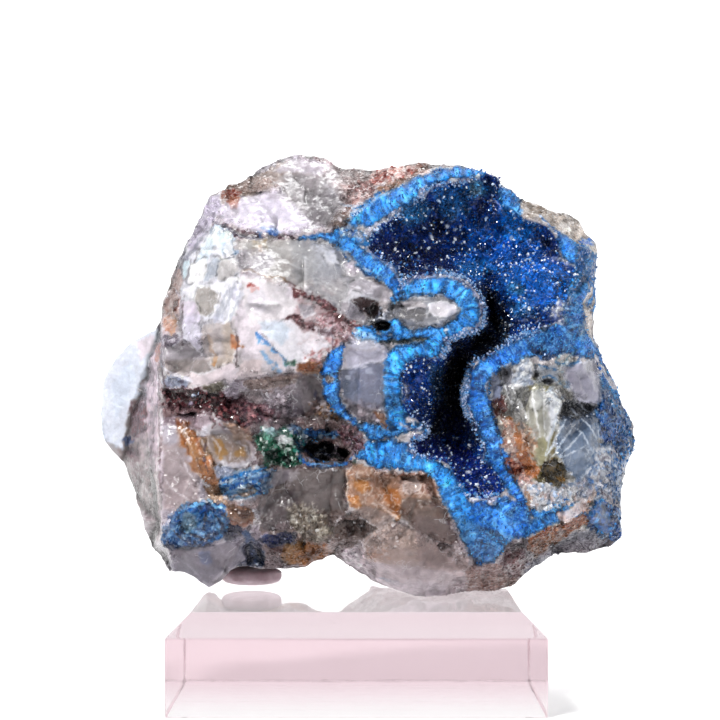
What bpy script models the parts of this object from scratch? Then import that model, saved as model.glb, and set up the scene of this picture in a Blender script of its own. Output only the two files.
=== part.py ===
"""Shattuckite specimen: a broken piece of quartz with a blue, drusy pocket,
standing with a dab of putty on a clear bevelled block.

Millimetres in the design, metres in the file. The origin is the middle of the
block's underside; +Z is up and the pocket faces -Y.
"""
import math

import bmesh
import bpy
from mathutils import Vector

MM = 0.001

# ---- driving dimensions, mm -------------------------------------------------
BLOCK_W = 35.4            # side of the square block
BLOCK_H = 9.5             # thickness of the block's sheet
BLOCK_BEVEL = 2.2         # chamfer round the block's top
GAP = 0.3                 # clearance between pieces that touch

STONE_FOOT = BLOCK_H + GAP        # lowest plane of the stone

PUTTY_W, PUTTY_D, PUTTY_H = 6.4, 5.6, 2.0
PUTTY_X, PUTTY_Y = -10.8, 6.2

# The stone's corners are sightings taken from straight in front: across and
# down on a 720-unit square view, and depth in mm behind the block's middle.
EYE_X, EYE_Z = 0.33, 33.0         # where the line of sight passes
EYE_DISTANCE = 221.5              # from the eye to the block's middle
VIEW_UNITS = 2210.0               # view units per mm at one mm from the eye


def sight(across, down, depth):
    """Real position, in metres, of a sighted corner."""
    d = EYE_DISTANCE + depth
    return Vector((EYE_X + (across - 360.0) * d / VIEW_UNITS,
                   depth,
                   EYE_Z - (down - 360.0) * d / VIEW_UNITS)) * MM


# ---- the stone's lumps: each is a convex broken piece of quartz --------------
LUMPS = {
    # the mass behind the pocket, which the other lumps stand out from
    "heart": [
        (213, 235, 3), (350, 185, 3), (480, 190, 2), (575, 245, 3),
        (596, 345, 2), (622, 440, 1), (602, 530, 0), (470, 592, -1),
        (350, 565, -1), (172, 558, 0), (138, 450, 3), (164, 330, 1),
        (225, 400, -7), (300, 420, -9), (345, 520, -9), (330, 300, -7),
        (235, 262, 14), (352, 205, 15), (482, 210, 15), (578, 262, 14),
        (598, 440, 14), (578, 520, 13), (460, 583, 12), (345, 568, 12),
        (192, 545, 13), (166, 450, 15), (186, 330, 14), (300, 300, 17),
        (410, 390, 18)],
    # upper left: sloping cap, the nose and the milky facets under it
    "upper_left": [
        (205, 228, -5), (262, 240, -9), (335, 238, -9), (242, 275, -15),
        (300, 292, -14.5), (365, 330, -13), (225, 330, -13.5), (161, 345, -8),
        (292, 374, -13), (178, 388, -10), (213, 195, 0), (226, 187, 2),
        (256, 170, 3), (295, 157, 4), (327, 163, 3), (380, 171, 2),
        (186, 245, 0), (160, 312, -1), (215, 215, 9), (295, 180, 13),
        (372, 190, 13), (180, 322, 12), (200, 385, 14), (370, 380, 17)],
    # lower left: blocky quartz with the sharp upright edge
    "lower_left": [
        (160, 350, -8.5), (160, 480, -10.5), (161, 540, -10), (200, 392, -10.5),
        (300, 404, -11), (345, 440, -11.5), (268, 470, -12.5),
        (362, 462, -11.5), (364, 535, -11.5), (236, 530, -11.5), (206, 585, -8),
        (166, 565, -8.5),
        (262, 570, -7), (336, 562, -6), (143, 380, 1), (128, 440, 3),
        (134, 482, 4), (152, 555, 5), (150, 400, 13), (156, 500, 13),
        (192, 556, 12), (322, 562, 12), (330, 400, 17)],
    # pale chunk standing out at the back on the left
    "left_back": [
        (101, 396, 7), (103, 438, 8), (112, 374, 6), (128, 350, 5.5),
        (158, 331, 4), (150, 462, 5), (121, 402, 4.5), (140, 440, 4),
        (112, 400, 11.5), (132, 362, 12), (200, 342, 14), (200, 462, 14),
        (122, 448, 12)],
    # middle: the grey lens and the rim of the pocket's left side
    "middle": [
        (330, 238, -9.5), (392, 290, -12), (365, 335, -13), (395, 345, -13),
        (402, 420, -12), (345, 440, -11.5), (310, 372, -12), (292, 430, -11.5),
        (425, 468, -12), (365, 456, -12), (330, 300, 15), (425, 420, 13),
        (330, 470, 15), (440, 480, 12)],
    # two low swells on the broken back
    "back_upper": [
        (262, 232, 9), (420, 226, 12), (522, 262, 12), (472, 352, 12),
        (300, 332, 13), (236, 300, 12), (362, 255, 18), (442, 292, 18),
        (338, 300, 19)],
    "back_lower": [
        (222, 402, 12), (420, 398, 14), (560, 432, 12), (522, 540, 10),
        (300, 552, 9), (232, 520, 10), (322, 452, 18), (452, 452, 18),
        (402, 500, 17)],
    # top band over the pocket
    "top": [
        (345, 222, -8.5), (362, 205, -8), (395, 186, -6.5), (430, 174, -5),
        (470, 174, -4), (496, 184, -2.5), (462, 168, 0), (415, 161, 2),
        (380, 170, 2), (345, 166, 2), (402, 172, 12), (506, 194, 12),
        (345, 182, 13), (440, 262, 17), (350, 262, 16)],
    # upper right: cream rim of the pocket
    "upper_right": [
        (497, 184, -2), (522, 202, -1), (562, 213, 1), (581, 224, 2),
        (598, 250, 2), (597, 300, 2), (594, 342, 1), (522, 214, -4),
        (571, 244, -5), (578, 300, -7), (562, 330, -9), (500, 240, -4),
        (500, 200, 12), (580, 242, 13), (586, 342, 14), (452, 302, 17)],
    # right: island of clear quartz with its blue flank
    "right": [
        (471, 362, -11), (502, 345, -11.5), (560, 328, -9), (606, 362, -4),
        (636, 440, -2), (626, 480, -2.5), (620, 536, -2), (524, 520, -13),
        (512, 536, -12), (492, 430, -12.5), (536, 420, -15), (562, 480, -14),
        (602, 400, -8), (600, 505, 12), (582, 362, 14), (500, 410, 11)],
    # lower right: the quartz that the stone stands on
    "lower_right": [
        (345, 470, -12), (346, 545, -10.5), (370, 578, -4), (410, 594, -4),
        (432, 599, -4), (470, 598, -4), (505, 589, -3), (521, 574, -2.5),
        (440, 500, -13), (460, 556, -12.5), (492, 562, -11.5),
        (400, 545, -12), (430, 576, -9.5), (520, 540, -9.5), (560, 549, -5),
        (620, 536, -2), (380, 590, 10), (482, 592, 10), (600, 522, 12),
        (380, 470, 15), (560, 450, 16)],
}

# the blue-rimmed tongue that stands in the pocket, and the swelling beside it
TONGUE = [
    (380, 300, -12), (400, 283, -12.5), (430, 277, -13), (458, 283, -13),
    (478, 305, -12), (470, 333, -12.5), (440, 347, -13), (395, 345, -13),
    (430, 310, -14), (398, 300, 4), (462, 300, 3), (440, 342, 3)]
SWELLING = (532, 291, -0.5, 6.0, 7.0, 4.4)

# the pocket: (across, down, depth of the middle, half width, half depth,
# half height, tilt in degrees in the view)
POCKET = [
    (478, 246, -7.0, 11.4, 8.6, 6.8, 0.0),
    (470, 352, -11.0, 3.6, 8.5, 7.2, 14.0),
    (458, 448, -12.0, 4.4, 8.5, 7.4, -24.0),
]

# ---- helpers ------------------------------------------------------------------


def collection(name):
    c = bpy.data.collections.new(name)
    bpy.context.scene.collection.children.link(c)
    return c


def material(name, colour, roughness, metallic=0.0, alpha=1.0, transmission=0.0, ior=1.5):
    m = bpy.data.materials.new(name)
    m.use_nodes = True
    p = m.node_tree.nodes["Principled BSDF"]
    p.inputs["Base Color"].default_value = (*colour, 1.0)
    p.inputs["Roughness"].default_value = roughness
    p.inputs["Metallic"].default_value = metallic
    p.inputs["Alpha"].default_value = alpha
    p.inputs["Transmission Weight"].default_value = transmission
    p.inputs["IOR"].default_value = ior
    return m


def add(name, bm, coll, mat=None):
    mesh = bpy.data.meshes.new(name)
    bm.normal_update()
    bm.to_mesh(mesh)
    bm.free()
    ob = bpy.data.objects.new(name, mesh)
    coll.objects.link(ob)
    if mat:
        mesh.materials.append(mat)
    return ob


def hull(name, corners, coll, mat=None):
    """A convex lump through sighted corners."""
    bm = bmesh.new()
    for c in corners:
        bm.verts.new(sight(*c))
    out = bmesh.ops.convex_hull(bm, input=bm.verts)
    loose = {g for g in out["geom_interior"] + out["geom_unused"]
             if isinstance(g, bmesh.types.BMVert)}
    bmesh.ops.delete(bm, geom=list(loose), context="VERTS")
    bmesh.ops.recalc_face_normals(bm, faces=bm.faces)
    return add(name, bm, coll, mat)


def ellipsoid(name, centre, radii, tilt, coll, level=3):
    """An egg-shaped operand, tilted in the view's plane."""
    bm = bmesh.new()
    bmesh.ops.create_icosphere(bm, subdivisions=level, radius=1.0)
    ob = add(name, bm, coll)
    for v in ob.data.vertices:
        v.co = Vector((v.co.x * radii[0], v.co.y * radii[1], v.co.z * radii[2])) * MM
    ob.location = centre
    ob.rotation_euler = (0.0, math.radians(tilt), 0.0)
    return ob


def boolean(ob, operand, operation):
    operand.hide_render = True
    operand.display_type = "WIRE"
    m = ob.modifiers.new(operand.name, "BOOLEAN")
    m.object = operand
    m.operation = operation
    m.solver = "EXACT"


# ---- build ----------------------------------------------------------------------

for old in list(bpy.data.objects):
    bpy.data.objects.remove(old, do_unlink=True)

parts = collection("shattuckite_specimen")
cutters = collection("cutters")

quartz = material("quartz_matrix", (0.62, 0.58, 0.58), 0.45)
acrylic = material("clear_acrylic", (0.93, 0.93, 0.94), 0.06, transmission=1.0, ior=1.49)
tack = material("mounting_putty", (0.72, 0.66, 0.69), 0.35)

# the stone
names = list(LUMPS)
stone = hull("specimen", LUMPS[names[0]], parts, quartz)
for n in names[1:]:
    boolean(stone, hull("lump_" + n, LUMPS[n], cutters), "UNION")
for i, (u, v, y, rx, ry, rz, tilt) in enumerate(POCKET):
    cut = ellipsoid(f"pocket_{i + 1}", sight(u, v, y), (rx, ry, rz), tilt, cutters)
    boolean(stone, cut, "DIFFERENCE")
boolean(stone, hull("lump_tongue", TONGUE, cutters), "UNION")
u, v, y, rx, ry, rz = SWELLING
boolean(stone, ellipsoid("lump_swelling", sight(u, v, y), (rx, ry, rz), 0.0, cutters), "UNION")

# the flat that the stone rests on
bm = bmesh.new()
bmesh.ops.create_cube(bm, size=1.0)
foot = add("foot_plane", bm, cutters)
foot.scale = (90 * MM, 90 * MM, 20 * MM)
foot.location = (0.0, 0.0, (STONE_FOOT - 10.0) * MM)
boolean(stone, foot, "DIFFERENCE")

# the clear block, chamfered round its top
bm = bmesh.new()
bmesh.ops.create_cube(bm, size=1.0)
for vert in bm.verts:
    vert.co = Vector((vert.co.x * BLOCK_W, vert.co.y * BLOCK_W,
                      (vert.co.z + 0.5) * BLOCK_H)) * MM
rim = [e for e in bm.edges if all(w.co.z > 0.5 * BLOCK_H * MM for w in e.verts)]
bmesh.ops.bevel(bm, geom=rim, offset=BLOCK_BEVEL * MM, offset_type="OFFSET",
                segments=1, affect="EDGES")
add("display_block", bm, parts, acrylic)

# the dab of putty under the stone's left side: a squashed ball with flat
# top and bottom, and the seat that it takes in the stone's underside
putty_middle = Vector((PUTTY_X, PUTTY_Y, BLOCK_H + GAP + PUTTY_H / 2)) * MM


def dab(name, grow, coll, mat=None):
    """The squashed ball, grown by a clearance all round."""
    bm = bmesh.new()
    bmesh.ops.create_uvsphere(bm, u_segments=28, v_segments=16, radius=1.0)
    for vert in bm.verts:
        vert.co = Vector((vert.co.x * (PUTTY_W / 2 + grow), vert.co.y * (PUTTY_D / 2 + grow),
                          vert.co.z * (PUTTY_H + grow)))
    for side in (-1, 1):
        cut = bmesh.ops.bisect_plane(
            bm, geom=bm.verts[:] + bm.edges[:] + bm.faces[:],
            plane_co=(0, 0, side * (PUTTY_H / 2 + grow)), plane_no=(0, 0, side),
            clear_outer=True)
        bmesh.ops.holes_fill(bm, edges=[g for g in cut["geom_cut"]
                                        if isinstance(g, bmesh.types.BMEdge)], sides=0)
    for vert in bm.verts:
        vert.co *= MM
    bmesh.ops.recalc_face_normals(bm, faces=bm.faces)
    ob = add(name, bm, coll, mat)
    ob.location = putty_middle
    return ob


putty = dab("mounting_putty", 0.0, parts, tack)
putty.data.shade_smooth()
putty.data.set_sharp_from_angle(angle=math.radians(40))
boolean(stone, dab("putty_seat", GAP, cutters), "DIFFERENCE")
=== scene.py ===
"""Looks of the shattuckite specimen: a broken quartz stone with azure fibrous
bands round a navy drusy pocket, on a clear bevelled block.

The stone's surface is worked out in the front view's own frame (across and
down in view units, depth in mm), where outlines and corner depths
are given, and is then turned into real positions.
"""
import math

import bmesh
import bpy
import numpy as np
from mathutils import Matrix, Vector
from mathutils.geometry import delaunay_2d_cdt


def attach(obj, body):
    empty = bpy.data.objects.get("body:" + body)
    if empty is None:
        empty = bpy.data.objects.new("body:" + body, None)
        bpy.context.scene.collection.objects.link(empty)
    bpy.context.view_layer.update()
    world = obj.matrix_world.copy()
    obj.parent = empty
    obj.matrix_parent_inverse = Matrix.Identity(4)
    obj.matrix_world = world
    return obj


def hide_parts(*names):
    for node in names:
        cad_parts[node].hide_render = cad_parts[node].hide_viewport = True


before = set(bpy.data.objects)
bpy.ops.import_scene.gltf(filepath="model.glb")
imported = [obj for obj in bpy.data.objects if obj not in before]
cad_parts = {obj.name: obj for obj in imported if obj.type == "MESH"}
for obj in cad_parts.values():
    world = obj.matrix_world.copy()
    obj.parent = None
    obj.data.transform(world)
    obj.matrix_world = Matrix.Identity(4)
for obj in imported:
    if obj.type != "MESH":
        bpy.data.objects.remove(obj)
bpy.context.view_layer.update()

MM = 0.001

# =============================================================================
# Camera: level, at the photograph's viewing angle
# =============================================================================
EYE_X, EYE_Z, EYE_D, UNITS = 0.33, 33.0, 221.5, 2210.0

cam_data = bpy.data.cameras.new("camera")
cam_data.sensor_width = 36.0
cam_data.lens = 36.0 * UNITS / 720.0
cam_data.clip_start = 0.005
cam_data.clip_end = 20.0
cam = bpy.data.objects.new("camera", cam_data)
bpy.context.scene.collection.objects.link(cam)
cam.location = (EYE_X * MM, -EYE_D * MM, EYE_Z * MM)
cam.rotation_euler = (math.radians(90), 0, 0)
bpy.context.scene.camera = cam


def sight(u, v, y):
    """Real positions, mm, of points sighted at (u, v) with depth y."""
    d = EYE_D + y
    return np.stack([EYE_X + (u - 360.0) * d / UNITS, y + 0 * u,
                     EYE_Z - (v - 360.0) * d / UNITS], -1)


# =============================================================================
# The working raster of the front view
# =============================================================================
R0U, R0V, RS = 88.0, 142.0, 0.6
NU, NV = 930, 790
AU = R0U + RS * np.arange(NU)
AV = R0V + RS * np.arange(NV)
U, V = np.meshgrid(AU, AV, indexing="ij")
U = U.astype(np.float32)
V = V.astype(np.float32)


def smooth(a, b, x):
    t = np.clip((x - a) / (b - a), 0, 1)
    return t * t * (3 - 2 * t)


def lattice_weights(n, step, cell, shift):
    x = np.arange(n) * step / cell + shift
    i = np.floor(x).astype(int)
    f = x - i
    f = f * f * f * (f * (6 * f - 15) + 10)
    m = int(i.max()) + 2
    w = np.zeros((n, m), np.float32)
    w[np.arange(n), i] = 1 - f
    w[np.arange(n), i + 1] = f
    return w


def noise2(cell, seed, octaves=1, gain=0.5):
    """Smooth noise over the raster, about -1 to 1; cell in view units."""
    out = np.zeros((NU, NV), np.float32)
    amp, tot = 1.0, 0.0
    rng = np.random.default_rng(seed)
    for _ in range(octaves):
        a, b = rng.random(2)
        wu = lattice_weights(NU, RS, cell, a)
        wv = lattice_weights(NV, RS, cell, b)
        lat = rng.uniform(-1, 1, (wu.shape[1], wv.shape[1])).astype(np.float32)
        out += amp * (wu @ lat @ wv.T)
        tot += amp * 0.62
        amp *= gain
        cell *= 0.5
    return out / tot


WARP_U = noise2(34, 11, 4, 0.55)
WARP_V = noise2(34, 12, 4, 0.55)
FINE_U = noise2(9, 13, 3, 0.6)
FINE_V = noise2(9, 14, 3, 0.6)


def cells2(cell, seed, jitter=0.85, uu=None, vv=None):
    """Jittered cells: nearest seed's id (two random columns), distances."""
    uu = U if uu is None else uu
    vv = V if vv is None else vv
    rng = np.random.default_rng(seed)
    gu = (uu - R0U) / cell + 2
    gv = (vv - R0V) / cell + 2
    iu = np.floor(gu).astype(int)
    iv = np.floor(gv).astype(int)
    nu, nv = int(iu.max()) + 3, int(iv.max()) + 3
    ju = rng.uniform(-jitter / 2, jitter / 2, (nu, nv)).astype(np.float32) + 0.5
    jv = rng.uniform(-jitter / 2, jitter / 2, (nu, nv)).astype(np.float32) + 0.5
    val = rng.random((nu, nv, 4)).astype(np.float32)
    f1 = np.full(uu.shape, 9.0, np.float32)
    f2 = np.full(uu.shape, 9.0, np.float32)
    who = np.zeros(uu.shape, np.int32)
    for a in (-1, 0, 1):
        for b in (-1, 0, 1):
            cu = np.clip(iu + a, 0, nu - 1)
            cv = np.clip(iv + b, 0, nv - 1)
            du = cu + ju[cu, cv] - gu
            dv = cv + jv[cu, cv] - gv
            d = np.sqrt(du * du + dv * dv)
            near = d < f1
            f2 = np.where(near, f1, np.minimum(f2, d))
            who = np.where(near, cu * nv + cv, who)
            f1 = np.where(near, d, f1)
    val = val.reshape(-1, 4)[who]
    return val, f1 * cell, f2 * cell


def knapped2(cell, seed, slope, bow, uu=None, vv=None):
    """Broken facets: the upper envelope of tilted planes, one to a cell, mm."""
    uu = U if uu is None else uu
    vv = V if vv is None else vv
    rng = np.random.default_rng(seed)
    gu = (uu - R0U) / cell + 2
    gv = (vv - R0V) / cell + 2
    iu = np.floor(gu).astype(int)
    iv = np.floor(gv).astype(int)
    nu, nv = int(iu.max()) + 3, int(iv.max()) + 3
    ju = rng.uniform(0.1, 0.9, (nu, nv)).astype(np.float32)
    jv = rng.uniform(0.1, 0.9, (nu, nv)).astype(np.float32)
    ang = rng.uniform(0, 2 * math.pi, (nu, nv))
    tilt = slope * np.sqrt(rng.random((nu, nv)))
    gx = (tilt * np.cos(ang)).astype(np.float32)
    gy = (tilt * np.sin(ang)).astype(np.float32)
    c0 = (rng.uniform(-0.3, 0.3, (nu, nv)) * slope).astype(np.float32)
    out = np.full(uu.shape, -99.0, np.float32)
    for a in (-1, 0, 1):
        for b in (-1, 0, 1):
            cu = np.clip(iu + a, 0, nu - 1)
            cv = np.clip(iv + b, 0, nv - 1)
            du = gu - cu - ju[cu, cv]
            dv = gv - cv - jv[cu, cv]
            h = c0[cu, cv] + gx[cu, cv] * du + gy[cu, cv] * dv - bow * (du * du + dv * dv)
            out = np.maximum(out, h)
    return out * cell * 0.0957


def blur(a, r):
    """Box blur twice, radius in raster steps."""
    if r < 1:
        return a
    for _ in range(2):
        for ax in (0, 1):
            pad = [(0, 0), (0, 0)]
            pad[ax] = (r + 1, r)
            c = np.cumsum(np.pad(a, pad, mode="edge"), axis=ax, dtype=np.float64)
            n = a.shape[ax]
            if ax == 0:
                a = ((c[2 * r + 1:2 * r + 1 + n] - c[:n]) / (2 * r + 1)).astype(np.float32)
            else:
                a = ((c[:, 2 * r + 1:2 * r + 1 + n] - c[:, :n]) / (2 * r + 1)).astype(np.float32)
    return a


def sample(img, u, v):
    """Bilinear look-up of a raster at view positions."""
    x = np.clip((u - R0U) / RS, 0, NU - 1.001)
    y = np.clip((v - R0V) / RS, 0, NV - 1.001)
    i = x.astype(int)
    j = y.astype(int)
    fx = (x - i)
    fy = (y - j)
    if img.ndim == 3:
        fx = fx[..., None]
        fy = fy[..., None]
    return (img[i, j] * (1 - fx) * (1 - fy) + img[i + 1, j] * fx * (1 - fy)
            + img[i, j + 1] * (1 - fx) * fy + img[i + 1, j + 1] * fx * fy)


# ---- outlines ---------------------------------------------------------------


def window(pts, margin):
    a = np.array([(p[0], p[1]) for p in pts], float)
    i0 = max(0, int((a[:, 0].min() - margin - R0U) / RS))
    i1 = min(NU, int((a[:, 0].max() + margin - R0U) / RS) + 2)
    j0 = max(0, int((a[:, 1].min() - margin - R0V) / RS))
    j1 = min(NV, int((a[:, 1].max() + margin - R0V) / RS) + 2)
    return slice(i0, max(i1, i0 + 1)), slice(j0, max(j1, j0 + 1))


def poly_sd(pts, uu, vv):
    """Signed distance to a closed outline, positive inside, view units."""
    d = np.full(uu.shape, 1e9, np.float32)
    inside = np.zeros(uu.shape, bool)
    n = len(pts)
    for k in range(n):
        ax, ay = pts[k][0], pts[k][1]
        bx, by = pts[(k + 1) % n][0], pts[(k + 1) % n][1]
        ex, ey = bx - ax, by - ay
        L = ex * ex + ey * ey + 1e-9
        t = np.clip(((uu - ax) * ex + (vv - ay) * ey) / L, 0, 1)
        d = np.minimum(d, np.hypot(uu - ax - t * ex, vv - ay - t * ey))
        if ay != by:
            c = ((vv >= ay) != (vv >= by)) & (uu < (vv - ay) / (by - ay) * ex + ax)
            inside ^= c
    return np.where(inside, d, -d)


def line_sd(pts, uu, vv):
    """Half width less distance for a line of (u, v, width), with the place
    along it and across it, view units."""
    best = np.full(uu.shape, -1e9, np.float32)
    along = np.zeros(uu.shape, np.float32)
    across = np.zeros(uu.shape, np.float32)
    s0 = 0.0
    for k in range(len(pts) - 1):
        ax, ay, aw = pts[k]
        bx, by, bw = pts[k + 1]
        ex, ey = bx - ax, by - ay
        L = math.hypot(ex, ey) + 1e-9
        t = np.clip(((uu - ax) * ex + (vv - ay) * ey) / (L * L), 0, 1)
        dx, dy = uu - ax - t * ex, vv - ay - t * ey
        d = np.hypot(dx, dy)
        sd = (aw + t * (bw - aw)) / 2 - d
        side = (ex * dy - ey * dx) / L
        nearer = sd > best
        best = np.where(nearer, sd, best)
        along = np.where(nearer, s0 + t * L, along)
        across = np.where(nearer, side, across)
        s0 += L
    return best, along, across


# =============================================================================
# Outlines and corner depths, read off the front view
# =============================================================================
OUTLINE = [
    (160, 312), (164, 298), (170, 284), (176, 268), (180, 258), (186, 245), (191, 235),
    (197, 221), (201, 212), (207, 202), (211, 195), (218, 192), (225, 190), (229, 185),
    (239, 182), (248, 177), (257, 169), (268, 165), (279, 161), (288, 157), (300, 156),
    (312, 157), (324, 159), (332, 165), (345, 168), (360, 170), (374, 171), (385, 169),
    (400, 167), (410, 164), (423, 162), (431, 165), (445, 165), (460, 166), (474, 170),
    (486, 173), (495, 176), (500, 180), (502, 187), (511, 191), (520, 199), (528, 203),
    (536, 204), (546, 209), (554, 212), (563, 213), (572, 216), (579, 220), (581, 226),
    (583, 232), (590, 238), (594, 241), (598, 251), (596, 258), (595, 270), (595, 285),
    (596, 300), (595, 312), (595, 325), (596, 338), (600, 346), (604, 355), (605, 363),
    (611, 374), (615, 383), (620, 395), (623, 405), (630, 416), (634, 428), (636, 440),
    (634, 450), (629, 459), (626, 470), (623, 482), (621, 494), (620, 503), (621, 515),
    (620, 525), (621, 538), (610, 547), (590, 552), (570, 553), (553, 556), (545, 562),
    (532, 568), (521, 578), (515, 585), (504, 588), (490, 592), (475, 593), (460, 594),
    (445, 596), (430, 596), (418, 598), (408, 593), (396, 588), (384, 584), (370, 578),
    (360, 573), (350, 567), (340, 560), (334, 555), (326, 557), (316, 562), (305, 568),
    (290, 569), (275, 568), (262, 568), (250, 566), (238, 566), (230, 569), (224, 575),
    (217, 582), (209, 586), (200, 582), (192, 576), (184, 573), (173, 572), (166, 568),
    (159, 558), (151, 546), (145, 530), (140, 512), (134, 492), (128, 472), (124, 462),
    (115, 453), (105, 442), (102, 428), (101, 410), (101, 395), (104, 382), (109, 370),
    (116, 359), (124, 350), (133, 341), (144, 334), (154, 330), (158, 322)]

# the drusy pocket's edge, along the inner side of the bands
POCKET = [
    (367, 240), (372, 233), (380, 226), (389, 219), (399, 211), (410, 203), (419, 195),
    (428, 188), (440, 182), (455, 180), (470, 180), (480, 174), (486, 168), (505, 172),
    (503, 188), (502, 200), (508, 211), (519, 217), (530, 221), (541, 224), (550, 229),
    (557, 236), (560, 244), (559, 255), (566, 262), (578, 269), (582, 277), (576, 286),
    (568, 294), (565, 303), (564, 314), (558, 322), (546, 325), (538, 330), (530, 334),
    (521, 336), (512, 341), (504, 347), (495, 351), (485, 358), (475, 361), (470, 372),
    (468, 385), (466, 399), (469, 411), (474, 422), (479, 433), (482, 446), (484, 458),
    (493, 468), (502, 478), (507, 488), (498, 497), (480, 499), (467, 497), (461, 489),
    (457, 479), (453, 470), (448, 462), (438, 459), (424, 459), (412, 456), (409, 447),
    (411, 440), (421, 434), (427, 427), (419, 421), (408, 416), (404, 408), (402, 399),
    (403, 391), (401, 383), (401, 374), (405, 364), (411, 358), (422, 358), (433, 359),
    (442, 355), (448, 347), (445, 341), (450, 336), (461, 333), (472, 330), (481, 322),
    (485, 310), (481, 299), (475, 291), (468, 283), (459, 278), (447, 275), (433, 275),
    (419, 277), (409, 281), (403, 288), (398, 289), (400, 281), (396, 272), (388, 264),
    (378, 258), (370, 250)]

# azure bands: (across, down, width) along each
BANDS = [
    [(347, 221, 6), (356, 218, 15), (368, 216, 22), (380, 207, 24), (395, 201, 20),
     (410, 191, 19), (425, 182, 14), (440, 176, 12), (458, 173, 11), (480, 174, 8)],
    [(336, 232, 8), (350, 235, 15), (364, 240, 12)],
    [(300, 239, 2), (320, 237, 6), (338, 240, 11), (352, 250, 17), (366, 261, 18),
     (380, 270, 17), (391, 280, 16), (398, 292, 10)],
    [(394, 299, 7), (405, 291, 12), (420, 287, 15), (440, 285, 17), (455, 291, 19),
     (467, 303, 23), (469, 315, 22), (462, 327, 15), (450, 330, 13), (436, 337, 17),
     (431, 346, 17)],
    [(357, 333, 10), (366, 333, 17), (376, 338, 8)],
    [(384, 331, 10), (395, 328, 19), (405, 334, 12)],
    [(372, 339, 5), (400, 339, 5), (422, 333, 9), (436, 333, 10)],
    [(440, 347, 15), (425, 350, 15), (410, 352, 15), (398, 358, 21), (392, 372, 19),
     (391, 388, 19), (393, 403, 20), (396, 416, 19), (401, 427, 11)],
    [(360, 424, 7), (374, 432, 12), (392, 433, 9), (410, 427, 9), (424, 425, 6)],
    [(343, 349, 6), (334, 358, 14), (329, 370, 16), (331, 385, 14), (332, 397, 12),
     (340, 409, 12), (353, 421, 7)],
    [(357, 452, 10), (372, 453, 22), (388, 454, 27), (402, 456, 26), (416, 463, 14),
     (430, 466, 14), (442, 475, 20), (451, 488, 22), (458, 503, 24), (466, 520, 22),
     (474, 535, 26)],
    [(560, 334, 18), (545, 340, 22), (525, 347, 21), (505, 357, 20), (488, 367, 18),
     (480, 378, 23), (478, 394, 23), (482, 412, 21), (488, 428, 20), (493, 443, 21),
     (498, 458, 22), (505, 470, 17), (512, 483, 12), (520, 496, 9), (527, 512, 7)],
    [(538, 345, 16), (560, 341, 26), (580, 345, 22), (594, 354, 10)],
    [(503, 192, 10), (511, 202, 20), (518, 213, 8)],
    [(566, 242, 14), (570, 252, 16), (575, 262, 8)],
    [(590, 263, 9), (590, 284, 12), (579, 298, 12), (573, 314, 15), (575, 332, 15)],
    [(598, 350, 8), (602, 372, 8), (606, 390, 12), (612, 410, 20), (618, 430, 26),
     (627, 450, 12), (624, 466, 7)],
    [(536, 512, 12), (552, 507, 10), (566, 500, 7)],
    [(528, 530, 10), (542, 521, 13), (562, 514, 10), (578, 505, 6)],
    [(598, 503, 10), (600, 518, 22), (603, 529, 12)],
    [(482, 512, 22), (492, 528, 44), (484, 546, 36), (480, 560, 12)],
    [(505, 505, 16), (514, 518, 30), (520, 532, 14)],
]

# blue patches away from the pocket, thinner and broken
PATCHES = [
    [(222, 480, 8), (236, 484, 14), (252, 481, 14), (268, 476, 12), (276, 470, 6)],
    [(225, 492, 6), (242, 494, 8), (262, 492, 10)],
    [(166, 540, 8), (178, 528, 20), (192, 517, 30), (206, 516, 24), (218, 508, 14)],
    [(172, 541, 8), (195, 541, 12), (215, 532, 14), (224, 522, 10)],
    [(262, 429, 3), (285, 432, 8), (310, 428, 6)],
    [(300, 440, 3), (318, 438, 6), (330, 438, 4)],
    [(302, 455, 3), (322, 465, 5), (345, 461, 5)],
]

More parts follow.
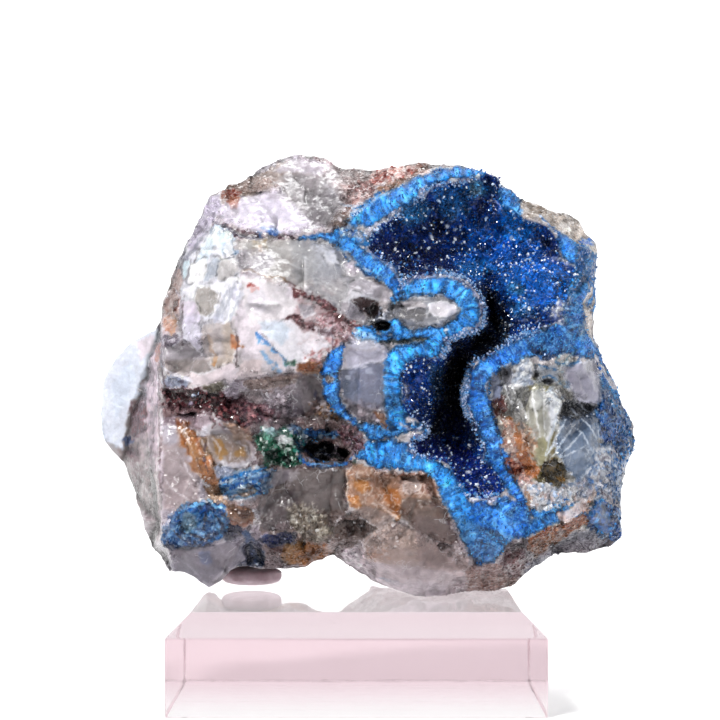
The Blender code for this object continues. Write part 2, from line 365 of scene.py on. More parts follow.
# corner depths of the broken quartz, mm; the crests between them are CRESTS
QUARTZ = {
    # silhouette
    "s0": (160, 312, -1), "s1": (170, 284, -0.5), "s2": (180, 258, 0), "s3": (191, 235, 0),
    "s4": (201, 212, 0), "s5": (211, 194, 0.5), "s6": (227, 188, 1.5), "s7": (248, 176, 2.5),
    "s8": (268, 165, 3), "s9": (290, 156, 4), "s10": (324, 158, 3.5), "s11": (345, 167, 2),
    "s12": (374, 170, 1), "s13": (400, 165, 1), "s14": (423, 160, 1.5), "s15": (445, 164, 0.5),
    "s16": (474, 169, -1), "s17": (500, 178, -2), "s18": (511, 190, -1.5),
    "s19": (536, 203, 0), "s20": (563, 212, 1), "s21": (581, 222, 2), "s22": (598, 250, 2),
    "s23": (596, 280, 1), "s24": (596, 310, 1), "s25": (597, 340, 0.5), "s26": (606, 363, -1),
    "s27": (621, 395, -2), "s28": (634, 425, -2), "s29": (637, 442, -1.5),
    "s30": (627, 468, -2), "s31": (621, 495, -2.5), "s32": (622, 538, -2.5),
    "s33": (590, 552, -3.5), "s34": (553, 557, -4), "s35": (521, 579, -3),
    "s36": (490, 593, -3), "s37": (460, 595, -3.5), "s38": (418, 599, -4.5),
    "s39": (384, 585, -4.5), "s40": (350, 568, -5.5), "s41": (334, 555, -6),
    "s42": (305, 569, -7), "s43": (262, 569, -7), "s44": (238, 567, -8),
    "s45": (209, 587, -8), "s46": (173, 573, -8.5), "s47": (151, 546, -2),
    "s48": (134, 492, 2), "s49": (124, 462, 4),
    # cap above the seam
    "a0": (216, 224, -5), "a1": (225, 228, -6), "a2": (240, 234, -7.2), "a3": (258, 238, -8.2),
    "a4": (280, 236, -8.6), "a5": (300, 238, -9), "a6": (322, 235, -9), "a7": (340, 226, -9.2),
    "a8": (232, 203, -2.5), "a9": (262, 203, -4), "a10": (296, 205, -5.4),
    "a11": (326, 207, -6.8), "a12": (292, 178, -0.5), "a13": (322, 185, -2.4),
    "a14": (352, 188, -4), "a15": (350, 206, -7.4), "a16": (370, 197, -6.6),
    "a17": (390, 183, -4), "a18": (412, 174, -2.6),
    # grey facet under the seam
    "b0": (242, 240, -9), "b1": (300, 242, -9.3), "b2": (332, 246, -10), "b3": (350, 258, -10.8),
    "b4": (364, 271, -11.6), "b5": (384, 284, -12.2), "b6": (393, 298, -12.4),
    "n0": (242, 273, -15), "n1": (262, 276, -15), "n2": (284, 281, -14.8),
    "n3": (300, 291, -14.6), "n4": (322, 302, -14.4), "n5": (345, 316, -13.9),
    "n6": (367, 329, -13.1), "b7": (352, 296, -13.2), "b8": (300, 262, -11.6),
    "b9": (262, 258, -11.4), "b10": (372, 310, -11.2),
    # frosted left-facing planes
    "w0": (214, 235, -6.6), "w1": (205, 260, -6.2), "w2": (222, 258, -10),
    "w3": (196, 300, -7.6), "w4": (217, 300, -11.4), "w5": (186, 318, -7.6),
    "w6": (228, 320, -14.2), "w7": (236, 340, -14.2), "w8": (161, 342, -8.2),
    "w9": (182, 340, -9.8), "w10": (205, 335, -11.8), "w11": (172, 312, -3.4),
    "w12": (183, 280, -3.2),
    # milky facet under the nose
    "m0": (262, 318, -15), "m1": (290, 335, -14.2), "m2": (255, 352, -14.2),
    "m3": (238, 372, -13.2), "m4": (266, 377, -13.4), "m5": (294, 371, -13.4),
    "m6": (322, 352, -13.4), "m7": (340, 345, -13.2), "m8": (356, 337, -13),
    # scoops and shelf
    "h0": (163, 354, -9), "h1": (178, 353, -8.6), "h2": (200, 352, -10.4),
    "h3": (176, 367, -8.6), "h4": (165, 376, -9.8), "h5": (190, 378, -11.3),
    "h6": (214, 373, -12.4), "h7": (232, 363, -13.3), "h8": (166, 388, -10),
    "h9": (190, 388, -11.2), "h10": (212, 385, -12.2), "h11": (226, 381, -12.8),
    # dark red streak, set back under the shelf
    "c0": (166, 397, -8.8), "c1": (195, 400, -9.6), "c2": (225, 404, -10.4),
    "c3": (255, 412, -10.8), "c4": (285, 424, -11), "c5": (165, 408, -9.4),
    "c6": (195, 409, -10.2), "c7": (214, 416, -11.2), "c8": (248, 432, -11.6),
    # smoky quartz right of it
    "d0": (240, 381, -12.8), "d1": (270, 384, -12.9), "d2": (300, 376, -12.8),
    "d3": (318, 378, -12.4), "d4": (280, 400, -11.6), "d5": (300, 412, -11.3),
    "d6": (320, 405, -11.9), "d7": (262, 402, -11.6), "d8": (330, 425, -11.4),
    # lower left block
    "e0": (161, 410, -9.8), "e1": (180, 412, -10.8), "e2": (213, 418, -12),
    "e3": (200, 438, -12.4), "e4": (160, 450, -10.6), "e5": (160, 500, -11),
    "e6": (161, 542, -10.6), "e7": (190, 470, -11.6), "e8": (216, 486, -12.4),
    "e9": (230, 470, -12.6), "e10": (262, 456, -12.6), "e11": (235, 445, -11.6),
    "e12": (200, 500, -12),
    # left side plane
    "l0": (158, 345, -6.5), "l1": (157, 331, -2), "l2": (148, 365, -0.6),
    "l3": (141, 392, 1), "l4": (131, 420, 2.4), "l5": (128, 445, 3.2), "l6": (156, 400, -5.8),
    "l7": (146, 430, -2.4), "l8": (154, 470, -5.4), "l9": (146, 478, -2.6),
    "l10": (157, 520, -6.4), "l11": (152, 440, -5.0),
    # green and the black pits
    "f0": (270, 425, -12.2), "f1": (298, 428, -12.4), "f2": (296, 462, -12.4),
    "f3": (266, 462, -12.4), "f4": (315, 446, -10), "f5": (342, 452, -10.6),
    # blue diagonal and lumps
    "g0": (222, 480, -12.8), "g1": (250, 474, -13), "g2": (292, 468, -13),
    "g3": (275, 492, -12.6), "g4": (240, 496, -12.4), "g5": (180, 512, -12.6),
    "g6": (206, 510, -12.8), "g7": (225, 512, -12.6), "g8": (200, 535, -12.8),
    "g9": (170, 536, -12), "g10": (256, 516, -12), "g11": (228, 528, -12),
    # shard at the lower left, and the hollow right of it
    "i0": (166, 549, -10.4), "i1": (200, 548, -11.4), "i2": (240, 538, -11.6),
    "i3": (224, 560, -10.2), "i4": (250, 548, -9.6), "i5": (256, 530, -11.8),
    "i6": (262, 558, -8.6),
    # grey-brown quartz
    "j0": (300, 470, -12.6), "j1": (342, 470, -12.4), "j2": (300, 500, -12.8),
    "j3": (340, 505, -12.4), "j4": (300, 530, -12.2), "j5": (340, 540, -11.2),
    "j6": (290, 552, -10), "j7": (318, 550, -9.4), "j8": (266, 520, -12.2),
    # crumbly chunk and the pale mass under it
    "k0": (348, 474, -13.4), "k1": (345, 500, -13.2), "k2": (372, 468, -13.6),
    "k3": (400, 474, -13.6), "k4": (430, 477, -13.4), "k5": (405, 495, -14),
    "k6": (372, 508, -13.4), "k7": (358, 516, -12.2), "k8": (380, 530, -13.2),
    "k9": (362, 540, -12.4), "k10": (378, 560, -10.4), "k11": (440, 500, -13.4),
    "k12": (452, 530, -13), "k13": (460, 548, -12.6), "k14": (420, 520, -13.8),
    "k15": (412, 550, -12.8), "k16": (440, 570, -10.8), "k17": (400, 575, -9),
    "k18": (428, 590, -7), "k19": (465, 575, -9.6), "k20": (500, 568, -9),
    "k21": (516, 560, -8.6), "k22": (536, 548, -8.4), "k23": (560, 540, -7.6),
    "k24": (596, 540, -5.2),
    # grey lens and the tongue in the pocket's side
    "t0": (345, 350, -12.8), "t1": (378, 344, -12.8), "t2": (385, 358, -12.6),
    "t3": (342, 368, -13), "t4": (382, 372, -12.4), "t5": (345, 395, -12.6),
    "t6": (380, 400, -12.4), "t7": (360, 415, -12.2), "t8": (384, 427, -12.2),
    "t9": (396, 306, -12), "t10": (430, 300, -13.4), "t11": (458, 307, -13.6),
    "t12": (430, 312, -14.2), "t13": (400, 318, -13.2), "t14": (440, 320, -13.8),
    "t15": (415, 330, -12.8), "t16": (390, 345, -12.6), "t17": (466, 290, -12.2),
    "t18": (470, 325, -12.4), "t19": (425, 275, -12), "t20": (440, 345, -12.6),
    "t21": (400, 345, -12.8), "t22": (404, 380, -12), "t23": (406, 415, -11.8),
    "t24": (365, 440, -12), "t25": (405, 440, -11.8), "t26": (375, 466, -12.6),
    "t27": (425, 466, -12.6), "t28": (446, 478, -12.6), "t29": (462, 510, -12.8),
    # island of clear quartz
    "q0": (472, 362, -11.4), "q1": (500, 347, -11.8), "q2": (536, 332, -10.6),
    "q3": (562, 325, -9.4), "q4": (580, 330, -6.4), "q5": (468, 400, -11.8),
    "q6": (482, 445, -12), "q7": (506, 480, -12), "q8": (492, 380, -12.4),
    "q9": (494, 410, -12.2), "q10": (506, 450, -12.8), "q11": (524, 500, -13.2),
    "q12": (520, 372, -14), "q13": (540, 372, -13.6), "q14": (512, 405, -13),
    "q15": (535, 420, -15.4), "q16": (548, 450, -15.2), "q17": (538, 470, -14.4),
    "q18": (555, 395, -13.4), "q19": (568, 405, -11.4), "q20": (556, 430, -13),
    "q21": (570, 450, -12.8), "q22": (558, 480, -13), "q23": (585, 365, -9.6),
    "q24": (566, 375, -11.4), "q25": (600, 402, -8), "q26": (588, 440, -10.6),
    "q27": (600, 460, -9.4), "q28": (590, 490, -10), "q29": (612, 440, -6),
    "q30": (612, 480, -6.6), "q31": (545, 500, -13.2), "q32": (575, 512, -11.6),
    "q33": (600, 520, -8.6), "q34": (540, 530, -11.8), "q35": (592, 350, -6.2),
    "q36": (604, 385, -5.6), "q37": (518, 460, -13),
    # cream rim at the upper right
    "r0": (505, 195, -3), "r1": (520, 212, -4), "r2": (545, 222, -4.4), "r3": (560, 232, -4.8),
    "r4": (572, 240, -4), "r5": (560, 222, -1.6), "r6": (588, 250, -2), "r7": (574, 256, -6),
    "r8": (586, 272, -4.4), "r9": (588, 290, -4), "r10": (566, 300, -8), "r11": (588, 320, -3),
    "r12": (480, 176, -3.4), "r13": (440, 178, -4.6), "r14": (415, 192, -6),
    "r15": (395, 205, -7.2), "r16": (370, 222, -9), "r17": (365, 240, -9.8),
}
CRESTS = [
    "a0 a1 a2 a3 a4 a5 a6 a7", "a0 b0 n0", "n0 n1 n2 n3 n4 n5 n6", "n0 w4 w6 w7",
    "a7 b2 b3 b4 b5 b6", "b0 b9 n1", "s0 w8", "w8 w9 w10 w7", "w7 m3 m4 m5 m6 m7 m8",
    "h0 h4 h5 h6 h7", "h8 h9 h10 h11 d0 d1 d2 d3", "c0 c1 c2 c3 c4", "c5 c6 c7 c8",
    "h4 h8", "w8 h0", "e0 e1 e2 e3", "e0 e4 e5 e6 i0", "e8 e9 e10", "l0 l6 l11 l8 l10",
    "g0 g1 g2", "i0 i1 i2", "i2 i3 s45", "j1 k0 k1 k7 k9", "k6 k7 k8 k9",
    "k9 k10 k16 k19", "k2 k3 k4 k11 k12 k13", "t2 t4 t6 t8", "t0 t3 t5 t7", "t3 t4",
    "t10 t11 t14 t13 t9", "q12 q13 q15 q16 q17", "q18 q19 q20 q21", "q23 q24 q19 q25 q23",
    "n6 b10 b7", "w0 w2 w4", "i5 i4 i6", "q20 q16 q22", "f0 f1 f2 f3 f0", "k5 k14 k15",
]

# depths inside the pocket, mm
HOLLOW = [
    (367, 240, -9.0), (380, 228, -7.6), (400, 213, -6.2), (428, 190, -4.4), (455, 182, -3.2),
    (486, 170, -2.0), (503, 186, -2.0), (506, 206, -3.2), (530, 222, -4.0), (556, 238, -4.6),
    (560, 256, -6.4), (582, 276, -6.0), (566, 300, -8.4), (545, 326, -9.6), (512, 341, -10.4),
    (475, 361, -10.6), (467, 399, -10.6), (480, 435, -10.8), (490, 465, -10.6),
    (505, 488, -11.0), (470, 498, -11.4), (455, 470, -11.0), (430, 460, -11.0),
    (410, 450, -10.8), (424, 430, -9.8), (404, 408, -10.8), (401, 380, -11.0),
    (412, 358, -11.2), (440, 357, -10.8), (450, 336, -11.2), (482, 320, -10.8),
    (478, 295, -10.6), (455, 277, -10.8), (420, 276, -10.6), (400, 286, -10.6),
    (385, 262, -9.6),
    # floor of the upper bowl
    (400, 232, -4.2), (392, 248, -5.6), (425, 225, -1.0), (425, 250, -1.4), (412, 262, -4.6),
    (455, 205, -0.6), (455, 240, 0.4), (452, 262, -2.4), (485, 200, -0.8), (485, 230, 0.2),
    (482, 262, 0.2), (515, 228, -1.0), (515, 252, -1.4), (545, 250, -3.6), (545, 238, -3.2),
    # the swelling
    (540, 285, -8.2), (520, 278, -6.6), (560, 280, -7.6), (505, 290, -5.0), (530, 262, -4.4),
    (525, 305, -7.0), (555, 305, -9.0), (530, 322, -8.2), (505, 315, -4.0), (565, 268, -6.6),
    # crevice
    (488, 290, -0.4), (488, 318, 2.4), (498, 332, 0.0), (480, 342, 3.0), (462, 352, 1.4),
    (468, 345, -3.0), (470, 366, 3.2), (455, 385, 3.6), (452, 408, 3.6), (444, 425, 3.0),
    # lower cleft
    (462, 398, 2.0), (430, 372, -7.4), (418, 368, -9.2), (432, 395, -5.4), (416, 392, -9.4),
    (424, 412, -7.0), (438, 410, -0.6), (448, 440, -1.4), (430, 446, -7.6), (464, 430, -3.0),
    (466, 455, -5.0), (476, 445, -6.4), (462, 478, -8.6), (480, 480, -8.8), (492, 482, -10.0),
    (440, 375, -2.2), (470, 410, -6.0), (452, 460, -7.0),
]

# depths of the broken back, mm (the back isn't in the photograph)
BACK = [
    (100, 395, 7.5), (105, 440, 8.5), (120, 350, 8), (155, 325, 6), (125, 400, 12.5),
    (140, 372, 12.0), (135, 440, 12.0), (128, 475, 8), (150, 540, 9), (165, 568, 7),
    (180, 350, 13.5), (176, 430, 14.8), (185, 505, 14), (195, 560, 11), (210, 583, 6),
    (165, 300, 5), (185, 245, 6), (205, 205, 6), (235, 240, 12.5), (215, 300, 14),
    (240, 185, 7), (290, 160, 9), (275, 205, 14), (330, 165, 9), (330, 205, 15.5),
    (265, 275, 16.6), (300, 330, 18.6), (245, 360, 16.6), (240, 430, 17), (290, 400, 18.4),
    (320, 455, 18.8), (255, 500, 16), (235, 550, 12.5), (300, 560, 12), (335, 553, 10),
    (400, 165, 8), (400, 205, 15), (460, 170, 7), (460, 212, 14.5), (500, 180, 6),
    (520, 215, 11), (560, 215, 8), (595, 245, 6.5), (560, 260, 13.5), (596, 300, 7),
    (580, 330, 13), (605, 360, 6), (360, 260, 18.2), (440, 290, 18.6), (500, 290, 16),
    (380, 350, 17.4), (450, 380, 17), (520, 370, 16), (600, 420, 11), (636, 440, 3.5),
    (620, 400, 5), (622, 500, 4), (590, 480, 12.5), (560, 430, 16.4), (500, 450, 17.6),
    (400, 470, 18.4), (450, 520, 16.4), (350, 510, 17.6), (520, 530, 13.5), (600, 530, 7),
    (560, 550, 7.5), (520, 575, 8), (490, 590, 10), (430, 596, 11), (370, 578, 11),
    (400, 560, 14.5), (470, 560, 13.5),
]


# =============================================================================
# Layers of depth over the raster
# =============================================================================


def flat_facets(points, creases, ring):
    """Depth over the raster from corners joined by flat facets."""
    pts = [(p[0], p[1]) for p in points]
    z = [float(p[2]) for p in points]
    cu = sum(p[0] for p in pts) / len(pts)
    cv = sum(p[1] for p in pts) / len(pts)
    for k in ring:
        du, dv = pts[k][0] - cu, pts[k][1] - cv
        L = math.hypot(du, dv)
        pts.append((pts[k][0] + du / L * 40, pts[k][1] + dv / L * 40))
        z.append(z[k] + 1.0)
    for c in ((20, 60), (700, 60), (700, 680), (20, 680)):
        pts.append(c)
        z.append(2.0)
    out = delaunay_2d_cdt([Vector(p) for p in pts], creases, [], 0, 1e-3, True)
    vs, faces, origin = out[0], out[2], out[3]
    zz = []
    for k, v in enumerate(vs):
        if origin[k]:
            zz.append(z[origin[k][0]])
        else:
            near = sorted(range(len(pts)),
                          key=lambda i: (pts[i][0] - v.x) ** 2 + (pts[i][1] - v.y) ** 2)[:2]
            zz.append((z[near[0]] + z[near[1]]) / 2)
    img = np.full((NU, NV), 2.0, np.float32)
    for f in faces:
        (x0, y0), (x1, y1), (x2, y2) = [tuple(vs[i]) for i in f[:3]]
        z0, z1, z2 = [zz[i] for i in f[:3]]
        det = (y1 - y2) * (x0 - x2) + (x2 - x1) * (y0 - y2)
        if abs(det) < 1e-6:
            continue
        si, sj = window([(x0, y0), (x1, y1), (x2, y2)], RS)
        uu, vv = U[si, sj], V[si, sj]
        a = ((y1 - y2) * (uu - x2) + (x2 - x1) * (vv - y2)) / det
        b = ((y2 - y0) * (uu - x2) + (x0 - x2) * (vv - y2)) / det
        c = 1 - a - b
        m = (a >= -1e-4) & (b >= -1e-4) & (c >= -1e-4)
        img[si, sj] = np.where(m, a * z0 + b * z1 + c * z2, img[si, sj])
    return img


names = list(QUARTZ)
creases = []
for line in CRESTS:
    ids = [names.index(n) for n in line.split()]
    creases += list(zip(ids[:-1], ids[1:]))
ring = [k for k, n in enumerate(names) if n[0] == "s" and n[1:].isdigit()]
FACETS = flat_facets([QUARTZ[n] for n in names], creases, ring)
HOLE = blur(flat_facets(HOLLOW, [], []), 5)
REAR = blur(flat_facets(BACK, [], []), 4)

wu = U + 2.2 * WARP_U + 0.8 * FINE_U
wv = V + 2.2 * WARP_V + 0.8 * FINE_V
ZQ = sample(FACETS, wu, wv)

# how broken each part of the quartz is: 1 ordinary, less is smoother
ROUGH = np.full((NU, NV), 0.85, np.float32)
for level, pts in [
        (0.42, [(243, 240), (300, 240), (340, 250), (392, 300), (366, 328), (322, 302), (284, 281), (243, 273)]),
        (0.45, [(181, 258), (214, 232), (243, 272), (236, 340), (205, 334), (182, 338), (163, 338), (165, 300)]),
        (0.40, [(243, 276), (300, 292), (345, 318), (340, 345), (294, 371), (238, 372), (236, 340)]),
        (0.50, [(161, 345), (234, 345), (232, 365), (214, 374), (190, 378), (164, 376)]),
        (0.55, [(161, 412), (212, 420), (205, 470), (180, 505), (161, 505)]),
        (0.30, [(524, 380), (556, 370), (556, 470), (536, 478)]),
        (0.35, [(562, 430), (602, 425), (606, 480), (575, 485)]),
        (0.30, [(343, 366), (385, 360), (385, 400), (376, 420), (350, 418)]),
        (0.30, [(396, 306), (430, 300), (460, 306), (440, 322), (402, 320)]),
        (0.30, [(98, 330), (158, 330), (160, 548), (98, 470)]),
        (1.60, [(346, 470), (430, 474), (436, 520), (372, 540), (346, 510)]),
        (1.00, [(215, 190), (340, 156), (420, 162), (340, 228), (240, 232)]),
        (1.30, [(325, 205), (352, 205), (345, 228), (322, 232)]),
        (1.40, [(262, 426), (350, 426), (350, 466), (262, 466)]),
        (1.35, [(163, 388), (290, 400), (290, 426), (163, 410)]),
        (1.30, [(486, 378), (525, 360), (560, 385), (556, 400), (522, 410), (488, 412)]),
        (0.75, [(350, 530), (460, 500), (520, 560), (500, 590), (350, 570)]),
        (1.20, [(515, 470), (600, 480), (600, 535), (530, 530)])]:
    si, sj = window(pts, 8)
    sd = poly_sd(pts, U[si, sj], V[si, sj])
    w = smooth(-4, 4, sd)
    ROUGH[si, sj] = ROUGH[si, sj] * (1 - w) + level * w


def centred(a):
    return a - a.mean()


K26 = centred(knapped2(27, 31, 0.55, 0.30, wu, wv))
K13 = centred(knapped2(12.5, 32, 0.62, 0.30, wu, wv))
K6 = centred(knapped2(6.2, 33, 0.70, 0.35, wu, wv))
K3 = centred(knapped2(3.4, 34, 0.7, 0.35, wu, wv))
ROUGH = (0.16 + 0.86 * ROUGH) * (1 - 0.55 * smooth(152, 140, U))
# broad clean faces, with no small breaks on them
CALM = np.zeros((NU, NV), np.float32)
for pts in (
        [(262, 466), (346, 468), (344, 512), (304, 510), (262, 520)],
        [(340, 344), (386, 346), (386, 400), (376, 412), (344, 402)],
        [(164, 418), (178, 422), (196, 470), (196, 500), (164, 506)],
        [(262, 174), (290, 160), (330, 162), (346, 182), (340, 206), (326, 226), (300, 208), (282, 190)],
        [(300, 242), (345, 250), (376, 286), (350, 300), (316, 290)],
        [(205, 420), (250, 428), (258, 456), (240, 470), (212, 462)],
        [(346, 468), (400, 474), (438, 478), (444, 500), (400, 512), (378, 526), (350, 510)],
        [(510, 360), (534, 356), (536, 386), (516, 392)],
        [(284, 178), (304, 173), (326, 179), (340, 192), (338, 208), (326, 222), (310, 220), (298, 206)],
        [(288, 378), (334, 366), (336, 398), (318, 414), (292, 410)],
        [(238, 242), (300, 240), (345, 256), (376, 282), (350, 290), (300, 286), (262, 276)],
        [(346, 282), (384, 282), (392, 294), (376, 300), (350, 296)],
        [(216, 206), (240, 196), (300, 190), (332, 198), (328, 226), (256, 232)],
        [(564, 368), (594, 358), (602, 404), (578, 402)],
        [(528, 392), (544, 386), (552, 420), (544, 462), (532, 450)],
        [(560, 424), (598, 416), (598, 446), (580, 478), (562, 462)],
        [(372, 548), (440, 548), (466, 574), (440, 600), (380, 588)],
        [(402, 500), (440, 504), (456, 542), (420, 530)],
        [(172, 548), (244, 540), (250, 556), (214, 590), (172, 576)],
        [(186, 250), (206, 226), (232, 242), (244, 274), (236, 322), (184, 322)],
        [(246, 276), (300, 292), (300, 330), (290, 362), (244, 366), (236, 320)],
        [(204, 324), (236, 324), (238, 364), (212, 364)],
        [(164, 348), (200, 346), (214, 370), (168, 374)],
        [(184, 376), (236, 366), (238, 376), (190, 388)],
        [(482, 384), (500, 376), (504, 402), (488, 402)],
        [(94, 380), (146, 326), (158, 330), (124, 450), (100, 446)],
        [(402, 300), (460, 298), (460, 320), (404, 326)],
        [(345, 468), (370, 464), (372, 492), (348, 496)]):
    si, sj = window(pts, 14)
    m_ = smooth(-2.5, 4.0, poly_sd(pts, (U + 1.5 * WARP_U)[si, sj], (V + 1.5 * WARP_V)[si, sj]))
    CALM[si, sj] = np.maximum(CALM[si, sj], m_)
R2 = (ROUGH * (1 - 0.55 * CALM)) ** 1.6
ZQ = ZQ - (1.45 * ROUGH * K26 + 1.45 * R2 * K13 + 0.80 * R2 * K6 + 0.22 * R2 * K3
           + 0.05 * noise2(60, 35, 4))
ROUGH = ROUGH * (1 - 0.70 * CALM)

# small chips and pits knocked out of the quartz
rng = np.random.default_rng(5)
chip_val, chip_d, _ = cells2(13, 36, 0.8, wu, wv)
chip = np.where(chip_val[..., 0] > 0.95, np.clip(1 - chip_d / (2.0 + 3.0 * chip_val[..., 1]), 0, 1), 0)
ZQ += 0.55 * R2 * np.sqrt(chip)

# deep openings with dark floors: outline, depth mm, edge softness in view units
for depth, edge, pts in [
        (2.5, 3.0, [(305, 447), (311, 441), (318, 444), (324, 440), (331, 445), (335, 452), (328, 457), (331, 462), (321, 461), (313, 458), (307, 456)]),
        (2.4, 3.0, [(336, 446), (343, 448), (350, 453), (346, 460), (339, 457)]),
        (0.8, 2.5, [(264, 453), (272, 448), (281, 451), (291, 458), (283, 463), (272, 460)]),
        (1.5, 2.5, [(374, 324), (381, 320), (391, 323), (388, 331), (377, 332)]),
        (1.2, 3.0, [(244, 546), (252, 541), (262, 548), (266, 566), (256, 560), (248, 566)]),
        (1.0, 2.5, [(400, 474), (430, 473), (440, 500), (434, 500), (425, 482), (402, 480)]),
        (0.6, 3.0, [(540, 466), (552, 459), (563, 465), (562, 476), (548, 482)]),
        (0.7, 2.5, [(564, 401), (598, 404), (588, 416), (572, 424), (560, 415)])]:
    si, sj = window(pts, 12)
    sd = poly_sd(pts, wu[si, sj], wv[si, sj])
    ZQ[si, sj] += depth * smooth(-edge * 0.5, edge, sd)

# ---- distances to the pocket's edge and to the bands ------------------------
EDGE_U = 1.7 * WARP_U + 1.5 * FINE_U
EDGE_V = 1.7 * WARP_V + 1.5 * FINE_V
SD_P = np.full((NU, NV), -60.0, np.float32)
si, sj = window(POCKET, 60)
SD_P[si, sj] = poly_sd(POCKET, (U + EDGE_U)[si, sj], (V + EDGE_V)[si, sj])


def strokes(lines, uu, vv, margin=14):
    sd = np.full((NU, NV), -30.0, np.float32)
    al = np.zeros((NU, NV), np.float32)
    ac = np.zeros((NU, NV), np.float32)
    off = 0.0
    for pts in lines:
        si, sj = window(pts, margin + max(p[2] for p in pts) / 2)
        s, a, c = line_sd(pts, uu[si, sj], vv[si, sj])
        near = s > sd[si, sj]
        sd[si, sj] = np.where(near, s, sd[si, sj])
        al[si, sj] = np.where(near, a + off, al[si, sj])
        ac[si, sj] = np.where(near, c, ac[si, sj])
        off += 400.0
    return sd, al, ac


RAG = 1.6 * noise2(5.5, 51, 3, 0.6)
SD_B, ALONG, ACROSS = strokes(BANDS, U + EDGE_U, V + EDGE_V)
SD_B = SD_B + RAG
SD_N, ALONG_N, _ = strokes(PATCHES, U + EDGE_U, V + EDGE_V)
SD_N = SD_N + 2.4 * noise2(7, 52, 3, 0.6)

# the drusy lining: rounded humps over the hollow's depths
hv, h1, _ = cells2(25, 41, 0.9, wu, wv)
h2v, h21, _ = cells2(13, 42, 0.9, wu, wv)
h3v, h31, _ = cells2(6.5, 43, 0.9, wu, wv)
HUMP = (0.95 * np.clip(1 - (h1 / 17) ** 2, 0, 1) + 0.42 * np.clip(1 - (h21 / 9) ** 2, 0, 1)
        + 0.16 * np.clip(1 - (h31 / 4.6) ** 2, 0, 1))
ZP = HOLE - 1.25 * (HUMP - 0.55) * smooth(0, 14, SD_P)

wall = 5.0 + 4.0 * (noise2(40, 44) * 0.5 + 0.5)
T = smooth(-0.6, 1.0, SD_P / wall)
ZF = ZQ * (1 - T) + np.maximum(ZP, ZQ - 0.4) * T

# bands stand a little proud, rounded and lumpy
BAND = smooth(-1.5, 5.5, SD_B)
lump = 0.22 * noise2(11, 45, 3, 0.6) + 0.10 * noise2(4, 46, 2, 0.6)
smoothed = blur(ZF, 3)
ZF = ZF * (1 - 0.65 * BAND) + smoothed * 0.65 * BAND
ZF = ZF - BAND * (0.42 + lump) + 0.10 * np.clip(smooth(-1.5, 0.5, SD_B) - BAND, 0, 1)
PATCH = smooth(-1.0, 4.0, SD_N)
ZF = ZF - PATCH * (0.18 + lump)
ZF += 0.018 * noise2(2.6, 47, 2, 0.6) + 0.02 * noise2(6, 48, 2)

SD_O = np.full((NU, NV), -60.0, np.float32)
OU = U + 1.3 * WARP_U + 0.9 * FINE_U
OV = V + 1.3 * WARP_V + 0.9 * FINE_V
si, sj = window(OUTLINE, 60)
SD_O[si, sj] = poly_sd(OUTLINE, OU[si, sj], OV[si, sj])
ZS = sample(FACETS, U, V)

# =============================================================================
# The solid, and its surface
# =============================================================================
DU, DY = 1.45, 0.20
gu = np.arange(94.0, 644.0, DU)
gv = np.arange(149.0, 606.0, DU)
gy = np.arange(-17.2, 21.0, DY).astype(np.float32)
GU, GV = np.meshgrid(gu, gv, indexing="ij")
g_zf = sample(ZF, GU, GV).astype(np.float32)
# the back is broken rock too
B34 = centred(knapped2(36, 131, 0.62, 0.30, wu, wv))
B16 = centred(knapped2(17, 132, 0.66, 0.30, wu, wv))
B8 = centred(knapped2(8.5, 133, 0.72, 0.35, wu, wv))
SPLIT = smooth(-0.5, 0.6, noise2(70, 134, 2))
g_zb = sample(REAR + 1.7 * B34 + 1.25 * (0.45 + 0.55 * SPLIT) * B16 + 0.75 * SPLIT * B8
              + 0.05 * noise2(9, 135, 3), GU, GV).astype(np.float32)
g_sd = (sample(SD_O, GU, GV) * 0.1).astype(np.float32)
g_zs = sample(blur(ZS, 12), GU, GV).astype(np.float32)


def lattice3(shape, cell, seed, octaves=1):
    """Smooth noise over the volume; cells in grid steps along each axis."""
    rng = np.random.default_rng(seed)
    out = np.zeros(shape, np.float32)
    amp = 1.0
    for _ in range(octaves):
        w = [lattice_weights(n, 1.0, c, s) for n, c, s in zip(shape, cell, rng.random(3))]
        lat = rng.uniform(-1, 1, [x.shape[1] for x in w]).astype(np.float32)
        t = np.tensordot(w[0], lat, (1, 0))
        t = np.einsum("abc,jb->ajc", t, w[1], optimize=True)
        out += amp * np.einsum("ajc,kc->ajk", t, w[2], optimize=True)
        amp *= 0.5
        cell = [c * 0.5 for c in cell]
    return out


shape = (len(gu), len(gv), len(gy))
back = np.maximum(gy[None, None, :] - g_zb[..., None], -g_sd[..., None])
behind = np.clip(gy[None, None, :] - np.maximum(g_zs, -11.0)[..., None], 0, 30)
cut = lattice3(shape, [46 / DU, 46 / DU, 4.6 / DY], 61, 2)
back += (0.9 * np.abs(cut) + 0.10) * smooth(0.6, 4.5, behind) * 1.1
del cut, behind
F = np.maximum(back, g_zf[..., None] - gy[None, None, :]).astype(np.float32)
del back


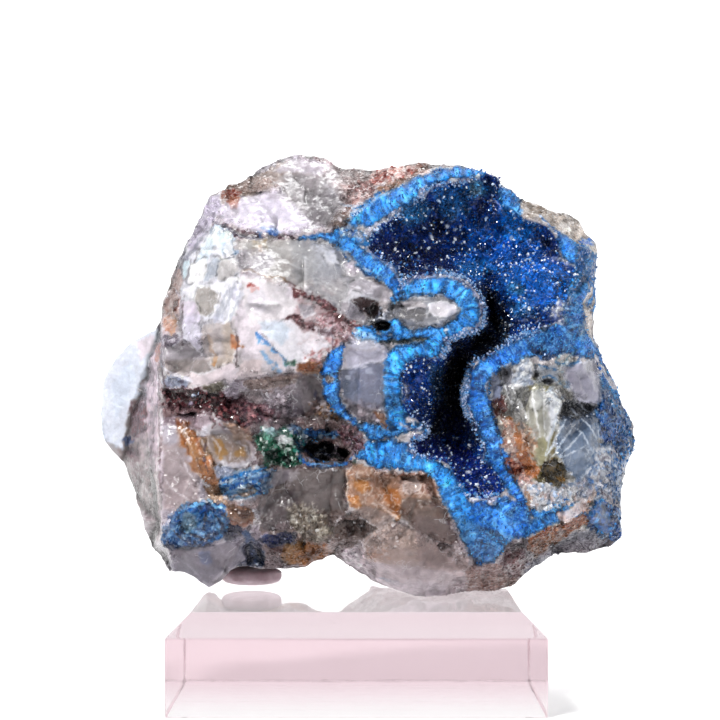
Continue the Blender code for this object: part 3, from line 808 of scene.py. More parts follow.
def surface_net(F):
    s = F < 0
    n0, n1, n2 = F.shape
    cnt = np.zeros((n0 - 1, n1 - 1, n2 - 1), np.uint8)
    for a in (0, 1):
        for b in (0, 1):
            for c in (0, 1):
                cnt += s[a:n0 - 1 + a, b:n1 - 1 + b, c:n2 - 1 + c]
    act = np.argwhere((cnt > 0) & (cnt < 8))
    del cnt
    val = {}
    for a in (0, 1):
        for b in (0, 1):
            for c in (0, 1):
                val[a, b, c] = F[act[:, 0] + a, act[:, 1] + b, act[:, 2] + c].astype(np.float64)
    pos = np.zeros((len(act), 3))
    num = np.zeros(len(act))
    corners = list(val)
    for p in corners:
        for ax in range(3):
            if p[ax]:
                continue
            q = list(p)
            q[ax] = 1
            q = tuple(q)
            va, vb = val[p], val[q]
            m = (va < 0) != (vb < 0)
            t = np.where(m, va / np.where(m, va - vb, 1), 0)
            for k in range(3):
                pos[:, k] += np.where(m, p[k] + (t if k == ax else 0), 0)
            num += m
    pos = act + pos / num[:, None]
    code = (act[:, 0] * n1 + act[:, 1]) * n2 + act[:, 2]

    def find(i, j, k):
        return np.searchsorted(code, (i * n1 + j) * n2 + k)

    quads = []
    for ax in range(3):
        lo = [slice(0, None)] * 3
        hi = [slice(0, None)] * 3
        lo[ax], hi[ax] = slice(0, -1), slice(1, None)
        e = np.argwhere(s[tuple(lo)] != s[tuple(hi)])
        ok = np.ones(len(e), bool)
        for k in range(3):
            if k != ax:
                ok &= (e[:, k] > 0) & (e[:, k] < F.shape[k] - 1)
        e = e[ok]
        inside = s[tuple(e.T)]
        b, c = [k for k in range(3) if k != ax]
        ids = []
        for db, dc in ((-1, -1), (0, -1), (0, 0), (-1, 0)):
            g = e.copy()
            g[:, b] += db
            g[:, c] += dc
            ids.append(find(*g.T))
        q = np.stack(ids, 1)
        flip = inside if ax == 1 else ~inside
        q[flip] = q[flip][:, ::-1]
        quads.append(q)
    return pos, np.concatenate(quads)


pos, quads = surface_net(F)
del F

# keep only the one connected stone: drop what the noise cut loose
lab = np.arange(len(pos))
for _ in range(400):
    m = lab[quads].min(1)
    new = lab.copy()
    for k in range(4):
        np.minimum.at(new, quads[:, k], m)
    new = new[new]
    new = new[new]
    if (new == lab).all():
        break
    lab = new
ids, count = np.unique(lab, return_counts=True)
keep = lab == ids[count.argmax()]
quads = quads[keep[quads].all(1)]
remap = np.cumsum(keep) - 1
pos = pos[keep]
quads = remap[quads]

pu = gu[0] + pos[:, 0] * DU
pv = gv[0] + pos[:, 1] * DU
py = gy[0] + pos[:, 2] * DY
P = sight(pu, pv, py)

# flat where it stands, and seated on the dab of putty
P[:, 2] = np.maximum(P[:, 2], 9.8)


def face_normals(P, quads):
    n = np.cross(P[quads[:, 2]] - P[quads[:, 0]], P[quads[:, 3]] - P[quads[:, 1]])
    return n


def vertex_normals(P, quads):
    fn = face_normals(P, quads)
    vn = np.zeros_like(P)
    for k in range(4):
        np.add.at(vn, quads[:, k], fn)
    return vn / np.maximum(np.linalg.norm(vn, axis=1, keepdims=True), 1e-12)


# outward check: the surface nearest the camera must face it
VN = vertex_normals(P, quads)
if VN[np.argmin(P[:, 1]), 1] > 0:
    quads = quads[:, ::-1]
    VN = -VN
FRONT = (py - sample(ZF, pu, pv)) < 0.35
print("stone", len(P), "points", len(quads), "quads, front", int(FRONT.sum()),
      "box", P.min(0).round(2), P.max(0).round(2))

# the broken back isn't looked at as closely: gather its points into coarser ones
deep = (py - sample(ZF, pu, pv)) > 0.9
cell = np.stack([np.floor((pu - 94.0) / (2.1 * DU)), np.floor((pv - 149.0) / (2.1 * DU)),
                 np.floor((py + 17.2) / (2.1 * DY))], 1).astype(np.int64)
key = (cell[:, 0] * 4096 + cell[:, 1]) * 4096 + cell[:, 2]
key = np.where(deep, key, -1 - np.arange(len(key)))
_, first, group = np.unique(key, return_index=True, return_inverse=True)
n = len(first)
size = np.bincount(group, minlength=n).astype(float)

def gathered(a):
    return np.bincount(group, weights=a, minlength=n) / size

pu, pv, py = gathered(pu), gathered(pv), gathered(py)
P = np.stack([gathered(P[:, k]) for k in range(3)], 1)
quads = group[quads]
same = ((quads == np.roll(quads, 1, axis=1)).sum(1) < 2)
flatq = (quads[:, 0] == quads[:, 2]) | (quads[:, 1] == quads[:, 3])
quads = quads[same & ~flatq]
s = np.sort(quads, axis=1)
_, only = np.unique(s, axis=0, return_index=True)
quads = quads[np.sort(only)]
VN = vertex_normals(P, quads)
FRONT = (py - sample(ZF, pu, pv)) < 0.35
print("gathered", len(P), "points", len(quads), "quads")

# =============================================================================
# Paint: strokes over the front, in view units; colours are sRGB
# =============================================================================
PAINT = np.zeros((NU, NV, 3), np.float32)
PAINT[:] = (188, 182, 184)
TINY_U = noise2(4.2, 72, 2, 0.6)
TINY_V = noise2(4.2, 73, 2, 0.6)
PU = U + 2.4 * WARP_U + 3.0 * FINE_U + 1.3 * TINY_U
PV = V + 2.4 * WARP_V + 3.0 * FINE_V + 1.3 * TINY_V
PATCHY = noise2(14, 74, 4, 0.65)
EDGE = noise2(4.5, 71, 2, 0.6)


def stroke(kind, colour, feather, opacity, pts, ragged=2.0):
    if kind == "e":
        (cx, cy, rx, ry) = pts
        box = [(cx - rx, cy - ry), (cx + rx, cy + ry)]
    else:
        box = pts
    wide = feather + 3 * ragged + (max(p[2] for p in pts) if kind == "l" else 0)
    si, sj = window(box, wide + 4)
    uu, vv = PU[si, sj], PV[si, sj]
    if kind == "p":
        sd = poly_sd(pts, uu, vv)
    elif kind == "l":
        sd = line_sd(pts, uu, vv)[0]
    else:
        k = np.sqrt(((uu - cx) / rx) ** 2 + ((vv - cy) / ry) ** 2)
        sd = (1 - k) * min(rx, ry)
    sd = sd + ragged * EDGE[si, sj]
    w = smooth(-feather / 2, feather / 2, sd + 1.6 * PATCHY[si, sj])
    w = (w * opacity * (0.90 + 0.10 * PATCHY[si, sj]))[..., None]
    PAINT[si, sj] = PAINT[si, sj] * (1 - w) + np.array(colour, np.float32) * w


STROKES = [
    # cap
    ("p", (198, 188, 192), 4, 1, [(203, 205), (211, 193), (229, 184), (257, 167), (288, 154), (330, 161), (425, 158), (440, 172), (400, 204), (365, 226), (345, 234), (300, 240), (256, 238), (222, 226), (203, 214)]),
    ("p", (178, 164, 160), 5, .9, [(211, 196), (229, 186), (257, 170), (285, 160), (300, 166), (285, 178), (262, 186), (240, 196), (222, 204)]),
    ("p", (214, 207, 220), 6, .9, [(214, 204), (235, 198), (270, 190), (300, 188), (332, 198), (328, 226), (300, 233), (256, 231), (222, 221)]),
    ("p", (196, 188, 200), 6, .7, [(250, 200), (275, 196), (290, 210), (270, 222), (246, 216)]),
    ("p", (232, 226, 234), 4, .8, [(228, 208), (250, 204), (262, 214), (246, 224), (228, 218)]),
    ("p", (228, 220, 230), 4, .7, [(282, 196), (304, 192), (312, 206), (298, 216), (284, 210)]),
    ("l", (226, 222, 232), 3, .9, [(216, 196, 3), (229, 188, 4), (257, 171, 4), (290, 159, 5), (305, 160, 4)]),
    ("e", (150, 84, 66), 4, .85, (232, 196, 7, 9)),
    ("e", (120, 62, 52), 3, .8, (236, 202, 4, 4)),
    ("l", (196, 142, 118), 3, .6, [(224, 190, 3), (244, 184, 4), (262, 178, 3)]),
    ("p", (216, 194, 198), 5, .85, [(300, 160), (330, 163), (346, 172), (338, 188), (308, 184)]),
    ("p", (172, 160, 160), 5, .7, [(270, 176), (296, 168), (304, 182), (284, 190)]),
    ("p", (162, 128, 124), 5, .9, [(338, 184), (352, 176), (376, 182), (374, 198), (356, 208), (338, 204)]),
    ("e", (196, 150, 140), 3, .7, (356, 190, 9, 6)),
    ("p", (226, 206, 204), 3, .9, [(372, 176), (386, 170), (408, 172), (400, 182), (380, 186)]),
    ("p", (150, 112, 98), 4, .85, [(398, 170), (412, 163), (432, 165), (428, 172), (408, 176)]),
    ("p", (186, 158, 150), 4, .7, [(352, 172), (372, 172), (376, 178), (360, 184)]),
    ("p", (132, 110, 106), 4, .85, [(326, 208), (340, 204), (352, 210), (346, 224), (334, 232), (324, 226)]),
    ("p", (186, 176, 186), 5, .8, [(300, 210), (322, 206), (326, 226), (306, 230)]),
    ("p", (206, 196, 200), 4, .7, [(352, 208), (372, 198), (384, 200), (360, 220)]),
    ("l", (98, 74, 84), 2.5, .9, [(213, 222, 3), (222, 225, 3), (230, 232, 3.5), (240, 238, 3), (256, 236, 3), (275, 234, 2), (290, 236, 3), (302, 239, 3)]),
    ("e", (58, 118, 190), 2.5, .9, (272, 231, 5, 3.5)),
    ("e", (80, 140, 205), 2.5, .7, (262, 234, 3, 2)),
    # frosted planes at the left
    ("p", (226, 226, 236), 4, 1, [(183, 250), (205, 224), (216, 228), (232, 240), (245, 272), (238, 300), (232, 322), (208, 322), (184, 322), (160, 340), (158, 312), (170, 284)]),
    ("p", (198, 218, 238), 5, .75, [(204, 224), (222, 226), (232, 240), (226, 252), (206, 250), (200, 238)]),
    ("p", (174, 176, 190), 5, .75, [(207, 250), (220, 250), (222, 278), (210, 282)]),
    ("p", (206, 206, 218), 5, .7, [(186, 262), (204, 258), (206, 284), (188, 290)]),
    ("p", (186, 180, 180), 3, .85, [(194, 291), (203, 288), (215, 291), (216, 305), (210, 315), (199, 320), (194, 306)]),
    ("p", (160, 160, 176), 4, .7, [(224, 262), (236, 262), (238, 288), (228, 300), (220, 288)]),
    ("p", (240, 240, 248), 3, .7, [(222, 286), (236, 300), (230, 318), (218, 312)]),
    ("l", (150, 146, 160), 2, .6, [(184, 262, 1.5), (200, 290, 1.5), (206, 322, 1.5)]),
    ("l", (160, 156, 170), 2, .6, [(216, 244, 1.5), (222, 276, 1.5), (236, 306, 1.5)]),
    ("p", (184, 158, 152), 4, .85, [(162, 262), (176, 258), (182, 290), (180, 330), (160, 336), (159, 312)]),
    ("p", (214, 206, 214), 3, .7, [(172, 268), (180, 262), (186, 280), (176, 292)]),
    ("e", (98, 62, 50), 3, .9, (175, 306, 4, 7)),
    ("e", (190, 124, 68), 3, .85, (168, 322, 5, 8)),
    ("p", (70, 58, 66), 3, .9, [(162, 337), (172, 335), (178, 340), (176, 348), (163, 348)]),
    # grey facet of the nose
    ("p", (190, 185, 184), 4, 1, [(236, 240), (300, 240), (330, 246), (345, 256), (300, 290), (284, 282), (262, 277), (244, 273)]),
    ("p", (206, 204, 208), 5, .8, [(262, 244), (296, 246), (296, 262), (270, 264)]),
    ("p", (172, 166, 168), 5, .7, [(284, 262), (312, 262), (312, 280), (292, 278)]),
    ("p", (202, 172, 122), 4, .75, [(252, 242), (268, 242), (266, 256), (252, 256)]),
    ("p", (184, 182, 186), 5, .9, [(300, 242), (332, 246), (362, 272), (388, 290), (390, 300), (366, 300), (345, 312), (312, 292)]),
    ("p", (216, 214, 220), 4, .7, [(300, 248), (320, 250), (328, 268), (308, 270)]),
    ("p", (240, 236, 240), 2.5, .95, [(325, 256), (334, 252), (340, 260), (330, 266)]),
    ("p", (238, 232, 236), 2.5, .95, [(345, 263), (354, 262), (360, 272), (350, 277)]),
    ("p", (218, 216, 222), 3, .85, [(350, 282), (368, 280), (378, 290), (362, 298), (350, 294)]),
    ("p", (204, 184, 182), 3, .8, [(344, 306), (362, 304), (370, 318), (352, 322)]),
    ("p", (46, 40, 46), 3, .95, [(353, 299), (366, 300), (377, 312), (372, 319), (361, 318), (354, 309)]),
    ("l", (120, 96, 96), 2, .7, [(244, 273, 2), (262, 277, 2), (284, 282, 2.5), (300, 291, 2.5)]),
    ("p", (206, 196, 198), 4, .7, [(316, 272), (340, 276), (346, 292), (326, 292)]),
    # milky facet with the dark red grain
    ("p", (230, 222, 229), 4, 1, [(244, 276), (262, 279), (284, 284), (298, 292), (300, 330), (294, 366), (240, 370), (234, 340), (232, 322), (238, 300)]),
    ("p", (208, 202, 216), 5, .8, [(244, 288), (262, 290), (266, 312), (246, 316)]),
    ("p", (212, 204, 208), 5, .8, [(262, 340), (288, 344), (290, 362), (258, 366)]),
    ("l", (110, 170, 214), 2.5, .8, [(256, 334, 3), (264, 342, 3.5), (274, 350, 3.5), (286, 361, 2.5)]),
    ("l", (168, 70, 62), 2, .8, [(248, 283, 2), (250, 288, 3), (256, 290, 2)]),
    ("p", (202, 180, 184), 4, .9, [(300, 296), (345, 318), (362, 330), (350, 342), (322, 352), (300, 366), (296, 330)]),
    ("l", (104, 54, 58), 3, .9, [(298, 292, 4), (318, 301, 7), (340, 318, 8), (352, 324, 6), (362, 329, 3)]),
    ("l", (118, 62, 62), 3, .85, [(292, 318, 4), (304, 326, 9), (318, 326, 8), (330, 330, 4)]),
    ("l", (146, 92, 88), 3, .7, [(300, 342, 4), (318, 338, 5), (334, 342, 4)]),
    ("p", (214, 178, 182), 4, .7, [(320, 326), (346, 326), (356, 336), (336, 346), (318, 342)]),
    ("p", (190, 128, 80), 3, .8, [(294, 362), (312, 360), (318, 368), (302, 374)]),
    ("p", (222, 214, 222), 4, .7, [(298, 346), (320, 348), (318, 360), (298, 358)]),
    ("l", (38, 120, 96), 2, .8, [(300, 374, 2), (318, 372, 3), (328, 376, 2)]),
    # panel left of it
    ("p", (196, 190, 192), 4, 1, [(182, 322), (208, 320), (234, 322), (236, 345), (238, 366), (206, 352), (196, 344), (180, 340)]),
    ("l", (204, 160, 96), 3, .7, [(206, 330, 3), (214, 344, 4), (222, 356, 3)]),
    ("p", (178, 112, 64), 3, .9, [(231, 334), (238, 338), (241, 348), (234, 350), (229, 342)]),
    ("p", (222, 216, 222), 3, .8, [(184, 326), (204, 324), (206, 340), (186, 340)]),
    # grey scoops and the pale shelf
    ("p", (176, 168, 167), 4, 1, [(160, 348), (196, 344), (238, 366), (238, 378), (190, 380), (164, 376)]),
    ("p", (196, 186, 184), 4, .8, [(176, 350), (196, 348), (206, 364), (186, 370)]),
    ("p", (148, 138, 140), 4, .7, [(162, 352), (176, 352), (180, 366), (164, 368)]),
    ("p", (216, 206, 209), 3, .95, [(182, 376), (206, 371), (234, 366), (240, 376), (212, 386), (186, 388)]),
    ("p", (166, 172, 192), 3, .9, [(162, 375), (184, 378), (186, 388), (164, 388)]),
    ("e", (90, 70, 80), 2.5, .7, (170, 372, 6, 2)),
    # dark red streak
    ("p", (78, 32, 42), 3, 1, [(161, 388), (176, 386), (200, 387), (216, 388), (240, 386), (252, 394), (270, 404), (288, 414), (288, 426), (262, 424), (240, 420), (214, 414), (190, 410), (164, 408)]),
    ("p", (132, 78, 84), 4, .8, [(232, 396), (258, 400), (280, 414), (282, 424), (256, 420), (236, 412)]),
    ("p", (104, 48, 56), 3, .8, [(176, 392), (196, 392), (200, 404), (180, 404)]),
    # painted glints: two pale spots in the dark red streak
    ("e", (222, 206, 212), 2, .9, (194, 395, 5, 2.5)),
    ("e", (214, 196, 204), 2, .9, (188, 403, 5, 2.5)),
    ("e", (190, 160, 170), 2, .8, (214, 400, 4, 2)),
    ("p", (150, 120, 120), 3, .8, [(163, 406), (190, 408), (206, 414), (180, 416), (164, 414)]),
    # smoky quartz over the greens
    ("p", (116, 98, 96), 5, 1, [(238, 380), (262, 377), (300, 372), (330, 356), (342, 366), (338, 400), (334, 428), (300, 424), (290, 414), (262, 402), (242, 392)]),
    ("p", (150, 140, 140), 5, .85, [(272, 384), (300, 380), (310, 396), (292, 408), (274, 400)]),
    ("p", (96, 64, 54), 4, .85, [(240, 378), (266, 376), (290, 376), (288, 388), (262, 392), (242, 388)]),
    ("p", (152, 110, 72), 3, .8, [(314, 404), (328, 404), (328, 424), (316, 424)]),
    ("p", (86, 76, 82), 4, .8, [(262, 396), (280, 404), (296, 416), (306, 424), (300, 428), (270, 410)]),
    ("p", (178, 170, 176), 4, .7, [(306, 380), (326, 376), (330, 392), (312, 398)]),
    # greens, turquoise and the black pits
    ("p", (38, 96, 88), 4, 1, [(258, 424), (300, 420), (350, 426), (352, 464), (262, 466), (254, 446)]),
    ("p", (22, 122, 98), 3, .9, [(256, 430), (276, 438), (278, 448), (258, 446)]),
    ("e", (70, 186, 180), 2.5, .9, (278, 426, 7, 4)),
    ("e", (226, 230, 228), 2, .95, (282, 436, 9, 3.6)),
    ("e", (126, 184, 214), 2.5, .85, (300, 430, 9, 4)),
    ("e", (150, 200, 190), 2.5, .8, (268, 452, 6, 3)),
    ("p", (150, 160, 158), 3, .8, [(290, 440), (304, 436), (304, 448), (292, 450)]),
    ("p", (92, 58, 70), 4, .85, [(330, 430), (360, 432), (362, 456), (340, 458), (328, 444)]),
    ("p", (150, 110, 112), 3, .7, [(340, 424), (358, 426), (356, 436), (342, 436)]),
    # the two pits near-black: painted shade inside the openings
    ("p", (16, 18, 22), 3, .95, [(304, 441), (318, 439), (325, 446), (321, 459), (308, 462), (301, 452)]),
    ("p", (20, 20, 26), 3, .95, [(332, 442), (346, 445), (351, 455), (340, 463), (330, 456)]),
    ("p", (14, 40, 40), 3, .9, [(268, 446), (282, 447), (292, 456), (286, 463), (270, 461)]),
    ("l", (36, 130, 110), 2, .8, [(296, 462, 3), (312, 466, 4), (330, 464, 3)]),
    # lower left block
    ("p", (192, 182, 190), 4, 1, [(160, 408), (190, 412), (214, 418), (208, 440), (202, 470), (196, 500), (160, 506)]),
    ("p", (212, 204, 212), 5, .7, [(162, 416), (180, 418), (180, 446), (164, 450)]),
    ("p", (170, 158, 166), 5, .7, [(162, 470), (186, 466), (184, 496), (162, 500)]),
    ("p", (186, 118, 62), 5, .9, [(176, 418), (190, 424), (206, 446), (216, 470), (206, 484), (192, 470), (180, 446)]),
    ("e", (206, 150, 90), 3, .8, (190, 436, 6, 8)),
    ("e", (168, 96, 50), 3, .7, (202, 462, 6, 8)),
    ("p", (228, 222, 226), 3, .95, [(195, 414), (206, 412), (214, 422), (212, 434), (200, 438), (194, 426)]),
    ("p", (206, 200, 206), 4, .9, [(214, 416), (236, 424), (250, 436), (258, 456), (244, 470), (222, 466), (208, 446)]),
    ("p", (164, 128, 106), 4, .8, [(224, 422), (250, 424), (256, 440), (240, 438)]),
    ("e", (202, 142, 52), 3, .9, (219, 450, 5, 7)),
    ("e", (204, 148, 60), 3, .85, (240, 453, 7, 4)),
    ("p", (228, 226, 232), 3, .8, [(222, 456), (240, 460), (236, 472), (220, 468)]),
    # side plane at the far left: darker grey, painted shade on this side, with reddish stain and darker marks
    ("p", (150, 136, 137), 5, 1, [(158, 330), (160, 345), (160, 545), (120, 470), (120, 420), (136, 372)]),
    ("p", (206, 196, 206), 4, .85, [(144, 376), (158, 372), (158, 424), (146, 430), (140, 404)]),
    ("p", (112, 70, 76), 4, .9, [(130, 404), (146, 394), (148, 432), (132, 444)]),
    ("p", (176, 160, 166), 5, .8, [(140, 436), (158, 430), (158, 470), (146, 476)]),
    ("e", (40, 70, 130), 2.5, .9, (130, 442, 4, 5)),
    ("p", (120, 100, 106), 5, .8, [(128, 450), (142, 446), (146, 478), (134, 490)]),
    # lit chunk behind, at the left
    ("p", (210, 216, 230), 4, 1, [(96, 380), (116, 350), (146, 328), (160, 328), (156, 350), (144, 372), (130, 405), (122, 450), (106, 446), (96, 410)]),
    ("p", (186, 194, 212), 5, .7, [(112, 380), (130, 366), (134, 390), (118, 404)]),
    ("p", (228, 214, 222), 4, .7, [(130, 340), (152, 334), (152, 350), (136, 358)]),
    ("p", (228, 232, 242), 4, .7, [(102, 400), (114, 400), (118, 436), (108, 436)]),
    # grey chalcedony lens against the bands
    ("p", (136, 140, 154), 4, 1, [(340, 348), (358, 342), (386, 346), (388, 372), (384, 404), (392, 430), (368, 424), (346, 404), (338, 376)]),
    ("p", (206, 201, 209), 3, 1, [(343, 348), (358, 342), (384, 345), (386, 362), (370, 367), (346, 366)]),
    ("p", (112, 116, 134), 5, .7, [(356, 376), (376, 376), (374, 398), (356, 394)]),
    ("p", (168, 172, 184), 4, .7, [(346, 372), (356, 372), (356, 396), (348, 392)]),
    ("l", (150, 112, 84), 3, .8, [(374, 410, 4), (382, 418, 7), (388, 428, 5)]),
    ("p", (170, 166, 172), 3, .7, [(352, 404), (368, 404), (374, 420), (360, 416)]),
    # tongue and lens in the pocket's side
    ("p", (158, 160, 168), 4, 1, [(390, 300), (404, 294), (430, 292), (458, 296), (466, 306), (462, 322), (440, 330), (408, 334), (386, 336), (370, 336), (366, 318), (384, 308)]),
    ("p", (232, 232, 238), 2.5, .95, [(427, 303), (440, 301), (457, 303), (454, 313), (434, 317)]),
    ("p", (132, 134, 144), 4, .8, [(400, 312), (424, 310), (426, 322), (404, 324)]),
    ("p", (196, 190, 194), 3, .7, [(404, 300), (424, 298), (424, 306), (406, 308)]),
    # near-black in the small opening: painted shade inside it
    ("p", (34, 38, 48), 3, .95, [(369, 316), (381, 313), (389, 319), (386, 330), (374, 332)]),
    ("p", (86, 88, 60), 3, .85, [(394, 335), (428, 333), (428, 342), (396, 343)]),
    ("p", (122, 104, 98), 4, .8, [(330, 326), (352, 326), (356, 340), (338, 348)]),
    # grey-brown quartz, lower middle
    ("p", (132, 116, 112), 5, 1, [(262, 464), (346, 466), (346, 510), (345, 560), (300, 570), (262, 566), (256, 520)]),
    ("p", (160, 150, 150), 5, .8, [(298, 474), (330, 474), (332, 496), (304, 502)]),
    ("p", (108, 92, 88), 5, .8, [(300, 502), (336, 500), (338, 524), (306, 524)]),
    ("p", (150, 132, 124), 5, .8, [(270, 500), (296, 504), (294, 524), (268, 522)]),
    ("p", (212, 208, 214), 3, .85, [(276, 466), (300, 466), (298, 480), (280, 482)]),
    ("p", (202, 190, 202), 3, .9, [(242, 530), (258, 524), (268, 532), (264, 546), (246, 544)]),
    ("p", (36, 60, 112), 3, .8, [(264, 534), (280, 532), (296, 538), (294, 546), (268, 546)]),
    ("p", (142, 88, 48), 4, .9, [(298, 552), (312, 544), (332, 550), (336, 560), (310, 572), (298, 570)]),
    ("p", (176, 130, 90), 3, .8, [(304, 528), (326, 526), (328, 538), (308, 540)]),
    ("p", (120, 108, 112), 4, .9, [(262, 548), (296, 548), (298, 572), (262, 572)]),
    ("p", (184, 176, 184), 3, .7, [(286, 552), (300, 550), (300, 562), (288, 564)]),
    ("p", (40, 50, 78), 3, .9, [(246, 543), (260, 541), (263, 552), (260, 567), (249, 568), (243, 556)]),
    # crumbly chunk
    ("p", (186, 166, 160), 4, 1, [(344, 468), (372, 466), (402, 472), (432, 476), (440, 500), (410, 516), (376, 516), (348, 508)]),
    ("p", (200, 126, 70), 3, .9, [(350, 474), (366, 474), (368, 486), (352, 486)]),
    ("p", (196, 112, 54), 3, .9, [(348, 492), (362, 492), (362, 509), (348, 506)]),
    ("p", (206, 140, 92), 3, .85, [(374, 488), (396, 484), (402, 500), (388, 516), (374, 510)]),
    ("p", (228, 218, 218), 2.5, .9, [(366, 470), (384, 470), (384, 482), (368, 484)]),
    ("p", (222, 212, 214), 2.5, .8, [(362, 494), (374, 494), (376, 506), (364, 508)]),
    ("p", (132, 112, 104), 4, .95, [(402, 474), (432, 476), (446, 504), (452, 536), (432, 540), (410, 520), (404, 498)]),
    ("p", (162, 142, 134), 4, .7, [(410, 484), (426, 486), (432, 506), (416, 508)]),
    # painted shade in the recess under the crumbly chunk
    ("p", (56, 46, 50), 3, .8, [(350, 514), (376, 513), (380, 528), (360, 533), (350, 526)]),
    # pale mass
    ("p", (192, 180, 182), 5, 1, [(344, 540), (372, 530), (400, 520), (440, 538), (462, 546), (470, 570), (490, 592), (430, 602), (380, 588), (336, 560)]),
    ("p", (214, 206, 210), 5, .8, [(372, 538), (396, 534), (404, 554), (380, 562)]),
    ("p", (168, 154, 154), 5, .7, [(400, 540), (424, 540), (428, 560), (408, 566)]),
    ("p", (224, 214, 220), 4, .9, [(336, 550), (352, 546), (370, 558), (372, 576), (350, 568)]),
    ("p", (216, 210, 216), 2.5, .9, [(444, 546), (456, 542), (464, 552), (458, 564), (446, 562)]),
    ("p", (206, 176, 160), 4, .7, [(366, 520), (384, 520), (384, 536), (368, 538)]),
    ("p", (148, 116, 104), 4, .9, [(462, 566), (500, 564), (520, 560), (524, 580), (500, 592), (466, 592)]),
    ("p", (180, 160, 160), 4, .8, [(440, 572), (466, 570), (470, 590), (440, 596)]),
    ("p", (74, 38, 48), 3, .9, [(505, 546), (520, 543), (522, 562), (512, 576), (503, 566)]),
    ("p", (146, 156, 180), 3, .9, [(519, 580), (532, 560), (556, 552), (556, 562), (532, 572)]),
    # shard and lower left
    ("p", (180, 177, 188), 4, 1, [(160, 545), (200, 544), (244, 536), (252, 548), (240, 570), (212, 590), (170, 576)]),
    ("p", (214, 212, 222), 4, .8, [(190, 556), (212, 552), (224, 560), (208, 582), (194, 574)]),
    ("p", (138, 162, 204), 3, .75, [(200, 548), (216, 548), (216, 562), (202, 562)]),
    ("p", (150, 126, 120), 3, .8, [(166, 548), (190, 546), (188, 556), (168, 558)]),
    ("p", (150, 146, 160), 4, .8, [(168, 560), (186, 560), (186, 574), (170, 574)]),
    ("p", (168, 112, 82), 4, .95, [(224, 502), (256, 500), (260, 516), (242, 524), (222, 520)]),
    ("p", (44, 22, 34), 3, .95, [(220, 526), (240, 523), (242, 534), (226, 538)]),
    ("p", (188, 158, 132), 4, .8, [(206, 486), (224, 484), (226, 502), (208, 506)]),
    ("p", (178, 164, 170), 4, .8, [(232, 500), (262, 496), (270, 510), (250, 520)]),
    ("p", (196, 186, 190), 4, .85, [(160, 500), (182, 496), (196, 502), (176, 516), (160, 522)]),
    # clear island between the bands
    ("p", (158, 156, 152), 4, 1, [(484, 378), (524, 356), (548, 368), (566, 360), (592, 358), (606, 400), (612, 460), (600, 500), (590, 530), (540, 530), (516, 500), (498, 460)]),
    ("p", (206, 206, 206), 3, .95, [(486, 382), (498, 376), (506, 390), (502, 404), (488, 400)]),
    ("p", (92, 50, 46), 3, .9, [(490, 399), (504, 396), (508, 410), (498, 416), (488, 410)]),
    ("p", (204, 202, 202), 3, .9, [(510, 364), (526, 354), (534, 364), (534, 386), (520, 388)]),
    ("p", (150, 142, 100), 4, .95, [(528, 386), (540, 374), (554, 388), (558, 420), (552, 450), (540, 472), (530, 450), (524, 420)]),
    ("p", (194, 190, 158), 3, .8, [(534, 386), (544, 384), (550, 404), (544, 420), (534, 410)]),
    ("p", (112, 100, 66), 3, .8, [(540, 436), (552, 430), (552, 452), (542, 466)]),
    ("p", (226, 226, 224), 2.5, .9, [(540, 390), (556, 388), (562, 408), (556, 428), (544, 424)]),
    ("p", (70, 66, 70), 3, .9, [(559, 399), (588, 400), (590, 412), (575, 418), (560, 413)]),
    ("p", (230, 232, 236), 2.5, .85, [(556, 428), (574, 430), (572, 444), (560, 458), (552, 446)]),
    ("p", (150, 168, 196), 4, .9, [(572, 418), (592, 420), (602, 440), (600, 478), (580, 482), (566, 462)]),
    ("p", (190, 202, 220), 3, .7, [(580, 432), (594, 436), (594, 458), (582, 456)]),
    ("p", (206, 208, 214), 3, .95, [(564, 366), (592, 360), (600, 386), (602, 402), (576, 400), (562, 378)]),
    ("p", (176, 184, 200), 4, .7, [(576, 376), (590, 372), (594, 392), (580, 394)]),
    ("l", (196, 118, 56), 3, .9, [(508, 420, 7), (520, 436, 10), (528, 452, 10), (534, 472, 9)]),
    ("p", (126, 62, 44), 3, .9, [(506, 458), (522, 460), (534, 474), (520, 484), (508, 472)]),
    ("p", (106, 98, 64), 4, .9, [(538, 458), (562, 458), (566, 480), (548, 490), (536, 480)]),
    ("p", (224, 214, 206), 3, .9, [(514, 484), (536, 480), (560, 482), (562, 500), (532, 506), (516, 500)]),
    ("p", (206, 178, 160), 3, .7, [(520, 490), (540, 488), (540, 498), (522, 500)]),
    ("p", (224, 200, 196), 3, .9, [(556, 502), (588, 496), (594, 512), (580, 524), (556, 520)]),
    ("p", (168, 150, 146), 4, .8, [(580, 480), (604, 476), (606, 500), (586, 502)]),
    ("p", (206, 190, 170), 3, .7, [(500, 420), (512, 424), (514, 446), (504, 446)]),
    # rims at the right
    ("p", (178, 168, 160), 4, 1, [(506, 190), (530, 202), (548, 208), (560, 216), (546, 222), (524, 216), (512, 208)]),
    ("p", (206, 199, 195), 4, 1, [(546, 208), (580, 216), (586, 234), (574, 240), (556, 226)]),
    ("p", (192, 182, 173), 4, 1, [(576, 234), (598, 240), (600, 262), (584, 264), (574, 250)]),
    ("e", (50, 112, 190), 2.5, .9, (586, 242, 5, 3.5)),
    ("e", (140, 168, 210), 3, .8, (566, 222, 6, 4)),
    ("p", (206, 197, 196), 4, 1, [(580, 284), (600, 284), (600, 346), (588, 344), (580, 320)]),
    ("p", (152, 120, 104), 3, .7, [(588, 296), (598, 296), (598, 312), (590, 312)]),
    ("p", (170, 160, 170), 3, .7, [(586, 328), (598, 328), (600, 344), (590, 344)]),
    ("p", (164, 156, 166), 4, .8, [(604, 470), (626, 468), (624, 500), (604, 500)]),
    ("p", (140, 130, 140), 4, .8, [(600, 532), (622, 536), (610, 548), (560, 554), (560, 546)]),
]
for s in STROKES:
    stroke(*s)

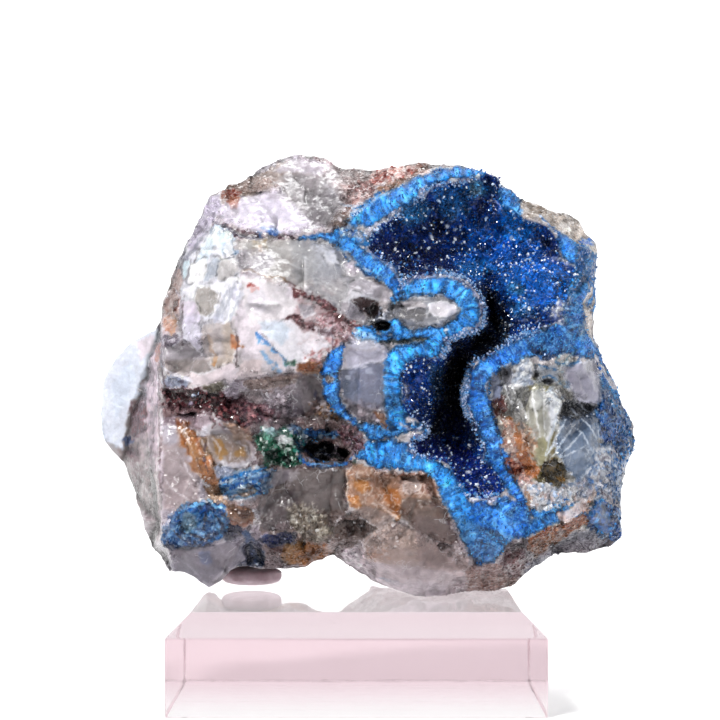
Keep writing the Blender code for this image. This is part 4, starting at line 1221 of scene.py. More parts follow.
# blue stains seeping out of the seams, thin and broken
SEEP = [
    (225, 244, 236, 252), (262, 352, 276, 368), (300, 368, 326, 380), (352, 342, 360, 350),
    (258, 470, 272, 476), (318, 430, 340, 440), (560, 380, 580, 386), (600, 396, 606, 420)]
for (x0, y0, x1, y1) in SEEP:
    stroke("l", (90, 150, 200), 3, 0.6, [(x0, y0, 1.5), ((x0 + x1) / 2, (y0 + y1) / 2, 3), (x1, y1, 1.5)])

# broken grain: each small facet a little lighter or darker than its neighbours at random;
# painted highlight and shade on some facet edges; painted shade in hollows, ridges paler
g1, gd1, ge1 = cells2(15, 81, 0.95, PU, PV)
g2, gd2, ge2 = cells2(7.5, 82, 0.95, PU, PV)
g3, gd3, ge3 = cells2(3.6, 83, 0.95, PU, PV)
TONE_AND_EDGE_LIGHT = (0.14 * (g1[..., 0] - 0.5) + 0.12 * (g2[..., 0] - 0.5) + 0.07 * (g3[..., 0] - 0.5)
        + 0.04 * PATCHY) * (0.45 + 0.6 * ROUGH)
# painted highlight and shade along some facet edges, as on lit flake steps
flake_edge_light = smooth(1.1, 0.0, ge2 - gd2) * (g2[..., 1] > 0.62)
TONE_AND_EDGE_LIGHT += 0.13 * flake_edge_light * (g2[..., 2] - 0.35)
# painted shade: the paint darker in hollows and deep parts, a little paler on ridges
HOLLOWED = blur(ZF, 1) - blur(ZF, 5)
DEEP = ZF - blur(ZF, 16)
SHADE = (1 + TONE_AND_EDGE_LIGHT - 0.30 * np.clip(HOLLOWED / 0.35, -0.35, 1.0)
         - 0.20 * np.clip(DEEP / 1.4, -0.4, 1.0))
speck_l = (g3[..., 3] > 0.95) * smooth(1.9, 0.9, gd3)
speck_d = (g3[..., 3] < 0.02) * smooth(1.9, 0.9, gd3)
PAINT = PAINT * np.clip(SHADE, 0.35, 1.18)[..., None]
PAINT += (np.array([236, 232, 238]) - PAINT) * (0.30 * speck_l * (1 - CALM))[..., None]
PAINT += (np.array([84, 66, 66]) - PAINT) * (0.16 * speck_d * (1 - CALM))[..., None]

# ---- the azure of each band, in BANDS' order, and the navy of the pocket ------
BLUES = [(50, 142, 230), (78, 144, 208), (42, 128, 216), (50, 142, 222), (62, 142, 216),
         (62, 142, 216), (44, 104, 164), (64, 152, 228), (42, 112, 172), (48, 122, 208),
         (58, 148, 228), (30, 108, 198), (20, 84, 164), (52, 122, 202), (52, 122, 212),
         (26, 98, 182), (16, 82, 162), (52, 132, 208), (48, 126, 202), (24, 90, 162),
         (30, 104, 192), (32, 106, 194)]
azure = np.zeros((NU, NV, 3), np.float32)
azure[:] = BLUES[0]
best = np.full((NU, NV), -30.0, np.float32)
for pts, col in zip(BANDS, BLUES):
    si, sj = window(pts, 14 + max(p[2] for p in pts) / 2)
    sd = line_sd(pts, (U + EDGE_U)[si, sj], (V + EDGE_V)[si, sj])[0]
    near = sd > best[si, sj]
    best[si, sj] = np.where(near, sd, best[si, sj])
    azure[si, sj] = np.where(near[..., None], np.array(col, np.float32), azure[si, sj])
azure = np.stack([blur(azure[..., k], 5) for k in range(3)], -1)
azure *= (1.02 - 0.17 * np.exp(-(((U - 484) / 26) ** 2 + ((V - 435) / 60) ** 2)))[..., None]
azure *= np.array([0.51, 0.98, 1.08])
azure[..., 0] *= 1 - 0.40 * smooth(410, 490, U)
azure *= (1 + 0.18 * np.exp(-(((U - 410) / 46) ** 2 + ((V - 348) / 24) ** 2)))[..., None]
azure *= (1 - 0.20 * np.exp(-(((U - 545) / 44) ** 2 + ((V - 334) / 18) ** 2)))[..., None]
azure *= (1 - 0.17 * np.exp(-(((U - 500) / 40) ** 2 + ((V - 538) / 26) ** 2)))[..., None]
azure *= (1 - 0.34 * np.exp(-(((U - 614) / 16) ** 2 + ((V - 392) / 40) ** 2)))[..., None]
azure *= (1 + 0.06 * np.exp(-(((U - 352) / 30) ** 2 + ((V - 245) / 22) ** 2)))[..., None]


def noise_at(x, y, cell, seed):
    """Smooth noise at any places, -1 to 1."""
    rng = np.random.default_rng(seed)
    lat = rng.uniform(-1, 1, (128, 128))
    gx, gy = x / cell + 7.3, y / cell + 3.1
    i, j = np.floor(gx).astype(int), np.floor(gy).astype(int)
    fx, fy = gx - i, gy - j
    fx, fy = fx * fx * (3 - 2 * fx), fy * fy * (3 - 2 * fy)
    i0, j0, i1, j1 = i % 128, j % 128, (i + 1) % 128, (j + 1) % 128
    return ((lat[i0, j0] * (1 - fx) + lat[i1, j0] * fx) * (1 - fy)
            + (lat[i0, j1] * (1 - fx) + lat[i1, j1] * fx) * fy).astype(np.float32)


rib = noise_at(ALONG, ACROSS / 7, 3.0, 301) + 0.6 * noise_at(ALONG, ACROSS / 5, 6.5, 302)
mott = noise2(7, 303, 3, 0.6)
azure = azure * (1 + 0.42 * rib + 0.18 * mott)[..., None]
lv, la, lb = cells2(4.6, 306, 0.95, U + 1.2 * TINY_U, V + 1.2 * TINY_V)
azure *= (0.90 + 0.28 * (lv[..., 0] - 0.4))[..., None]
net = smooth(1.0, 0.1, lb - la) * smooth(-0.35, 0.25, mott + 0.5 * rib)
azure += (np.array([112, 184, 236]) - azure) * (0.60 * net)[..., None]
azure += (np.array([150, 208, 250]) - azure) * (0.55 * smooth(0.35, 0.95, rib * 0.6 + mott * 0.6))[..., None]
# darker along the bands' outer edges: a thin dark line, with painted shade where a band meets the quartz
edge_dark = smooth(3.2, 0.2, SD_B) * smooth(-4, 0, SD_B)
azure = azure * (1 - 0.30 * edge_dark * (SD_P < 2))[..., None]
wb = smooth(-1.8, 0.4, SD_B)[..., None]

navy = np.zeros((NU, NV, 3), np.float32)
navy[:] = (9, 34, 98)


def pool(colour, feather, opacity, pts):
    si, sj = window(pts if isinstance(pts, list) else reach("e", pts)[0], feather + 8)
    uu, vv = U[si, sj] + 3.0 * FINE_U[si, sj], V[si, sj] + 3.0 * FINE_V[si, sj]
    sd = shape_sd("p" if isinstance(pts, list) else "e", pts, uu, vv)
    w = (smooth(-feather / 2, feather / 2, sd) * opacity)[..., None]
    navy[si, sj] = navy[si, sj] * (1 - w) + np.array(colour, np.float32) * w


def shape_sd(kind, pts, uu, vv):
    if kind == "p":
        return poly_sd(pts, uu, vv)
    if kind == "l":
        return line_sd(pts, uu, vv)[0]
    (cx, cy, rx, ry) = pts
    return (1 - np.sqrt(((uu - cx) / rx) ** 2 + ((vv - cy) / ry) ** 2)) * min(rx, ry)


def reach(kind, pts):
    if kind == "e":
        return [(pts[0] - pts[2], pts[1] - pts[3]), (pts[0] + pts[2], pts[1] + pts[3])], 0
    return pts, (max(p[2] for p in pts) if kind == "l" else 0)


pool((14, 60, 142), 16, 0.9, [(462, 224), (500, 214), (545, 230), (545, 256), (500, 264), (462, 254)])
pool((22, 86, 176), 12, 0.95, [(502, 192), (520, 210), (540, 224), (526, 242), (506, 238), (498, 214)])
pool((20, 70, 156), 16, 0.95, [(500, 262), (560, 258), (582, 278), (562, 312), (520, 308), (498, 290)])
pool((24, 78, 150), 12, 0.8, [(456, 262), (486, 256), (498, 270), (476, 282), (458, 276)])
pool((48, 84, 132), 8, 0.75, [(400, 208), (424, 196), (432, 214), (414, 230), (400, 224)])
pool((44, 76, 126), 8, 0.7, [(436, 198), (462, 196), (472, 212), (452, 222), (438, 214)])
pool((24, 60, 114), 8, 0.8, [(426, 188), (480, 182), (500, 190), (480, 202), (440, 200)])
pool((100, 112, 156), 5, 0.8, (476, 190, 7, 8))
pool((70, 96, 140), 6, 0.7, (517, 288, 9, 7))
pool((50, 78, 130), 6, 0.7, [(508, 304), (530, 300), (536, 316), (514, 322)])
pool((4, 10, 46), 12, 0.9, [(384, 236), (404, 240), (440, 252), (456, 270), (420, 277), (402, 286), (396, 268), (382, 258), (368, 248)])
pool((5, 13, 48), 10, 0.7, [(414, 224), (440, 218), (446, 236), (420, 242)])
pool((6, 12, 44), 8, 0.7, [(478, 198), (498, 200), (494, 214), (478, 212)])
pool((8, 16, 56), 8, 0.7, [(540, 232), (558, 240), (560, 262), (572, 270), (548, 262)])
# near-black down the deep crevice in the pocket: painted shade
pool((2, 2, 7), 8, 0.97, [(476, 284), (500, 298), (516, 328), (502, 348), (476, 362), (469, 376), (466, 396), (471, 412), (477, 430), (479, 448), (470, 440), (456, 430), (440, 438), (427, 438), (431, 420), (441, 404), (447, 380), (447, 362), (470, 346), (484, 332), (490, 310)])
pool((16, 30, 74), 5, 0.85, [(478, 322), (492, 324), (497, 334), (484, 340), (476, 334)])
pool((20, 26, 58), 5, 0.8, [(450, 342), (476, 332), (480, 342), (462, 352), (450, 356)])
pool((14, 40, 108), 8, 0.8, [(402, 362), (436, 360), (442, 380), (438, 404), (424, 414), (404, 402)])
pool((52, 68, 108), 6, 0.7, [(428, 364), (442, 364), (446, 386), (436, 400), (428, 388)])
pool((8, 14, 78), 8, 0.85, [(410, 440), (440, 436), (470, 446), (480, 470), (462, 478), (440, 460), (412, 458)])
pool((8, 16, 70), 8, 0.8, [(440, 410), (470, 412), (474, 436), (446, 434)])
pool((12, 26, 96), 8, 0.8, [(456, 464), (484, 462), (500, 482), (496, 498), (466, 496)])
navy *= (1 + 0.22 * noise2(9, 304, 3, 0.6) + 0.12 * noise2(4, 305, 2))[..., None]
navy = navy * np.array([0.90, 1.24, 1.00]) + np.array([1, 5, 22])
wn = smooth(-0.5, 1.0, SD_P)[..., None]
PAINT = PAINT * (1 - wn) + navy * wn
PAINT = PAINT * (1 - wb) + azure * wb
wp = smooth(-1.0, 1.0, SD_N)[..., None]
PAINT = PAINT * (1 - wp) + np.array([34, 114, 192]) * (1 + 0.25 * mott)[..., None] * wp
PAINT = np.clip(PAINT, 1, 250).astype(np.float32)

# ---- finer strokes, crisp edged, and patches of coloured grains ---------------
DU_ = U + 0.9 * FINE_U + 0.55 * TINY_U
DV_ = V + 0.9 * FINE_V + 0.55 * TINY_V
COVER = np.zeros((NU, NV), np.float32)
LIPS = noise2(9, 311, 2, 0.6)
# painted shade for the finer strokes: darker in hollows, paler on ridges, with the facet tone and edge light
HOLLOW_SHADE = 1 - 0.26 * np.clip(HOLLOWED / 0.35, -0.3, 1.0) + 0.4 * TONE_AND_EDGE_LIGHT


def fine(kind, colour, pts, opacity=0.9, feather=1.6, ragged=0.9, cover=0.0):
    box, wide = reach(kind, pts)
    si, sj = window(box, wide + feather + 6)
    sd = shape_sd(kind, pts, DU_[si, sj], DV_[si, sj]) + ragged * EDGE[si, sj]
    w = smooth(-feather / 2, feather / 2, sd) * opacity
    col = np.array(colour, np.float32) * HOLLOW_SHADE[si, sj][..., None]
    PAINT[si, sj] = PAINT[si, sj] * (1 - w[..., None]) + col * w[..., None]
    # painted highlight: a pale line just inside the edge of pale grey chips, with painted shade just outside it
    if kind == "p" and feather <= 2 and max(colour) - min(colour) < 45 and min(colour) > 85:
        lip = np.exp(-((sd - 0.2) / 0.85) ** 2) * smooth(0.0, 0.5, LIPS[si, sj]) * 0.75
        PAINT[si, sj] += (np.array([244, 242, 247]) - PAINT[si, sj]) * lip[..., None]
        gap = np.exp(-((sd + 1.3) / 0.8) ** 2) * smooth(0.0, 0.5, -LIPS[si, sj]) * 0.30
        PAINT[si, sj] *= (1 - gap)[..., None]
    if cover:
        COVER[si, sj] = np.maximum(COVER[si, sj], cover * w)


def grains(kind, colours, pts, cell=3.2, opacity=0.92, feather=2.0, ragged=2.2, seed=1, cover=0.0):
    box, wide = reach(kind, pts)
    si, sj = window(box, wide + feather + 8)
    sd = shape_sd(kind, pts, DU_[si, sj], DV_[si, sj]) + ragged * EDGE[si, sj]
    w = smooth(-feather / 2, feather / 2, sd) * opacity
    val, d1, d2 = cells2(cell, 900 + seed, 0.95, U[si, sj] + TINY_U[si, sj], V[si, sj] + TINY_V[si, sj])
    pal = np.array(colours, np.float32)
    col = pal[np.minimum((val[..., 0] * len(pal)).astype(int), len(pal) - 1)]
    col = col * (0.82 + 0.36 * val[..., 1:2]) * (0.80 + 0.20 * smooth(0.0, 1.0, d2 - d1))[..., None]
    PAINT[si, sj] = PAINT[si, sj] * (1 - w[..., None]) + col * w[..., None]
    if cover:
        COVER[si, sj] = np.maximum(COVER[si, sj], cover * w)


# upper left
fine("p", (206, 199, 216), [(186, 248), (200, 215), (210, 196), (220, 193), (222, 206), (214, 220), (204, 240), (192, 256)])
fine("p", (226, 238, 250), [(196, 262), (206, 238), (216, 227), (227, 233), (224, 242), (212, 247), (208, 262), (204, 282), (198, 270)])
fine("l", (150, 150, 166), [(184, 262, 3), (194, 250, 4), (199, 240, 3), (206, 231, 2)])
fine("p", (252, 252, 255), [(226, 240), (230, 240), (234, 252), (227, 257), (224, 248)])
fine("p", (252, 250, 252), [(196, 262), (206, 258), (207, 268), (204, 280), (196, 285), (188, 282), (190, 270)])
fine("p", (220, 240, 250), [(183, 262), (190, 260), (188, 272), (184, 278)])
fine("p", (188, 194, 206), [(208, 262), (218, 255), (222, 262), (214, 277), (204, 284), (206, 272)])
fine("p", (198, 194, 194), [(218, 262), (236, 257), (240, 270), (230, 282), (218, 280)])
fine("p", (246, 245, 250), [(184, 290), (196, 283), (206, 286), (216, 284), (230, 278), (238, 277), (234, 285), (219, 292), (216, 301), (213, 318), (204, 322), (200, 306), (190, 300)])
fine("p", (176, 170, 167), [(198, 290), (206, 288), (215, 291), (217, 301), (213, 311), (206, 318), (200, 315), (194, 306), (195, 296)], 1.0, 1.2)
fine("p", (172, 152, 148), [(162, 302), (171, 290), (179, 266), (182, 278), (178, 296), (172, 314), (161, 332)])
fine("p", (94, 60, 54), [(173, 301), (178, 299), (179, 308), (174, 313), (171, 309)])
fine("p", (196, 132, 92), [(164, 318), (170, 314), (173, 324), (168, 332), (163, 328)])
fine("p", (226, 216, 230), [(182, 300), (196, 302), (200, 320), (196, 336), (184, 338), (180, 318)])
fine("l", (178, 170, 180), [(176, 290, 2), (182, 300, 2), (180, 316, 1.5)])
for a0, b0, c0, d0 in ((236, 282, 221, 318), (230, 284, 214, 322), (240, 292, 228, 326), (226, 300, 212, 330)):
    fine("l", (188, 190, 202), [(a0, b0, 1.5), ((a0 + c0) / 2, (b0 + d0) / 2, 3.2), (c0, d0, 1.5)], 0.8)
fine("p", (160, 142, 132), [(226, 191), (234, 184), (246, 181), (262, 173), (276, 169), (286, 172), (280, 180), (266, 188), (250, 194), (240, 196)])
fine("p", (184, 158, 144), [(264, 182), (274, 174), (283, 172), (279, 180), (268, 187)])
fine("p", (146, 64, 46), [(226, 190), (233, 189), (243, 191), (238, 196), (229, 196)])
fine("p", (172, 112, 88), [(229, 196), (240, 197), (237, 206), (230, 206)])
fine("p", (164, 156, 156), [(282, 184), (300, 180), (318, 186), (320, 206), (306, 210), (290, 200), (282, 192)])
fine("p", (138, 132, 140), [(306, 206), (326, 198), (338, 208), (330, 224), (314, 220)])
fine("p", (116, 112, 124), [(312, 208), (324, 208), (326, 220), (316, 218)], 0.7, 4)
fine("p", (232, 226, 240), [(240, 206), (270, 200), (296, 208), (304, 222), (296, 234), (262, 232), (240, 224)], 0.7, 4)
# painted highlights: small near-white spots on the cap
for q in ((287, 176, 2.6, 3), (274, 210, 3, 2.4), (245, 199, 3, 1.6), (304, 212, 4, 1.6), (222, 215, 1.8, 3.4), (252, 208, 3, 1.4), (262, 204, 2.4, 1.2), (314, 227, 5, 2.2), (308, 231, 5, 2.0)):
    fine("e", (252, 250, 255), q, 0.95, 1.2, 0.5)
grains("p", [(218, 186, 184), (196, 156, 156), (232, 212, 214), (176, 140, 142)], [(304, 160), (318, 159), (330, 166), (332, 178), (314, 180), (306, 172)], 3.0, 0.8)
fine("l", (132, 84, 82), [(306, 161, 2), (310, 164, 3), (315, 166, 1.5)])
fine("l", (128, 124, 136), [(214, 221, 2), (226, 228, 3.4), (236, 234, 3), (250, 238, 2.4), (258, 239, 2)], 0.9)
fine("l", (104, 62, 78), [(238, 229, 2), (245, 232, 3), (256, 234, 2)], 0.95)
fine("l", (84, 72, 78), [(278, 234, 1.6), (284, 235, 2.2), (291, 237, 1.6), (300, 240, 2)], 0.9)
fine("e", (58, 122, 202), (272, 232, 5, 3.2), 0.95)
fine("e", (120, 170, 220), (265, 228, 3, 1.8), 0.8)
fine("p", (200, 152, 114), [(257, 244), (262, 245), (264, 254), (260, 254)], 0.8)
fine("l", (146, 122, 100), [(243, 270, 1.4), (252, 270, 1.6), (262, 276, 2), (280, 277, 1.6), (287, 282, 1.6)], 0.9)
grains("p", [(158, 150, 148), (180, 174, 174), (136, 128, 128), (196, 192, 194)], [(268, 256), (300, 256), (308, 270), (300, 280), (284, 276), (268, 270)], 3.4, 0.6)
fine("p", (240, 236, 238), [(244, 274), (262, 279), (282, 280), (288, 285), (286, 296), (300, 302), (292, 314), (270, 322), (250, 326), (242, 300)], 0.6, 3)
fine("l", (170, 82, 78), [(248, 286, 1.2), (251, 284, 2), (255, 286, 1.2)])
# upper middle
fine("p", (166, 156, 156), [(326, 166), (345, 168), (372, 171), (372, 180), (352, 184), (340, 182), (326, 178)], 0.8, 3)
grains("p", [(238, 208, 204), (192, 122, 112), (250, 232, 230), (168, 98, 92), (226, 190, 184)], [(372, 172), (386, 168), (402, 167), (414, 165), (412, 173), (400, 180), (384, 184), (372, 187)], 3.4, 0.95, seed=3)
grains("p", [(120, 80, 82), (170, 130, 128), (200, 165, 165), (92, 62, 66)], [(350, 184), (364, 183), (375, 190), (374, 199), (362, 197), (352, 193)], 3.0, 0.9, seed=4)
grains("p", [(165, 145, 145), (192, 172, 174), (140, 120, 120)], [(334, 186), (352, 188), (356, 200), (338, 200)], 3.0, 0.75, seed=5)
grains("p", [(190, 195, 225), (165, 160, 180), (222, 227, 246)], [(319, 190), (334, 188), (336, 200), (322, 200)], 3.0, 0.8, seed=6)
grains("p", [(150, 120, 100), (206, 170, 156), (120, 92, 80), (190, 150, 130)], [(378, 186), (396, 180), (406, 178), (398, 188), (382, 194)], 3.0, 0.9, seed=7)
fine("p", (112, 96, 90), [(324, 214), (350, 206), (352, 218), (346, 228), (326, 228)])
fine("p", (140, 110, 100), [(342, 206), (352, 206), (351, 216), (342, 215)], 0.8)
for q in ((330, 219, 3.4, 2), (340, 219, 2.2, 3), (344, 210, 2, 2), (357, 211, 3, 2.2)):
    fine("e", (232, 226, 232), q, 0.9, 1.2, 0.5)
fine("l", (202, 212, 230), [(338, 201, 1.6), (346, 206, 2.6), (357, 206, 2.4), (362, 210, 1.6)], 0.95)
fine("p", (208, 188, 194), [(350, 208), (360, 210), (356, 216), (350, 214)])
grains("p", [(120, 170, 222), (204, 218, 242), (70, 126, 196), (158, 178, 206), (190, 190, 200)], [(338, 226), (350, 224), (362, 228), (368, 238), (362, 243), (350, 238), (340, 236)], 3.0, 0.95, seed=8, cover=0.95)
grains("l", [(238, 234, 248), (214, 214, 236), (250, 250, 255)], [(367, 233, 5), (374, 227, 6), (382, 221, 5), (392, 214, 4.5), (400, 209, 3.5)], 2.8, 0.95, seed=9, cover=0.95, ragged=1.2)
grains("l", [(190, 196, 226), (226, 222, 240), (120, 160, 214)], [(366, 246, 1.6), (374, 257, 2.4), (386, 262, 2.8), (394, 271, 2.6), (399, 280, 2)], 2.6, 0.9, seed=10, cover=0.9, ragged=1.0)
grains("l", [(200, 214, 236), (140, 190, 232), (236, 236, 246)], [(352, 214, 1.4), (364, 207, 2), (378, 197, 1.8), (394, 191, 2), (402, 186, 1.4)], 2.6, 0.85, seed=11, cover=0.8, ragged=1.0)
grains("l", [(190, 214, 240), (110, 170, 226), (230, 236, 246)], [(334, 246, 2), (342, 251, 2.4), (352, 257, 2), (362, 267, 2.4), (374, 273, 2), (384, 281, 1.6)], 2.6, 0.85, seed=12, cover=0.8, ragged=1.0)
fine("p", (250, 248, 253), [(323, 254), (330, 256), (336, 256), (339, 263), (334, 264), (326, 260)], 1.0, 1.2, 0.5)
fine("l", (240, 240, 246), [(321, 260, 1.4), (324, 264, 1.6), (328, 268, 1)], 0.9, 1)
fine("l", (236, 236, 242), [(300, 282, 1), (305, 286, 1.4), (310, 292, 1)], 0.9, 1)
fine("l", (226, 226, 234), [(316, 246, 1), (324, 252, 1.4), (334, 262, 1)], 0.7, 1)
grains("p", [(216, 206, 216), (242, 236, 242), (190, 180, 190)], [(346, 262), (357, 261), (359, 270), (352, 277), (347, 269)], 3.2, 0.95, seed=13)
fine("p", (126, 126, 136), [(336, 250), (350, 252), (356, 260), (346, 262), (338, 258)], 0.8)
fine("p", (194, 188, 194), [(346, 284), (360, 279), (384, 282), (393, 294), (390, 302), (378, 300), (370, 297), (358, 290), (348, 288)], 0.95, 1.2, 0.5)
fine("l", (246, 242, 248), [(346, 284, 1.4), (356, 287, 1.8), (364, 290, 1.4), (372, 294, 1)], 0.9, 1)
fine("l", (232, 226, 232), [(347, 298, 1), (352, 290, 1.2), (354, 285, 1)], 0.8, 1)
fine("p", (40, 34, 40), [(353, 300), (360, 297), (368, 298), (379, 303), (380, 308), (376, 314), (370, 320), (366, 316), (360, 311)], 1.0, 1.2, 0.6)
fine("p", (182, 176, 182), [(342, 302), (352, 301), (360, 311), (367, 318), (364, 323), (348, 318), (342, 310)], 0.95, 1.2, 0.5)
grains("l", [(84, 42, 48), (132, 86, 90), (60, 26, 34), (172, 132, 134), (110, 66, 70)], [(298, 296, 3), (306, 296, 4), (318, 302, 7), (328, 309, 8), (338, 318, 5), (350, 323, 5), (360, 327, 5)], 2.6, 0.95, seed=14)
grains("l", [(86, 46, 52), (112, 70, 76), (152, 116, 120), (66, 32, 40)], [(288, 317, 3), (298, 319, 6), (306, 325, 7), (314, 327, 6), (326, 331, 4)], 2.6, 0.95, seed=15)
grains("p", [(216, 182, 188), (182, 142, 148), (240, 218, 222), (152, 112, 118)], [(314, 314), (326, 314), (336, 320), (346, 324), (357, 330), (352, 342), (338, 338), (322, 330)], 2.8, 0.85, seed=16)
fine("p", (172, 168, 176), [(298, 304), (312, 306), (316, 314), (302, 317)], 0.8)
fine("p", (122, 106, 114), [(314, 327), (330, 328), (334, 338), (320, 336)], 0.75)
fine("p", (242, 240, 246), [(262, 330), (290, 318), (304, 333), (322, 336), (332, 346), (320, 352), (302, 363), (290, 362), (276, 350)], 0.8, 2)
fine("p", (220, 232, 246), [(258, 322), (280, 320), (292, 330), (282, 346), (266, 336)], 0.6, 4)
grains("l", [(228, 194, 196), (202, 152, 152), (242, 226, 228), (176, 112, 112)], [(304, 356, 3), (316, 352, 4), (328, 350, 4), (338, 342, 3)], 2.8, 0.85, seed=17)
grains("p", [(226, 192, 196), (198, 150, 152), (240, 222, 226)], [(312, 356), (322, 354), (322, 366), (314, 366)], 2.8, 0.85, seed=18)
fine("p", (134, 76, 36), [(295, 363), (310, 362), (322, 363), (312, 372), (302, 371), (296, 368)], 0.95)
fine("p", (160, 112, 78), [(300, 371), (314, 370), (322, 366), (318, 374), (304, 375)], 0.7)
grains("p", [(90, 140, 120), (160, 180, 170), (60, 110, 90)], [(284, 359), (296, 360), (296, 366), (288, 366)], 2.6, 0.85, seed=19)
fine("l", (100, 150, 206), [(257, 334, 2), (264, 339, 3), (272, 347, 2.2), (282, 357, 1.6), (287, 361, 1.4)], 0.85)
fine("l", (110, 110, 120), [(270, 345, 1), (278, 352, 1.2), (286, 361, 1.2)], 0.7, 1)
# lens between the bands
fine("p", (200, 194, 202), [(343, 352), (346, 341), (358, 341), (380, 342), (386, 350), (388, 358), (372, 364), (356, 366), (342, 369)], 1, 1.2, 0.6, cover=0.9)
fine("l", (236, 232, 238), [(342, 369, 1.4), (356, 366, 1.8), (372, 363, 1.4), (380, 361, 1.2)], 0.95, 1)
fine("p", (116, 118, 134), [(340, 371), (356, 368), (372, 365), (384, 364), (384, 402), (378, 412), (352, 404), (342, 398), (339, 382)], 0.95, 1.6, 0.6, cover=0.6)
fine("p", (96, 106, 128), [(342, 380), (358, 378), (362, 392), (350, 398), (342, 394)], 0.8, 4)
fine("p", (152, 150, 162), [(362, 366), (374, 366), (376, 384), (366, 388), (360, 376)], 0.6, 4)
for q in ((348, 377, 3, 2), (368, 371, 4, 3), (365, 383, 1.6, 2), (352, 372, 2, 1.2)):
    fine("e", (190, 194, 206), q, 0.8, 1.6)
grains("p", [(96, 84, 92), (130, 116, 122), (76, 66, 76), (168, 158, 164)], [(344, 400), (376, 402), (388, 428), (368, 424), (350, 414)], 3.6, 0.7, seed=20)
fine("l", (146, 106, 80), [(374, 412, 3), (380, 418, 5), (388, 428, 4)], 0.8)
fine("p", (86, 76, 80), [(286, 378), (322, 376), (324, 400), (316, 412), (290, 412)], 0.85, 5)
fine("p", (64, 56, 60), [(298, 384), (312, 384), (314, 398), (302, 398)], 0.6, 6)
fine("e", (118, 104, 100), (329.5, 379, 4, 3.4), 0.95, 1.4, 0.5, cover=1.0)
fine("l", (66, 76, 76), [(380, 341, 2), (400, 342, 4), (416, 339, 3.6), (428, 337, 2.4)], 0.9, cover=0.95)
# near-black in the small opening by the tongue: painted shade inside it
fine("p", (10, 10, 16), [(373, 324), (382, 321), (391, 324), (387, 331), (376, 331)], 0.95, cover=1.0)
grains("p", [(206, 210, 222), (70, 80, 104), (24, 28, 40), (150, 156, 176)], [(370, 312), (382, 308), (388, 316), (378, 321), (370, 319)], 2.6, 0.95, seed=21, cover=0.9)
# left middle
fine("l", (96, 78, 88), [(160, 318, 1.6), (160.5, 345, 2), (162, 370, 2.6), (165, 386, 3), (167, 396, 3)], 0.9)
fine("p", (214, 196, 206), [(150, 350), (157, 346), (158, 390), (158, 470), (152, 470), (146, 420)], 0.8, 2)
fine("l", (150, 132, 138), [(158.5, 345, 1.2), (159, 420, 1.4), (160, 520, 1.4)], 0.7, 1)
fine("p", (172, 124, 112), [(155, 345), (160, 343), (160, 360), (156, 362)], 0.7)
fine("p", (84, 70, 80), [(162, 337), (168, 334), (178, 339), (180, 341), (176, 347), (164, 345)], 0.95, 1.2, 0.5)
fine("e", (202, 192, 197), (171, 340.5, 4, 2.4), 0.9, 1.2, 0.5)
fine("p", (164, 156, 155), [(164, 348), (180, 343), (190, 342), (200, 352), (208, 362), (214, 371), (196, 375), (180, 368), (164, 360)], 0.85)
fine("p", (192, 184, 184), [(164, 350), (178, 349), (182, 358), (166, 360)], 0.7, 3)
fine("p", (226, 220, 230), [(182, 325), (200, 325), (202, 346), (196, 351), (190, 342), (182, 338)])
fine("p", (194, 182, 174), [(203, 325), (230, 322), (236, 345), (232, 362), (217, 368), (206, 356), (202, 340)])
fine("l", (202, 164, 122), [(208, 335, 2), (211, 343, 3.4), (212, 352, 3)], 0.8)
fine("l", (212, 160, 104), [(213, 350, 2), (215, 358, 3.6), (214, 366, 2)], 0.8)
fine("p", (190, 108, 58), [(230, 335), (236, 337), (240, 345), (236, 351), (232, 347)], 0.95)
fine("p", (98, 58, 50), [(236, 334), (239, 337), (239, 345), (236, 342)], 0.7)
fine("p", (215, 205, 209), [(186, 379), (206, 373), (222, 367), (232, 364), (240, 370), (228, 378), (214, 383), (198, 387), (186, 384)], 1, 1.4, 0.6)
fine("p", (150, 155, 172), [(165, 374), (178, 377), (188, 382), (186, 388), (166, 388)])
fine("l", (228, 225, 233), [(163, 368, 1.4), (170, 372, 2), (178, 376, 2.2), (192, 381, 2)], 0.95, 1.2)
fine("l", (90, 84, 98), [(164, 376, 1.2), (172, 379, 2), (182, 381, 1.2)], 0.8, 1)
fine("p", (218, 203, 203), [(242, 360), (262, 360), (262, 378), (246, 380), (236, 374)], 0.7, 3)
fine("p", (142, 119, 103), [(242, 381), (268, 376), (300, 374), (296, 384), (268, 390), (250, 393)])
fine("p", (166, 161, 172), [(224, 388), (238, 378), (246, 387), (238, 399), (226, 399)])
fine("p", (128, 118, 114), [(240, 390), (262, 389), (266, 404), (246, 402)], 0.85)
grains("l", [(196, 186, 192), (140, 128, 132), (212, 204, 208)], [(262, 396, 4), (270, 397, 6), (280, 392, 4), (290, 384, 3)], 2.8, 0.85, seed=22)
grains("l", [(190, 176, 182), (132, 118, 124)], [(268, 402, 3), (272, 408, 4), (282, 402, 4), (284, 414, 3)], 2.8, 0.8, seed=23)
fine("p", (76, 68, 76), [(284, 396), (300, 392), (304, 414), (288, 420)], 0.85, 4)
RED = [(58, 16, 28), (96, 42, 50), (142, 88, 92), (40, 10, 20), (178, 122, 124), (84, 34, 42)]
grains("p", RED, [(163, 389), (176, 387), (200, 391), (216, 394), (236, 400), (262, 408), (276, 415), (270, 425), (258, 431), (248, 438), (238, 425), (214, 415), (200, 405), (190, 408), (165, 408)], 3.0, 1.0, seed=24)
grains("p", [(60, 20, 30), (40, 12, 20), (90, 50, 58)], [(164, 389), (196, 389), (198, 397), (166, 398)], 3.0, 0.8, seed=25)
